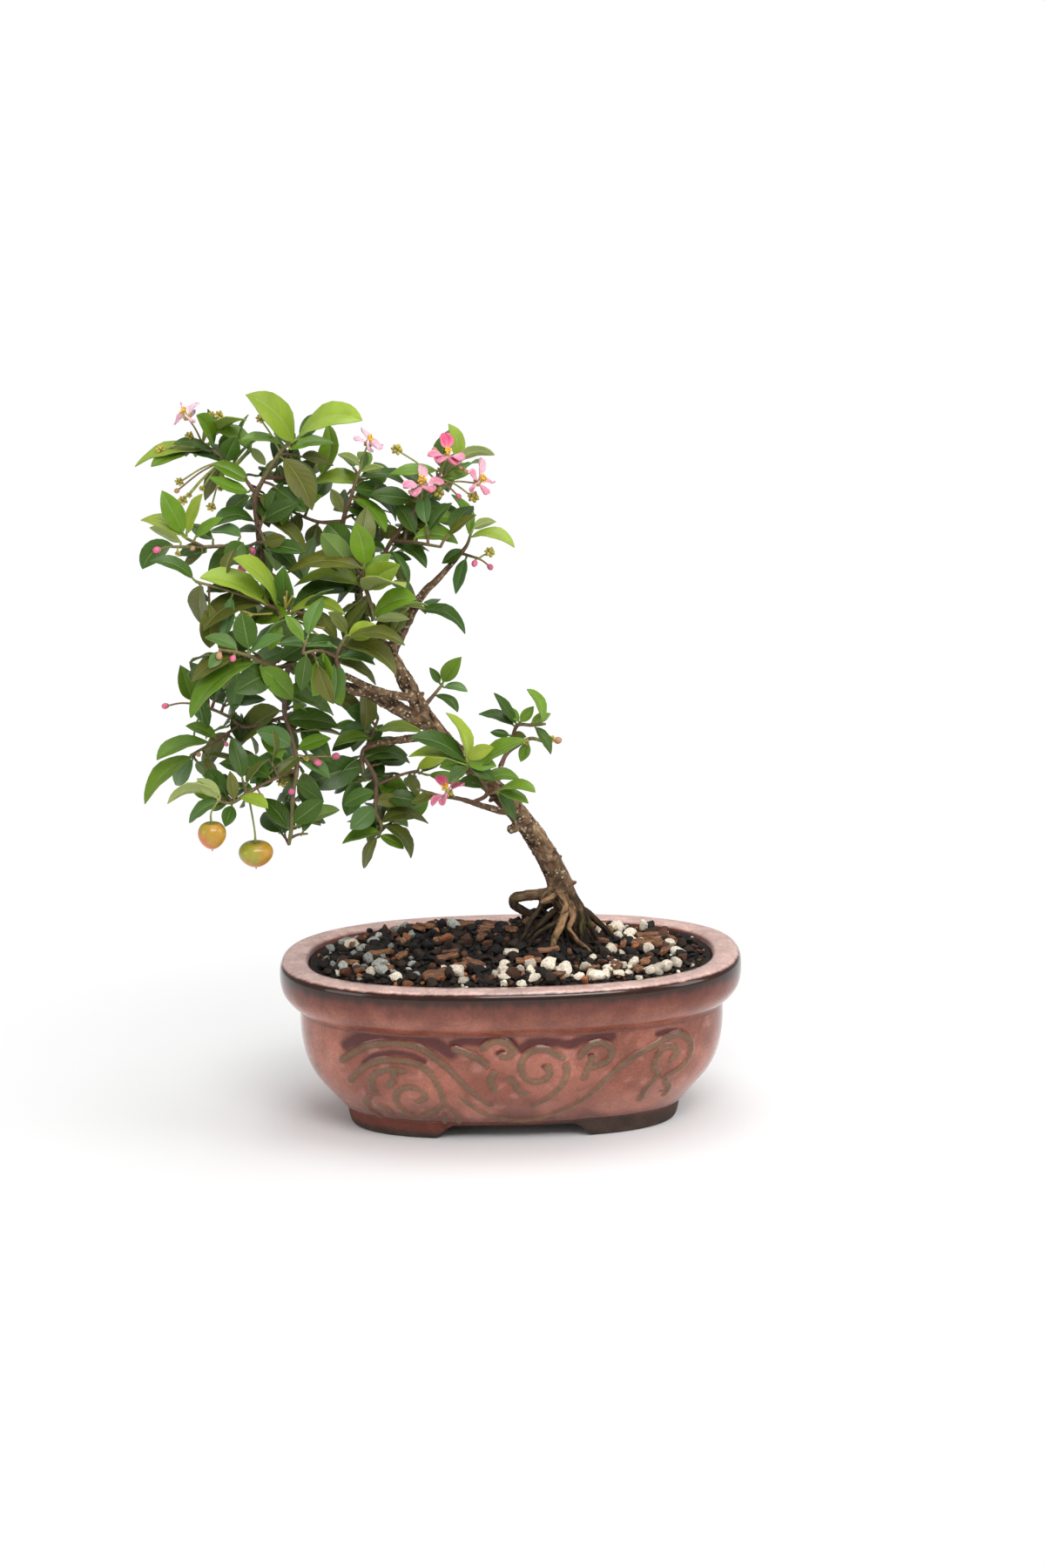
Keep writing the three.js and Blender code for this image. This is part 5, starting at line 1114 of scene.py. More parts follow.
def add_knot(shells, centre, radius, toward, random):
    """A knot of yellow-green calyxes round an ochre heart."""
    for i in range(KNOTS):
        height = 1 - 2 * (i + 0.5) / KNOTS
        ring = math.sqrt(1 - height * height)
        out = np.array([ring * math.cos(i * SPIRAL_TURN), ring * math.sin(i * SPIRAL_TURN), height])
        tint = blend(BUD_GREEN, BUD_OCHRE, random()) * (0.75 + 0.6 * random())
        place = centre + out * radius * 0.66
        add_ball(shells, place, (radius * 0.3, radius * 0.42), out, tint, 0, SMALL_BALL, 0.1)
    add_ball(shells, centre, (radius * 0.62, radius * 0.62), toward, BUD_OCHRE * 0.35, 0)


def add_bud(shells, start, centre, radius, kind, random):
    """A pink bud (p), a small reddish one (r) or a knot of calyxes (y), on its stalk."""
    toward = unit(centre - start)
    stalk_tint = STALK_GREEN if kind == "y" else STALK_RED
    add_stalk(shells, start, centre - toward * radius * 0.6, STALK_RADIUS, stalk_tint, 0, 0.06)
    if kind == "y":
        add_knot(shells, centre, radius, toward, random)
        return
    tint = BUD_PINK * (0.8 + 0.5 * random()) if kind == "p" else BUD_RED
    add_ball(shells, centre, (radius * 0.95, radius * 1.08), toward, tint, 1, grain=0.12)
    add_glands(shells, centre - toward * radius * 0.75, toward, radius * 0.5, 6, 0, random)


# Each petal's tip to the right of the heart and above it, its blade's shown width, and how deep its pink is;
# then where the anthers' crown shows, and its spread.
PETAL_MARKS = {
    "bloom_top_left": (
        [(4.3, 6.2, 2.5, 0.2), (-5.7, -1.9, 3, 0.3), (1.7, 1.6, 2, 0.2), (-3, 5, 2, 0.15),
         (3, -3.5, 1.5, 0.3)], (-1.7, 2.8), 1.5),
    "bloom_top": (
        [(-2.5, 6.3, 3, 0.2), (-5.3, 0.5, 1.5, 0.15), (4.5, 0.2, 2, 0.25), (5.1, -3.4, 1.5, 0.2),
         (0.4, -3.6, 2, 0.15)], (0.8, 1.6), 1.3),
    "bloom_upper_right": (
        [(-1, 9.8, 6, 1), (-8.1, -0.3, 2.8, 0.7), (-3.5, -3.7, 3.3, 0.75), (4, -4.5, 3.5, 0.8),
         (7.1, -2.3, 2.5, 0.65)], (0.4, 1.9), 1.3),
    "bloom_right": (
        [(-0.6, 8.7, 4.2, 0.25), (-8, -1.5, 3.5, 0.6), (-2.8, -5.4, 3, 0.65), (4.2, -3.7, 3.5, 0.7),
         (9.1, 1.3, 3, 0.6)], (0, 1.9), 2),
    "bloom_far_right": (
        [(1.1, 10.2, 2.8, 0.25), (-3.4, 3, 2.5, 0.6), (3, -6, 2.5, 0.7), (6, 0.5, 2, 0.5),
         (-3.5, -4, 1.5, 0.6)], (2.6, 1.6), 1.6),
    # Its first, widest petal is the deepest pink, partly as painted shade.
    "bloom_lower_right": (
        [(-4.6, 6.9, 4.8, 1), (5.7, 9.6, 2.3, 0.85), (6.5, 3.4, 2.3, 0.85), (-6.9, -5.7, 2.2, 0.8),
         (-1.9, -5.4, 2, 0.8)], (-1.5, 2.9), 1.7),
}
PETAL_REACH = 9
PETAL_BREADTH = 0.66
PETAL_PALE = np.array([0.86, 0.6, 0.7])
PETAL_DEEP = np.array([0.72, 0.075, 0.2])
ANTHER_TINT = np.array([0.85, 0.5, 0.035])
FILAMENT_TINT = (0.7, 0.6, 0.22)
PISTIL_TINT = (0.35, 0.4, 0.06)
STAMENS = 12
# Where a petal's claw opens into its blade, as a share of its length.
CLAW_END = 0.26
PETAL_THICKNESS = 0.22


def petal_normal(centre, tip, wide, face):
    """How the blade must be turned to show its width, with its upper side to the face."""
    full_width = np.linalg.norm(tip - centre) * PETAL_BREADTH
    ways = facings(EYE - centre, unit(tip - centre), wide / full_width)
    best = max(ways, key=lambda way: abs(way.dot(face)))
    return best if best.dot(face) > 0 else -best


def add_petal(shells, centre, tip, wide, face, pinkness, random):
    """A narrow claw that opens into a rounded, ruffled blade."""
    reach = np.linalg.norm(tip - centre)
    normal = petal_normal(centre, tip, wide, face)
    base = centre + unit(tip - centre) * 0.7
    shape = {"base": base, "tip": tip, "normal": normal, "bend": (base + tip) / 2 + face * 0.12 * reach}
    t = np.linspace(0, 1, 19)
    s = np.linspace(-1, 1, 15)
    opened = np.clip((t - CLAW_END) / (1 - CLAW_END), 0, 1)
    blade = np.sqrt(np.clip(1 - (2 * opened - 1) ** 2, 0, 1)) ** 0.85
    half = reach * np.maximum(0.04, PETAL_BREADTH / 2 * blade * (t > CLAW_END))
    spread = smoothstep(0.3, 0.7, t)[:, None]
    middle, along, across, up = leaf_stations(shape, t)
    phase = ANY_TURN * random()
    frill = np.sin(6 * math.pi * s[None] + phase + 9 * t[:, None]) * spread * np.abs(s)[None]
    ruffle = np.sin(2.2 * math.pi * s[None] + phase * 2 + 4 * t[:, None]) * spread
    lift = reach * (0.035 * frill + 0.035 * ruffle) + 0.3 * half[:, None] * s[None] ** 2
    ragged = 0.03 * reach * np.cos(8 * math.pi * s[None] + phase) * smoothstep(0.75, 1, t)[:, None]
    points = middle[:, None] + across[:, None] * (half[:, None] * s)[..., None]
    points = points + up[:, None] * lift[..., None] + along[:, None] * ragged[..., None]
    half_thick = up[:, None] * (PETAL_THICKNESS / 2)
    shell_points, faces = thick_sheet(points + half_thick, points - half_thick)
    edge = np.maximum(np.abs(s)[None] ** 3, smoothstep(0.82, 1, t)[:, None])
    streak = 0.12 * np.cos(11 * math.pi * s[None] + phase)
    deep = np.clip(pinkness * (0.8 + 0.25 * spread + streak) * (1 - 0.2 * edge), 0, 1)
    colour = np.concatenate([blend(PETAL_PALE, PETAL_DEEP, deep).reshape(-1, 3)] * 2)
    shells.add(shell_points, faces, colour, (0, 0, 0), 0)


def add_stamens(shells, centre, face, spread, random):
    side, other = square_to(face, [0, 0, 1])
    for i in range(STAMENS):
        out = side * math.cos(i * SPIRAL_TURN) + other * math.sin(i * SPIRAL_TURN)
        tip = centre + face * (2.6 + 1.1 * random()) + out * spread * math.sqrt((i + 0.5) / STAMENS)
        add_stalk(shells, centre + out * 0.5, tip, 0.16, FILAMENT_TINT, 1)
        tint = ANTHER_TINT * (0.75 + 0.5 * random())
        add_ball(shells, tip, (0.5, 0.68), unit(face + out * 0.8), tint, 1, SMALL_BALL, 0.08)


def make_bloom(name, place, looks):
    """Petals at their marks, a calyx under them and stamens round the pistil, on the bloom's stalk."""
    petals, crown, spread = PETAL_MARKS[name]
    centre, start = hung(*place)
    right, up, back = camera_axes().T
    face = unit(right * crown[0] + up * crown[1] + back * 2)
    random = stream(len(name) * 31 + 5)
    shells = Shells()
    for across, above, wide, pinkness in petals:
        shown = right * across + up * above
        deep = math.sqrt(max(0, PETAL_REACH ** 2 - across ** 2 - above ** 2))
        tip = centre + shown - back * math.copysign(deep, shown.dot(face))
        add_petal(shells, centre, tip, wide, face, pinkness, random)
    add_ball(shells, centre - face * 0.8, (1.3, 1), face, BUD_GREEN * 0.7, 1)
    add_glands(shells, centre - face * 0.7, face, 1.5, 8, 1, random)
    add_ball(shells, centre + face * 0.6, (0.8, 1), face, PISTIL_TINT, 1)
    add_stamens(shells, centre, face, spread, random)
    add_stalk(shells, start, centre - face * 1.2, STALK_RADIUS, blend(STALK_RED, STALK_GREEN, 0.5), 1, 0.08)
    return shells.piece(name + "_flower", [looks["petal"], looks["stalk"]], "petal", [name], 60)


FRUIT_GREEN = np.array([0.33, 0.32, 0.03])
FRUIT_GOLD = np.array([0.5, 0.27, 0.025])
FRUIT_BLUSH = np.array([0.7, 0.17, 0.07])
FRUIT_HOLLOW = np.array([0.12, 0.05, 0.015])
SEPAL_TINT = (0.2, 0.22, 0.04)
FRUIT_TIP_TINT = (0.4, 0.14, 0.06)
SEPALS = 5
SEPAL_TURN = 1.2566


def cherry(unit_ball, diameter, height):
    """Three lobes with broad shoulders, hollow round the stalk and narrower below."""
    x, y, z = unit_ball.T
    flat = np.hypot(x, y)
    lobes = 1 + 0.045 * np.cos(3 * np.arctan2(y, x) + 1) * flat
    shoulders = (1 + 0.13 * z - 0.07 * z ** 2) * lobes
    hollow = 1 - 0.34 * np.exp(-(flat / 0.36) ** 2) * (z > 0) - 0.05 * np.exp(-(flat / 0.2) ** 2) * (z < 0)
    wide = [side * shoulders * diameter / 2 for side in (x, y)]
    return np.column_stack([*wide, z * hollow * height / 2])


def cherry_tint(unit_ball, ripe):
    """Green that turns gold, blushes red below and darkens round the stalk."""
    x, _, z = unit_ball.T
    mottle = noise(unit_ball, 0.5, 3)
    gold = smoothstep(-0.5, 0.9, x * 0.9 + 0.35 * mottle + 1.4 * ripe - 0.5)
    blush = smoothstep(0.1, 1.1, -z * 0.8 - x * 0.75 * (ripe > 0.5) + 0.3 * mottle + ripe * 0.3)
    tint = blend(blend(FRUIT_GREEN, FRUIT_GOLD, gold), FRUIT_BLUSH, 0.85 * blush)
    return blend(tint, FRUIT_HOLLOW, smoothstep(0.8, 0.98, z + 0.08 * mottle) * ripe)


def make_fruit(name, fruit, looks):
    """A cherry on its stalk, with sepals at its crown and a dry tip below."""
    place, diameter, height, ripe = fruit
    centre, start = hung(*place)
    points, faces = ball(32, 48)
    shells = Shells()
    shells.add(cherry(points, diameter, height) + centre, faces, cherry_tint(points, ripe), points, 0)
    crown = centre + np.array([0, 0, height * 0.36])
    for i in range(SEPALS):
        out = np.array([math.cos(i * SEPAL_TURN), math.sin(i * SEPAL_TURN), 0.25])
        add_ball(shells, crown + out * 1.1, (0.5, 1.1), out, SEPAL_TINT, 1, SMALL_BALL)
    above = centre + np.array([0, 0, height * 0.5 + 3])
    path = smooth_path([[*start, 0.5], [*above, 0.42], [*crown, 0.6]], 1.0)
    shells.add(*tube(path, 8), STALK_GREEN * 0.8, (0, 0, 0), 1)
    foot = centre - np.array([0, 0, height * 0.46])
    add_stalk(shells, foot, foot - np.array([0.2, 0, 1.3]), 0.25, FRUIT_TIP_TINT, 1)
    return shells.piece(name + "_skin", [looks["fruit"], looks["stalk"]], "fruit", [name], 60)


WOOD_VOXEL = 0.5
WOOD_SIDES = 18
TAN_ROOTS = (1, 2, 7)
SPURS = 22
FINE_ROOTS = 30
# Where the fine roots begin, as x, z and depth on the chart.
ROOT_CROWN = (25, 87, 6)
# Each limb's own run of the bark's pattern begins at a new multiple of this.
LIMB_RUN = 100
BARK_DARK = np.array([0.02, 0.011, 0.006])
BARK_MID = np.array([0.1, 0.052, 0.026])
BARK_TAN = np.array([0.3, 0.195, 0.105])
BARK_YOUNG = np.array([0.15, 0.085, 0.048])
PORE_TINT = np.array([0.42, 0.33, 0.21])
ROOT_TAN = np.array([0.4, 0.23, 0.115])
ROOT_DARK = np.array([0.042, 0.026, 0.013])
ROOT_MOSS = np.array([0.085, 0.085, 0.013])
ROOT_CREASE_SHADE = np.array([0.02, 0.012, 0.007])
DARK_NEAR_SOIL = np.array([0.022, 0.014, 0.009])


def spur(random):
    """A short dead stub on the trunk."""
    trunk = in_space(WOOD[0])
    i = 2 + int(random() * (len(trunk) - 4))
    place = trunk[i] + (trunk[i + 1] - trunk[i]) * random()
    out = unit(np.cross(unit(trunk[i + 1] - trunk[i])[:3], draw_direction(random)))
    far = place[3] + 0.7 + 1.5 * random()
    shares = ((0, 1.3), (0.8, 1.1), (1, 0.7))
    return np.array([[*(place[:3] + out * far * share), radius] for share, radius in shares])


def fine_root(random):
    """A thin root that runs down over the mound from the foot of the trunk."""
    crown = seen(*ROOT_CROWN)
    angle, reach = 2 * math.pi * random(), 11 + 10 * random()
    out = np.array([math.cos(angle), math.sin(angle)])
    across = np.array([-out[1], out[0]]) * (random() - 0.5) * 12
    radius, lift = 0.35 + 0.45 * random(), 5 * random()
    stations = []
    for share in np.linspace(0, 1, 5):
        x, y = crown[:2] + out * (3 + (reach - 3) * share) + across * share * share
        high = max(soil_height(x, y) + 0.9, (1 - share) ** 1.3 * (crown[2] + lift) + share * 76)
        stations.append([x, y, high if share < 1 else soil_height(x, y) - 1, radius * (1.2 - 0.5 * share)])
    return np.array(stations)


def make_wood(look):
    """Trunk, branches and roots melted into one skin, then given ridged bark."""
    shells, samples = Shells(), []
    random = stream(77)
    limbs = [in_space(stations) for stations in WOOD + ROOTS]
    limbs += [fine_root(random) for _ in range(FINE_ROOTS)] + [spur(random) for _ in range(SPURS)]
    for number, stations in enumerate(limbs):
        path = smooth_path(stations, 1.2)
        lump = 1 + 0.09 * noise(path[:, :3], 9) + 0.05 * noise(path[:, :3], 3.5)
        path[:, 3] *= np.where(path[:, 3] > 1.4, lump, 1)
        if len(WOOD) <= number < len(limbs) - SPURS:
            path[1:-1, :3] += 0.5 * np.column_stack([noise(path[1:-1, :3] + k * 17, 5) for k in range(3)])
        shells.add(*tube(path, WOOD_SIDES), (1, 1, 1))
        along = np.concatenate([[0], np.cumsum(np.linalg.norm(np.diff(path[:, :3], axis=0), axis=1))])
        for point, distance, direction in zip(path, along, unit(np.gradient(path[:, :3], axis=0))):
            samples.append((*point, distance, number, *direction))
    source = shells.piece("wood_source", [], "bark")
    remesh = source.modifiers.new("remesh", "REMESH")
    remesh.mode = "VOXEL"
    remesh.voxel_size = WOOD_VOXEL * METRES
    mesh = applied(source)
    bpy.data.objects.remove(source)
    mesh.name = "bark"
    return finish_wood(mesh, np.array(samples), look)


def finish_wood(mesh, samples, look):
    """Raises ridges, plates and pores on the skin round the limbs' samples, and colours them."""
    points, normals = surface(mesh)
    station = samples[nearest(points, samples[:, :3])]
    radius, distance, number, axis = station[:, 3], station[:, 4], station[:, 5], station[:, 6:9]
    out = points - station[:, :3]
    run = distance + LIMB_RUN * number + (out * axis).sum(1)
    side, other = square_to(axis, LIMB_ASKEW)
    turn = np.arctan2((out * other).sum(1), (out * side).sum(1))
    place = np.column_stack([np.cos(turn) * radius, np.sin(turn) * radius, run])
    drawn_out = place / [1, 1, 4.5]
    ridge = noise(drawn_out + run[:, None] * 0.01, 1.15, 3)
    plate = noise(place + 31, 3.2, 2)
    pore = smoothstep(0.3, 0.5, noise(place + 67, 0.95))
    size = np.clip(radius / 5, 0.12, 1)
    rise = size * (0.42 * ridge + 0.3 * plate) + 0.2 * pore * size ** 0.5
    points = points + normals * rise[:, None]
    move_points(mesh, points)
    tint = bark_tint(normals, radius, ridge, plate, pore)
    tint = root_tint(tint, points[:, 2], normals[:, 2], number, ridge, plate)
    dress(mesh, np.clip(tint, 0, 1), place)
    mesh.materials.clear()
    mesh.materials.append(look)
    return placed("bark", mesh, ["trunk_and_branches"])


def bark_tint(normals, radius, ridge, plate, pore):
    """Dark fissures, partly painted shade; ridges tan as painted light facing right; thin limbs evenly brown;
    pale pores.
    """
    # Painted light: how brightly the bark faces right, which turns its ridges tan below.
    lit = np.clip(0.45 + 0.5 * normals[:, 0] + 0.1 * normals[:, 1] + 0.35 * plate, 0, 1)
    # Partly painted shade: darkest in the fissures between the ridges.
    tint = blend(BARK_DARK, BARK_MID, smoothstep(-0.8, 0.15, ridge + 0.4 * plate))
    tint = blend(tint, BARK_TAN, lit * smoothstep(-0.4, 0.9, ridge + 0.2))
    thin = 1 - smoothstep(1.5, 3.6, radius)
    tint = blend(tint, BARK_YOUNG * (1 + 0.35 * ridge[:, None]), 0.65 * thin)
    return blend(tint, PORE_TINT, 0.35 * pore)


def root_tint(tint, height, facing_up, number, ridge, plate):
    """Over the bark's tint: tan roots, dark ones mossy on top with painted shade in creases and below, darker
    at the soil.
    """
    is_root = (number >= len(WOOD)) & (number < len(WOOD + ROOTS) + FINE_ROOTS)
    is_tan = np.isin(number, [len(WOOD) + k for k in TAN_ROOTS])
    root = np.where(is_tan[:, None], ROOT_TAN, ROOT_DARK)
    root = blend(root, ROOT_MOSS, 0.6 * smoothstep(0.2, 0.9, plate + 0.4 * facing_up))
    # Painted shade: darkest in creases and on the sides that face down.
    root = blend(ROOT_CREASE_SHADE, root, smoothstep(-0.6, 0.4, ridge + 0.5 * facing_up))
    tint = blend(tint, root, 0.9 * (is_root * smoothstep(106, 97, height)))
    # Darker towards the soil, less on the tan roots.
    near_soil = smoothstep(92, 79, height + 4 * plate) * np.where(is_tan, 0.4, 0.88)
    return blend(tint, DARK_NEAR_SOIL, near_soil)


def nearest(points, targets):
    """The index of the target nearest to each point."""
    tree = search_tree(targets)
    return np.array([tree.find(p)[1] for p in points])


# Pot


def signed_power(value, power):
    return np.sign(value) * np.abs(value) ** power


def oval_angles(count):
    """Angles that divide the rim's outline into equal lengths, mirrored front to back."""
    fine = np.linspace(0, math.pi, 20001)
    x = RIM_LENGTH / 2 * signed_power(np.cos(fine), 2 / OVAL_POWER)
    y = RIM_WIDTH / 2 * signed_power(np.sin(fine), 2 / OVAL_POWER)
    run = np.concatenate([[0], np.cumsum(np.hypot(np.diff(x), np.diff(y)))])
    half = np.interp(np.linspace(0, run[-1], count // 2 + 1), run, fine)
    return np.concatenate([half, 2 * math.pi - half[-2:0:-1]])


def oval(angles, z, inset, power=OVAL_POWER):
    x = (RIM_LENGTH / 2 - inset) * signed_power(np.cos(angles), 2 / power)
    y = (RIM_WIDTH / 2 - inset) * signed_power(np.sin(angles), 2 / power)
    return np.column_stack([x, y, np.full(len(angles), float(z))])


def oval_cap(count, first, facing_up):
    """A flat fill of a ring of points that is mirrored front to back, as strips across it."""
    i = np.arange(count // 2)
    a, b, c, d = i, i + 1, (count - i - 1) % count, (count - i) % count
    quads = np.stack([a, b, c, d], -1)[1:-1] + first
    ends = np.array([[0, 1, count - 1], [count // 2, count // 2 + 1, count // 2 - 1]]) + first
    return [quads, ends] if facing_up else [quads[:, ::-1], ends[:, ::-1]]


def stacked_faces(rows, count):
    """The faces of a stack of ovals that starts facing down and ends facing up."""
    last = (rows - 1) * count
    return [grid_faces(rows, count, closed=True), *oval_cap(count, 0, False), *oval_cap(count, last, True)]


def foot_power(z):
    return FOOT_POWER + (OVAL_POWER - FOOT_POWER) * min(1, z / FOOT_BLEND_HEIGHT)


def wall_profile():
    """The outer wall's rings as (height, inset), with half the rings left out where it is plain."""
    fine = smooth_path([[inset, z, 0, 0] for z, inset in OUTER_PROFILE], RING_STEP)[:, 1::-1]
    height = fine[:, 0]
    plain = np.any([(height > low) & (height < high) for low, high in PLAIN_HEIGHTS], axis=0)
    return fine[~plain | (np.arange(len(fine)) % 2 == 0)]


def make_pot(look):
    angles = oval_angles(OVAL_SIDES)
    inner = OUTER_PROFILE[0][1] + FOOT_RING
    outside = [(FLOOR_UNDER, inner + 1), (FLOOR_UNDER * 0.6, inner + 0.6), (0.8, inner - 0.3), (0, inner - 1)]
    outside += wall_profile().tolist()
    rings = [oval(angles, z, inset, foot_power(z)) for z, inset in outside]
    rings += [oval(angles, z, inset) for z, inset in INNER_PROFILE]
    points = np.vstack(rings)
    across, height = zip(*NOTCH_PROFILE)
    points[:, 2] = np.maximum(points[:, 2], np.interp(np.abs(points[:, 0]), across, height))
    shells = Shells()
    shells.add(points, stacked_faces(len(rings), OVAL_SIDES), (1, 1, 1))
    pot = shells.piece("glazed_pot", [look], "glaze", ["pot"])
    bore_drains(pot)
    return finish_pot(pot)


def bore_drains(pot):
    for x in (-DRAIN_X, DRAIN_X):
        cutter = Shells()
        path = np.array([[x, 0, z, DRAIN_RADIUS] for z in (-2, FLOOR_UNDER, FLOOR_TOP + 4)], float)
        cutter.add(*tube(path, DRAIN_SIDES), (1, 1, 1))
        tool = cutter.piece("drain_tool", [], "glaze")
        cut = pot.modifiers.new("drain", "BOOLEAN")
        cut.object = tool
        cut.operation = "DIFFERENCE"
        cut.solver = "EXACT"
        mesh = applied(pot)
        pot.modifiers.clear()
        pot.data = mesh
        bpy.data.objects.remove(tool)


def outline_run(points):
    """How far along the belly each point lies from the middle of the front, or of the back, to the right."""
    angles = np.linspace(0, 2 * math.pi, 4001)
    ring = oval(angles, 0, BELLY_INSET)
    run = np.concatenate([[0], np.cumsum(np.linalg.norm(np.diff(ring, axis=0), axis=1))])
    u = signed_power(points[:, 0] / (RIM_LENGTH / 2 - BELLY_INSET), OVAL_POWER / 2)
    v = signed_power(points[:, 1] / (RIM_WIDTH / 2 - BELLY_INSET), OVAL_POWER / 2)
    at = np.interp(np.arctan2(v, u) % (2 * math.pi), angles, run)
    quarter = run[-1] / 4
    return at % (2 * quarter) - quarter


def finish_pot(pot):
    """Raises the scroll on the outer wall, and colours the glaze."""
    mesh = pot.data
    points, normals = surface(mesh)
    height = points[:, 2]
    outside = (normals[:, :2] * points[:, :2]).sum(1) > 0
    reached = outside & (height > SCROLL_HEIGHT[0]) & (height < SCROLL_HEIGHT[1])
    line, pool = scroll(outline_run(points), height, reached)
    rise = LINE_RISE * line + 0.12 * noise(points, 14) * smoothstep(8, 14, height)
    points = points + normals * rise[:, None]
    move_points(mesh, points)
    for name in ("tint", "place"):
        mesh.attributes.remove(mesh.attributes[name])
    tint = glaze_tint(points, normals, outside, line, pool)
    dress(mesh, tint, np.column_stack([line, pool, height / GLAZE_HEIGHT]), 50)
    return pot


GLAZE = {name: np.array(tint) for name, tint in {
    "wine": (0.255, 0.072, 0.041), "mauve": (0.41, 0.138, 0.088), "rose": (0.5, 0.22, 0.165),
    "groove_shade": (0.15, 0.045, 0.033), "collar": (0.13, 0.026, 0.014), "foot": (0.12, 0.03, 0.02),
    "drip_and_reflection": (0.026, 0.007, 0.002), "lip": (0.76, 0.5, 0.44), "inside": (0.13, 0.035, 0.027),
    "line_edge_shade": (0.13, 0.04, 0.026), "line": (0.185, 0.112, 0.062), "pool": (0.085, 0.007, 0.003),
    "clay": (0.06, 0.036, 0.026),
}.items()}
# Heights where the glaze changes, each from where it begins to where it is complete.
ROSE_TOP = 53
GROOVE_HEIGHT = 53.8
COLLAR_DARKENS = (58, 69)
FOOT_DARKENS = (16, 9.5)
DARK_BAND_BEGINS = (67.6, 71.6)
DARK_BAND_ENDS = (74.9, 74.2)
LIP_PALES = (74.3, 75.1)
INSIDE_TOP = 74.4
# The height that the glaze's material counts as 1, and where clay turns to glaze on that scale.
GLAZE_HEIGHT = 80
CLAY_FADE = (0.095, 0.112)


def glaze_tint(points, normals, outside, line, pool):
    """Clouds of wine and mauve with rose flecks on the belly, and other tints above, below and inside."""
    height = points[:, 2]
    cloud = noise(points, 16, 3)
    fleck = noise(points, 5, 3)
    tint = blend(GLAZE["wine"], GLAZE["mauve"], smoothstep(-0.7, 0.8, cloud))
    tint = blend(tint, GLAZE["rose"], 0.5 * smoothstep(0.2, 1, fleck) * (height < ROSE_TOP))
    # Painted shade: a dark line along the groove below the lip.
    tint = blend(tint, GLAZE["groove_shade"], 0.75 * np.exp(-((height - GROOVE_HEIGHT) / 0.55) ** 2))
    tint = blend(tint, GLAZE["collar"], 0.9 * smoothstep(*COLLAR_DARKENS, height + 1.5 * fleck))
    tint = blend(tint, GLAZE["foot"], 0.8 * smoothstep(*FOOT_DARKENS, height + 2.5 * cloud))
    # The dark band round the outer lip: partly the glaze's own dark drips, partly a painted dark reflection.
    drip_and_reflection = noise(np.column_stack([points[:, :2], height * 0.12]), 2.6, 2)
    band = smoothstep(*DARK_BAND_BEGINS, height + 0.9 * drip_and_reflection) * smoothstep(*DARK_BAND_ENDS, height)
    tint = blend(tint, GLAZE["drip_and_reflection"], 0.97 * band * outside)
    lip = smoothstep(*LIP_PALES, height + 0.25 * drip_and_reflection)
    tint = blend(tint, GLAZE["lip"] * (1 + 0.1 * cloud[:, None]), lip)
    inside = ~outside & (height > FLOOR_TOP) & (height < INSIDE_TOP)
    tint = np.where(inside[:, None], GLAZE["inside"], tint)
    tint = scroll_tint(tint, cloud, fleck, line, pool)
    return blend(tint, GLAZE["clay"] * (1 + 0.3 * fleck[:, None]), bare_clay(points, normals, fleck))


def scroll_tint(tint, cloud, fleck, line, pool):
    """Over the tint of the belly: brown lines with painted shade along their edges, and the dark pools over
    them.
    """
    # Painted shade along both edges of each line.
    tint = blend(tint, GLAZE["line_edge_shade"], 0.6 * np.clip(4 * line * (1 - line), 0, 1))
    ribbon = GLAZE["line"] * (1 + 0.15 * cloud[:, None])
    tint = blend(tint, ribbon, 0.92 * smoothstep(0.35, 0.85, line))
    return blend(tint, GLAZE["pool"], np.minimum(1, pool * (1.2 + 0.3 * fleck)))


def bare_clay(points, normals, fleck):
    """1 where the foot and the underside are left unglazed, higher up the wall towards the right."""
    height = points[:, 2]
    top = 3.6 + 4.2 * smoothstep(-30, 45, points[:, 0])
    clay = smoothstep(1, -1, height - top - 1.6 * noise(points + 9, 30) - 0.5 * fleck) * (height < 12)
    under = (normals[:, 2] < -0.6) & (height < 8)
    return np.where(under, 1, clay)


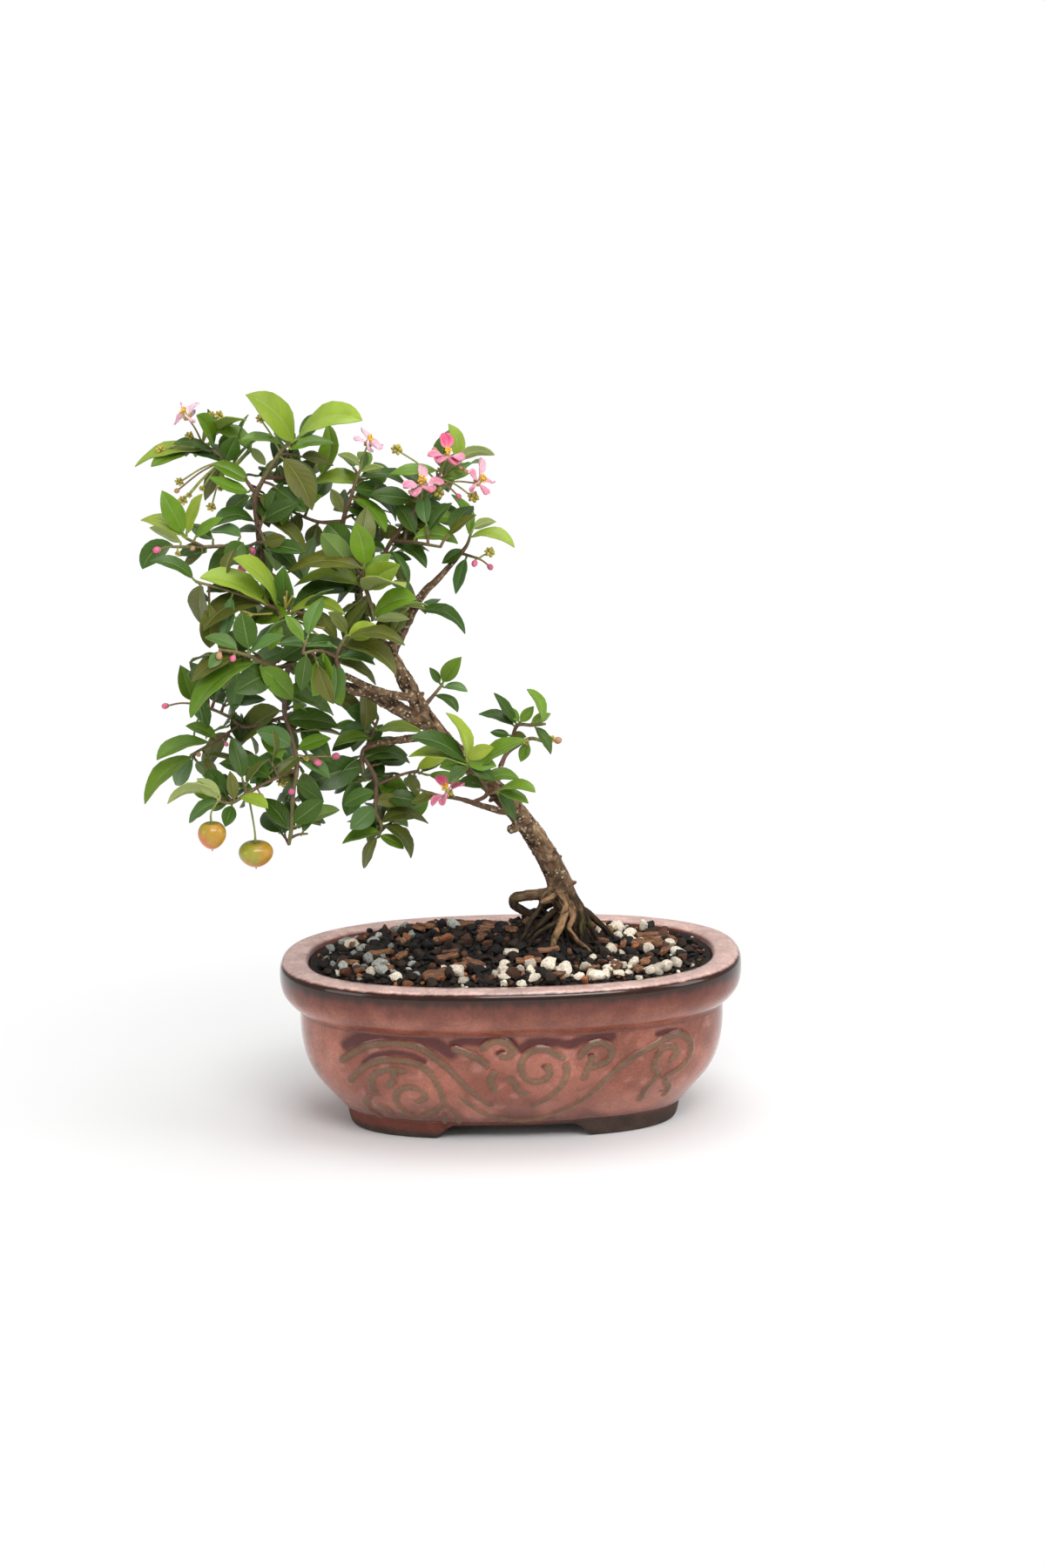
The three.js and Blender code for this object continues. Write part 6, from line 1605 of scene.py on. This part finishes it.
# The scroll, as the photograph's pixels show it on the front of the pot. The back repeats it. A fade is where
# a line ends, counted from its middle in half widths.
LINE_RISE = 1.0
LINE_WIDTH = 2.8
LINE_FADE = 1.45
POOL_FADE = 1.5
LINE_STEP = 0.15
SCROLL_LINES = [
    [(393, 1217), (405, 1209), (420, 1201), (440, 1198), (460, 1198), (480, 1202), (497, 1212), (513, 1225),
     (527, 1238), (540, 1251), (552, 1261), (563, 1268)],
    [(532, 1260), (545, 1271), (560, 1279), (580, 1284), (600, 1285), (620, 1282), (640, 1275), (660, 1266),
     (680, 1253), (692, 1242), (705, 1229), (720, 1217), (737, 1207), (752, 1199), (766, 1191), (779, 1187),
     (789, 1191), (793, 1200), (791, 1211), (784, 1221), (774, 1229), (763, 1235)],
    [(403, 1240), (412, 1230), (425, 1221), (440, 1217), (456, 1217), (471, 1219), (485, 1224), (495, 1233),
     (503, 1245), (508, 1257), (512, 1267), (520, 1274), (527, 1280), (527, 1287)],
    [(463, 1229), (448, 1227), (435, 1230), (428, 1238), (429, 1248), (433, 1256)],
    [(452, 1231), (453, 1238), (447, 1246)],
    [(425, 1257), (422, 1266), (428, 1274), (438, 1280)],
    [(436, 1267), (445, 1270), (450, 1277)],
    [(480, 1264), (487, 1261), (488, 1255), (481, 1250), (470, 1248), (459, 1251), (455, 1259), (460, 1269),
     (470, 1277), (484, 1280), (497, 1276), (507, 1269)],
    [(511, 1279), (511, 1287)],
    [(522, 1204), (535, 1209), (548, 1214), (559, 1222)],
    [(567, 1231), (563, 1240), (568, 1252)],
    [(555, 1203), (563, 1197), (573, 1195), (583, 1198), (589, 1205), (585, 1212), (576, 1212)],
    [(586, 1238), (592, 1245), (596, 1252), (604, 1254)],
    [(646, 1214), (636, 1208), (622, 1204), (609, 1207), (601, 1215), (598, 1226), (603, 1236), (613, 1241),
     (624, 1239), (631, 1232), (629, 1225)],
    [(650, 1223), (650, 1235), (644, 1246), (635, 1255), (623, 1263), (611, 1268)],
    [(666, 1212), (673, 1203), (683, 1198), (694, 1198), (702, 1205), (701, 1214), (693, 1220),
     (682, 1224)],
    [(679, 1214), (677, 1221), (674, 1229), (670, 1236)],
    [(770, 1216), (776, 1208), (772, 1201), (762, 1203), (754, 1212), (751, 1223), (754, 1233), (747, 1242),
     (740, 1251), (734, 1261)],
    [(763, 1240), (767, 1247), (762, 1255)],
]
# Where dark glaze gathered above the lines, with its width in millimetres.
POOLS = [
    (5, [(398, 1200), (412, 1192), (430, 1188), (450, 1187), (470, 1188), (490, 1194), (505, 1201),
         (518, 1210)]),
    (2.4, [(418, 1220), (430, 1212), (445, 1209), (460, 1209), (475, 1212), (487, 1218)]),
    (3.4, [(519, 1199), (535, 1195), (550, 1196), (560, 1190), (573, 1188), (584, 1192), (593, 1202)]),
    (4, [(599, 1204), (610, 1197), (622, 1196), (640, 1197), (655, 1199), (668, 1194), (680, 1190),
         (702, 1190)]),
    (2.4, [(755, 1187), (769, 1183), (782, 1184)]), (2.2, [(572, 1209), (577, 1207)]),
    (2.4, [(625, 1224), (628, 1226)]), (1.8, [(677, 1211), (680, 1211)]),
    (1.4, [(757, 1252), (759, 1252)]), (1.6, [(451, 1228), (457, 1228)]),
]
SCROLL_HEIGHT = (6.5, 53.2)


def profile_run(height):
    """How far up the outer wall a height lies, measured along the wall."""
    z, inset = np.array(OUTER_PROFILE).T
    run = np.concatenate([[0], np.cumsum(np.hypot(np.diff(z), np.diff(inset)))])
    return np.interp(height, z, run)


def on_wall(pixels):
    """Where the photograph's pixels lie on the pot's front: how far right of its middle and up the wall."""
    pixels = np.array(pixels, float)
    rays = np.column_stack([pixels[:, 0] - PHOTO_CENTRE[0], PHOTO_CENTRE[1] - pixels[:, 1],
                            np.full(len(pixels), -PHOTO_FOCUS)]) @ camera_axes().T
    rays /= rays[:, 1:2]
    z, inset = np.array(OUTER_PROFILE).T
    near, far = np.full(len(rays), -80.0), np.full(len(rays), -5.0)
    for _ in range(30):
        depth = (near + far) / 2
        points = CAMERA_PLACE + rays * (depth - CAMERA_PLACE[1])[:, None]
        back = np.interp(points[:, 2], z, inset)
        reach = np.abs(points[:, 0] / (RIM_LENGTH / 2 - back)) ** OVAL_POWER
        reach = reach + np.abs(points[:, 1] / (RIM_WIDTH / 2 - back)) ** OVAL_POWER
        near, far = np.where(reach > 1, depth, near), np.where(reach > 1, far, depth)
    return np.column_stack([outline_run(points), profile_run(points[:, 2])])


def drawn_line(pixels):
    """Points LINE_STEP apart on a smooth line through the pixels, on the unrolled wall."""
    flat = on_wall(pixels)
    path = smooth_path(np.column_stack([flat, np.zeros(len(flat)), np.zeros(len(flat))]), LINE_STEP)
    return path[:, :2]


def scroll(run, height, where):
    """How far each point lies on a raised scroll line, and how much dark glaze gathered there, as 0 to 1."""
    flat = np.column_stack([run, profile_run(height), np.zeros(len(run))])
    flat[:, :2] += 0.12 * np.column_stack([noise(flat, 3), noise(flat + 50, 3)])
    line, pool = np.zeros(len(run)), np.zeros(len(run))
    drawn = [(LINE_WIDTH, LINE_FADE, pixels, line) for pixels in SCROLL_LINES]
    drawn += [(width, POOL_FADE, pixels, pool) for width, pixels in POOLS]
    for width, fade, pixels, value in drawn:
        path = drawn_line(pixels)
        low, high = path.min(0) - width, path.max(0) + width
        near = np.nonzero(where & np.all((flat[:, :2] > low) & (flat[:, :2] < high), axis=1))[0]
        tree = search_tree([(u, v, 0) for u, v in path])
        for i in near:
            away = tree.find(flat[i])[2] / (width / 2)
            value[i] = max(value[i], min(1, max(0, fade - away)))
    return line * line * (3 - 2 * line), pool * (1 - np.minimum(1, line * 1.5))


# Potting mix

SOIL_EDGE_HEIGHT = 73
SOIL_RISE = 3.4
# Mounds on the mix, as (x, y, rise, spread).
SOIL_HUMPS = [(12, 8, 15, 10), (-35, 24, 3.4, 20)]
SOIL_INSET = RIM_TOP_WIDTH + 0.9
SOIL_SIDES = 160
# The wall of the block of mix inside the pot, as (height, inset).
SOIL_PROFILE = [
    (FLOOR_TOP + SOIL_CLEARANCE, 34.3), (15, 29.3), (24, 21.6), (37, 16.8), (58, 15.3),
    (SOIL_EDGE_HEIGHT, SOIL_INSET),
]
SOIL_DARK = np.array([0.014, 0.01, 0.008])
CHIP_DARK = np.array([0.09, 0.035, 0.018])
CHIP_TAN = np.array([0.36, 0.17, 0.085])
TRUNK_FOOT = (22, 4)
SPLINTERS = 46
# Flakes of bark, as (x, y, length, width, turn).
BARK_CHIPS = [
    (-31, -38, 15, 6.5, 0.55), (-16, -25, 13, 5, -0.95), (46, -30, 9, 5, 1.3), (8, -24, 11, 5, 0.1),
    (-58, -6, 9, 4, 0.4), (62, 17, 10, 5, 0.2),
]


def soil_reach(x, y):
    u = np.abs(x) / (RIM_LENGTH / 2 - RIM_TOP_WIDTH)
    v = np.abs(y) / (RIM_WIDTH / 2 - RIM_TOP_WIDTH)
    return (u ** OVAL_POWER + v ** OVAL_POWER) ** (1 / OVAL_POWER)


def soil_height(x, y):
    reach = np.minimum(1, soil_reach(x, y))
    height = SOIL_EDGE_HEIGHT + SOIL_RISE * (1 - reach * reach)
    for hump_x, hump_y, rise, spread in SOIL_HUMPS:
        height = height + rise * np.exp(-((x - hump_x) ** 2 + (y - hump_y) ** 2) / (2 * spread * spread))
    return height


def from_trunk(x, y):
    return math.hypot(x - TRUNK_FOOT[0], y - TRUNK_FOOT[1])


GRANULE_KINDS = {
    "char": (0.011, 0.0095, 0.009), "humus": (0.03, 0.017, 0.01), "umber": (0.1, 0.04, 0.02),
    "brick": (0.34, 0.12, 0.045), "grey": (0.36, 0.37, 0.33), "cream": (0.8, 0.7, 0.56),
}
# Layers of granules: pitch, radius from and to, and the detail of each granule.
FINE_LAYER = (3.6, 1.2, 2.2, (6, 8))
COARSE_LAYER = (6.6, 2.1, 4.3, (9, 12))
ROW_PITCH = 0.866


def granule_kind(x, y, draw, coarse):
    """Grey pumice gathers on the left, cream on the right and along the front, and neither at the roots."""
    cream = 0.02 + 0.26 * (x > 34) + 0.34 * (y < -26 and x > -8) + 0.05 * (x > 0) + 0.1 * (y < -24)
    grey = 0.01 + 0.26 * (x < -48) + 0.1 * (x < -22)
    if math.hypot(x - 20, y - 8) < 25:
        cream, grey = 0.015, 0
    share = 1 if coarse else 0.12
    for kind, part in (("cream", cream * share), ("grey", grey * share), ("brick", 0.045), ("umber", 0.12),
                       ("humus", 0.26)):
        if draw < part:
            return kind
        draw -= part
    return "char"


def add_granule(shells, centre, size, kind, detail, random):
    """A lump cut flat on several sides: sharp for charcoal and bark, rounder for pumice."""
    points, faces = ball(*detail)
    rounded = kind in ("grey", "cream")
    for _ in range(8 if rounded else 9):
        out = draw_direction(random)
        depth = (0.56 if rounded else 0.5) + 0.24 * random()
        points = points - np.maximum(0, points @ out - depth)[:, None] * out
    points = points * (1 + (0.2 if rounded else 0.07) * noise(points + 90 * random(), 0.6))[:, None]
    points = points * np.array([1, 0.7 + 0.3 * random(), 0.55 + 0.35 * random()]) * size
    spin = turned(random() * ANY_TURN, random() * 1.4 - 0.7)
    tint = np.asarray(GRANULE_KINDS[kind]) * (0.65 + 0.6 * random())
    shells.add(points @ spin.T + centre, faces, tint, (random(), 0, 0))


def scatter(shells, layer, coarse, random):
    """A layer of granules in staggered rows; the coarse ones leave the trunk's foot free."""
    pitch, low, high, detail = layer
    rows = int(RIM_WIDTH / pitch / ROW_PITCH / 2) + 1
    columns = int(RIM_LENGTH / pitch / 2) + 1
    for j in range(-rows, rows + 1):
        for i in range(-columns, columns + 1):
            x = (i + 0.5 * (j % 2) + 0.95 * (random() - 0.5)) * pitch
            y = (j * ROW_PITCH + 0.9 * (random() - 0.5)) * pitch
            size = low + (high - low) * random() ** 1.5
            draw = random()
            if soil_reach(x, y) > 1 - (size + 0.5) / 52:
                continue
            if coarse and from_trunk(x, y) < 15:
                continue
            lift = soil_height(x, y) + size * ((0.15 if coarse else -0.2) + 0.4 * random())
            kind = granule_kind(x, y, draw, coarse)
            add_granule(shells, np.array([x, y, lift]), size, kind, detail, random)


def make_soil(look):
    """A dark block of mix that fills the pot, under granules, flakes and splinters of bark."""
    shells = Shells()
    angles = oval_angles(SOIL_SIDES)
    rings = [oval(angles, z, inset) for z, inset in SOIL_PROFILE]
    for share in np.linspace(0.98, 0.02, 40):
        ring = oval(angles, 0, SOIL_INSET) * share
        ring[:, 2] = soil_height(ring[:, 0], ring[:, 1]) - 0.9 + 0.5 * noise(ring, 2.5)
        rings.append(ring)
    shells.add(np.vstack(rings), stacked_faces(len(rings), SOIL_SIDES), SOIL_DARK, (0.5, 0, 0))
    random = stream(41)
    scatter(shells, FINE_LAYER, False, random)
    scatter(shells, COARSE_LAYER, True, random)
    for chip in BARK_CHIPS:
        add_chip(shells, *chip, random)
    for _ in range(SPLINTERS):
        x, y = (random() - 0.5) * 150, (random() - 0.5) * 84
        if soil_reach(x, y) < 0.86 and from_trunk(x, y) > 13:
            add_chip(shells, x, y, 5 + 6 * random(), 1.6 + 2.2 * random(), 3.14 * random(), random)
    return shells.piece("potting_granules", [look], "mix", ["potting_mix"], 32)


def add_chip(shells, x, y, length, width, turn, random):
    """A weathered flake of bark lying on the mix."""
    t = np.linspace(-1, 1, 12)
    s = np.linspace(-1, 1, 5)
    half = width / 2 * (1 - 0.35 * np.abs(t) ** 3) * (1 + 0.14 * np.sin(5 * t + 6 * random()))
    over = np.empty((12, 5, 3))
    over[..., 0] = t[:, None] * length / 2
    over[..., 1] = half[:, None] * s[None]
    over[..., 2] = 0.8 + 0.3 * np.sin(7 * s[None] + 2 * t[:, None]) - 0.5 * s[None] ** 2
    under = over.copy()
    under[..., 2] = -0.7 - 0.2 * s[None] ** 2
    points, faces = thick_sheet(over, under)
    spin = turned(turn, 0.6 * (random() - 0.3))
    grain = noise(points * np.array([0.3, 2, 2]), 1.5, 2)
    tint = blend(CHIP_DARK, CHIP_TAN, smoothstep(-0.8, 0.8, grain)) * (0.6 + 0.5 * random())
    place = points @ spin.T + np.array([x, y, soil_height(x, y) + 2.4])
    shells.add(place, [f[:, ::-1] for f in faces], tint, (random(), 0, 0))


def make_spray(spray, parts, laid, shoots, looks):
    random = stream(sum(map(ord, spray)))
    leaves = Shells()
    for tone, shape, start in laid:
        add_leaf(leaves, tone, shape, start, random)
    leaves.piece(spray + "_leaves", [looks["leaf"], looks["stalk"]], "leaf", [spray + "_spray"], 50)
    twigs = Shells()
    for stations in [*map(in_space, parts["twigs"]), *shoots]:
        add_twig(twigs, stations, random)
    for x, z, radius, kind, *stalk in parts.get("buds", ()):
        foot = foot_of(parts["twigs"], *(stalk or (x, z)))
        add_bud(twigs, seen(*foot), seen(x, z, foot[2] - 2), radius, kind, random)
    for x0, z0, x1, z1 in BARE_STALKS if spray == "star" else ():
        depth = foot_of(parts["twigs"], x0, z0)[2] - 4
        tip = seen(x1, z1, depth - 2)
        add_stalk(twigs, seen(x0, z0, depth), tip, 0.5, BARE_TINT)
        add_ball(twigs, tip, (0.6, 0.7), (0, 0, 1), BARE_TINT * 1.2, 0, SMALL_BALL)
    twigs.piece(spray + "_twigs", [looks["stalk"], looks["bud"]], "bark", (), 60)


# Materials


class Look:
    """A procedural material round one Principled shader, with short ways to add its nodes."""

    def __init__(self, name, **values):
        self.material = bpy.data.materials.new(name)
        self.material.use_nodes = True
        self.nodes = self.material.node_tree.nodes
        self.shader = self.nodes["Principled BSDF"]
        for key, value in values.items():
            self.shader.inputs[key.replace("_", " ")].default_value = value

    def feed(self, socket, source):
        if isinstance(source, bpy.types.NodeSocket):
            self.material.node_tree.links.new(source, socket)
        elif source is not None:
            socket.default_value = source

    def attribute(self, name):
        node = self.nodes.new("ShaderNodeAttribute")
        node.attribute_name = name
        return node.outputs["Color"] if name == "tint" else node.outputs["Vector"]

    def spread(self, size, stretch, place):
        """Coordinates with one unit to the given size in millimetres, in space or along the given place."""
        node = self.nodes.new("ShaderNodeMapping")
        unit_size = size if place else size * METRES
        node.inputs["Scale"].default_value = [1 / (unit_size * s) for s in stretch]
        self.feed(node.inputs["Vector"], place or self.nodes.new("ShaderNodeTexCoord").outputs["Object"])
        return node.outputs["Vector"]

    def noise(self, size, detail=3.0, stretch=(1, 1, 1), roughness=0.55, place=None):
        """Noise from 0 to 1 with features of the given size, drawn out along each axis by stretch."""
        grain = self.nodes.new("ShaderNodeTexNoise")
        grain.inputs["Scale"].default_value = 1
        grain.inputs["Detail"].default_value = detail
        grain.inputs["Roughness"].default_value = roughness
        self.feed(grain.inputs["Vector"], self.spread(size, stretch, place))
        return grain.outputs["Fac"]

    def dots(self, size, place):
        """1 in small round dots that lie about the given size apart, and 0 between them."""
        cells = self.nodes.new("ShaderNodeTexVoronoi")
        cells.inputs["Scale"].default_value = 1
        self.feed(cells.inputs["Vector"], self.spread(size, (1, 1, 1), place))
        return self.ranged(cells.outputs["Distance"], 0.2, 0.34, 1, 0)

    def math(self, operation, *values):
        node = self.nodes.new("ShaderNodeMath")
        node.operation = operation
        for socket, value in zip(node.inputs, values):
            self.feed(socket, value)
        return node.outputs[0]

    def ranged(self, value, low, high, new_low=0.0, new_high=1.0):
        node = self.nodes.new("ShaderNodeMapRange")
        for key, source in zip(("Value", "From Min", "From Max", "To Min", "To Max"),
                               (value, low, high, new_low, new_high)):
            self.feed(node.inputs[key], source)
        return node.outputs["Result"]

    def parts(self, vector):
        node = self.nodes.new("ShaderNodeSeparateXYZ")
        self.feed(node.inputs[0], vector)
        return node.outputs

    def mix(self, share, a, b, kind="MIX"):
        node = self.nodes.new("ShaderNodeMix")
        node.data_type = "RGBA"
        node.blend_type = kind
        for socket, value in ((node.inputs[0], share), (node.inputs[6], a), (node.inputs[7], b)):
            self.feed(socket, value)
        return node.outputs[2]

    def shade(self, value):
        """A grey as a colour, for mixing by multiplication."""
        node = self.nodes.new("ShaderNodeCombineColor")
        for socket in node.inputs:
            self.feed(socket, value)
        return node.outputs[0]

    def grained(self, grain):
        """The piece's own colours, darker and lighter by a grain."""
        return self.mix(1.0, self.attribute("tint"), self.shade(grain), "MULTIPLY")

    def set(self, **sources):
        for key, source in sources.items():
            self.feed(self.shader.inputs[key.replace("_", " ")], source)
        return self

    def bump(self, height, strength, depth):
        node = self.nodes.new("ShaderNodeBump")
        node.inputs["Strength"].default_value = strength
        node.inputs["Distance"].default_value = depth * METRES
        self.feed(node.inputs["Height"], height)
        self.feed(self.shader.inputs["Normal"], node.outputs["Normal"])
        return self


VEIN_TINT = (0.42, 0.5, 0.2, 1)
UNDERSIDE_TINT = (0.22, 0.3, 0.13, 1)
LENTICEL_TINT = (0.56, 0.47, 0.33, 1)
CLAY_ROUGHNESS = (0.75, 0.75, 0.75, 1)
SCREEN_TINTS = ((0.01, 0.03, 0.018, 1), (0.02, 0.055, 0.03, 1))
CARD_TINTS = ((0.94, 0.94, 0.94, 1), (0.97, 0.97, 0.97, 1))
BLACK = (0, 0, 0, 1)
WHITE = (1, 1, 1, 1)


def leaf_look():
    """A pale midrib and slanted veins on a glossy upper side, and a duller, paler side underneath."""
    look = Look("leaf_blade", Specular_IOR_Level=0.32)
    along, across, over = look.parts(look.attribute("place"))
    side = look.math("ABSOLUTE", across)
    rib = look.ranged(side, 0.015, 0.06, 1, 0)
    slanted = look.math("SUBTRACT", look.math("MULTIPLY", along, 8), look.math("MULTIPLY", side, 2.1))
    vein = look.ranged(look.math("PINGPONG", slanted, 0.5), 0.0, 0.12, 1, 0)
    vein = look.math("MULTIPLY", vein, look.ranged(side, 0.04, 0.3, 0.2, 0.55))
    tint = look.grained(look.ranged(look.noise(6, 2), 0.3, 0.7, 0.9, 1.09))
    pale = look.mix(0.42, tint, VEIN_TINT)
    tint = look.mix(look.math("MULTIPLY", rib, 0.8), tint, pale)
    tint = look.mix(look.math("MULTIPLY", vein, 0.3), tint, pale)
    below = look.math("SUBTRACT", 1.0, over)
    tint = look.mix(look.math("MULTIPLY", below, 0.4), tint, UNDERSIDE_TINT)
    uneven = look.ranged(look.noise(2), 0, 1, -0.06, 0.08)
    look.set(Base_Color=tint, Roughness=look.math("ADD", look.ranged(over, 0, 1, 0.62, 0.36), uneven))
    height = look.math("ADD", look.math("MULTIPLY", vein, -0.6), look.noise(2.8, 2))
    look.bump(height, 0.25, 0.35)
    return look.material


def stem_look():
    look = Look("green_stem", Roughness=0.55)
    look.set(Base_Color=look.grained(look.ranged(look.noise(1.1, 4, (1, 1, 3)), 0.3, 0.7, 0.65, 1.25)))
    look.bump(look.noise(0.7, 4), 0.4, 0.25)
    return look.material


def tinted_look(name, size, low, high, bump, depth, **values):
    """The piece's own colours under a fine grain of light and dark."""
    look = Look(name, **values)
    look.set(Base_Color=look.grained(look.ranged(look.noise(size, 5, roughness=0.6), 0.3, 0.7, low, high)))
    look.bump(look.noise(size * 0.6, 5, roughness=0.65), bump, depth)
    return look.material


def bark_look():
    """Fissures drawn along each limb, and pale pores on the limbs above the roots."""
    look = Look("bark", Roughness=0.85, Specular_IOR_Level=0.25)
    place = look.attribute("place")
    streaks = look.noise(0.75, 4, (1, 1, 7), 0.6, place)
    run = look.parts(place)[2]
    first_root = LIMB_RUN * len(WOOD)
    limb = look.ranged(run, first_root - 1, first_root, 1, 0)
    pores = look.math("MULTIPLY", look.dots(1.9, place), limb)
    fine, broad = look.ranged(streaks, 0.35, 0.65, 0.5, 1.45), look.ranged(look.noise(5), 0.3, 0.7, 0.75, 1.2)
    tint = look.grained(look.math("MULTIPLY", fine, broad))
    look.set(Base_Color=look.mix(look.math("MULTIPLY", pores, 0.85), tint, LENTICEL_TINT))
    rough = look.math("ADD", streaks, look.noise(0.6, 5))
    look.bump(look.math("ADD", look.math("MULTIPLY", pores, 0.5), rough), 0.8, 0.45)
    return look.material


def glaze_look():
    """A glossy coat over the pot's colours that is missing from the clay and thin on the scroll's lines."""
    look = Look("crimson_mauve_glaze", Specular_IOR_Level=0.36, Coat_Roughness=0.05)
    line, _, height = look.parts(look.attribute("place"))
    speck = look.ranged(look.noise(1.1, 6, roughness=0.7), 0.35, 0.7, 0.76, 1.2)
    cloud = look.ranged(look.noise(8, 4), 0.35, 0.65, 0.84, 1.14)
    clay = look.ranged(height, *CLAY_FADE, 1, 0)
    dull = look.math("MAXIMUM", clay, look.math("MULTIPLY", line, 0.75))
    gloss = look.ranged(look.noise(4, 3), 0.3, 0.7, 0.12, 0.24)
    rough = look.mix(dull, look.shade(gloss), CLAY_ROUGHNESS)
    tint = look.grained(look.math("MULTIPLY", speck, cloud))
    look.set(Base_Color=tint, Roughness=rough, Coat_Weight=look.ranged(dull, 0, 1, 0.4, 0))
    look.bump(look.noise(2.4, 4), 0.12, 0.4)
    return look.material


def screen_look():
    look = Look("green_plastic", Roughness=0.5)
    look.set(Base_Color=look.mix(look.noise(3, 3), *SCREEN_TINTS))
    look.bump(look.noise(0.8, 3), 0.2, 0.2)
    return look.material


# Scene


def camera_axes():
    """The camera's right, up and back, as columns."""
    pitch, roll = math.radians(CAMERA_PITCH), math.radians(CAMERA_ROLL)
    right = np.array([1, 0, 0])
    up = np.array([0, math.sin(pitch), math.cos(pitch)])
    back = np.array([0, -math.cos(pitch), math.sin(pitch)])
    turned_right = math.cos(roll) * right - math.sin(roll) * up
    turned_up = math.sin(roll) * right + math.cos(roll) * up
    return np.column_stack([turned_right, turned_up, back])


def aim(item, place, axes):
    """Puts a camera or light at a place, with its right, up and back along the axes' columns."""
    turn = mathutils.Matrix(axes.tolist()).to_4x4()
    move = mathutils.Matrix.Translation(((np.asarray(place, float) + ORIGIN) * METRES).tolist())
    item.matrix_world = move @ turn


def make_camera():
    camera = linked("camera", bpy.data.cameras.new("camera"))
    camera.data.sensor_width = 36
    camera.data.lens = CAMERA_LENS
    aim(camera, CAMERA_PLACE, camera_axes())
    bpy.context.scene.camera = camera


def soft_light(name, place, target, size, power):
    lamp = bpy.data.lights.new(name, "AREA")
    lamp.shape = "RECTANGLE"
    lamp.size, lamp.size_y = size[0] * METRES, size[1] * METRES
    lamp.energy = power
    back = unit(np.asarray(place, float) - np.asarray(target, float))
    right = unit(np.cross([0, 0.01, 1], back))
    aim(linked(name, lamp), place, np.column_stack([right, np.cross(back, right), back]))


def floor_look():
    """White card that takes real shadows near the pot, and is as bright as the backdrop further out."""
    look = Look("pale_floor", Roughness=0.9, Specular_IOR_Level=0.1, Emission_Color=WHITE)
    coordinates = look.nodes.new("ShaderNodeTexCoord")
    distance = look.nodes.new("ShaderNodeVectorMath")
    distance.operation = "LENGTH"
    look.feed(distance.inputs[0], coordinates.outputs["Object"])
    glow = look.ranged(distance.outputs["Value"], *[reach * METRES for reach in FLOOR_GLOW], 0, 1)
    card = look.mix(look.noise(60, 2), *CARD_TINTS)
    look.set(Base_Color=look.mix(glow, card, BLACK), Emission_Strength=glow)
    return look.material


def make_stage():
    mesh = bpy.data.meshes.new("floor")
    edge = FLOOR_REACH * METRES
    corners = [(-edge, -edge, 0), (edge, -edge, 0), (edge, edge, 0), (-edge, edge, 0)]
    mesh.from_pydata(corners, [], [(0, 1, 2, 3)])
    mesh.materials.append(floor_look())
    floor = linked("floor", mesh)
    make_world()
    for light in LIGHTS:
        soft_light(*light)


def make_world():
    """A white backdrop that lights the object less than it shows."""
    world = bpy.data.worlds.new("studio")
    world.use_nodes = True
    nodes, links = world.node_tree.nodes, world.node_tree.links
    path = nodes.new("ShaderNodeLightPath")
    strength = nodes.new("ShaderNodeMapRange")
    strength.inputs["To Min"].default_value = WORLD_STRENGTH
    strength.inputs["To Max"].default_value = 1
    links.new(path.outputs["Is Camera Ray"], strength.inputs["Value"])
    background = nodes["Background"]
    background.inputs["Color"].default_value = WHITE
    links.new(strength.outputs["Result"], background.inputs["Strength"])
    bpy.context.scene.world = world
    bpy.context.scene.view_settings.view_transform = "Standard"


FLOOR_REACH = 6000
FLOOR_GLOW = (70, 300)
WORLD_STRENGTH = 0.38
# Name, place, target, size and watts.
LIGHTS = [
    ("key", (210, -820, 900), (0, 0, 120), (620, 420), 6.5),
    ("top", (60, 60, 1250), (0, 0, 120), (900, 700), 6.5),
    ("fill", (-850, -500, 420), (0, 0, 120), (500, 500), 1.6),
    ("side", (900, -350, 520), (0, 0, 120), (420, 620), 2.6),
]


def make_looks():
    return {
        "leaf": leaf_look(),
        "stalk": stem_look(),
        "bud": tinted_look("bud", 1.5, 0.8, 1.2, 0.2, 0.2, Roughness=0.45),
        "petal": tinted_look("petal", 1.6, 0.86, 1.1, 0.25, 0.25, Roughness=0.55, Sheen_Weight=0.3),
        "fruit": tinted_look("fruit_skin", 2.2, 0.88, 1.12, 0.1, 0.2, Roughness=0.32, Coat_Weight=0.25),
        "bark": bark_look(),
        "mix": tinted_look("potting_mix", 0.9, 0.6, 1.35, 0.7, 0.4, Roughness=0.8, Specular_IOR_Level=0.4),
    }


def dress_screens():
    """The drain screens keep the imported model's shapes."""
    look = screen_look()
    for side in ("left", "right"):
        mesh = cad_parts["drain_screen_" + side].data
        mesh.materials.clear()
        mesh.materials.append(look)


def main():
    looks = make_looks()
    laid, filled = lay_leaves()
    shoots = add_shade(laid, filled)
    for spray, parts in SPRAYS.items():
        make_spray(spray, parts, laid[spray], shoots[spray], looks)
    for name, bloom in BLOOMS.items():
        make_bloom(name, bloom[0], looks)
    for name, fruit in FRUITS.items():
        make_fruit(name, fruit, looks)
    make_wood(looks["bark"])
    make_pot(glaze_look())
    make_soil(looks["mix"])
    dress_screens()
    make_stage()
    make_camera()


main()
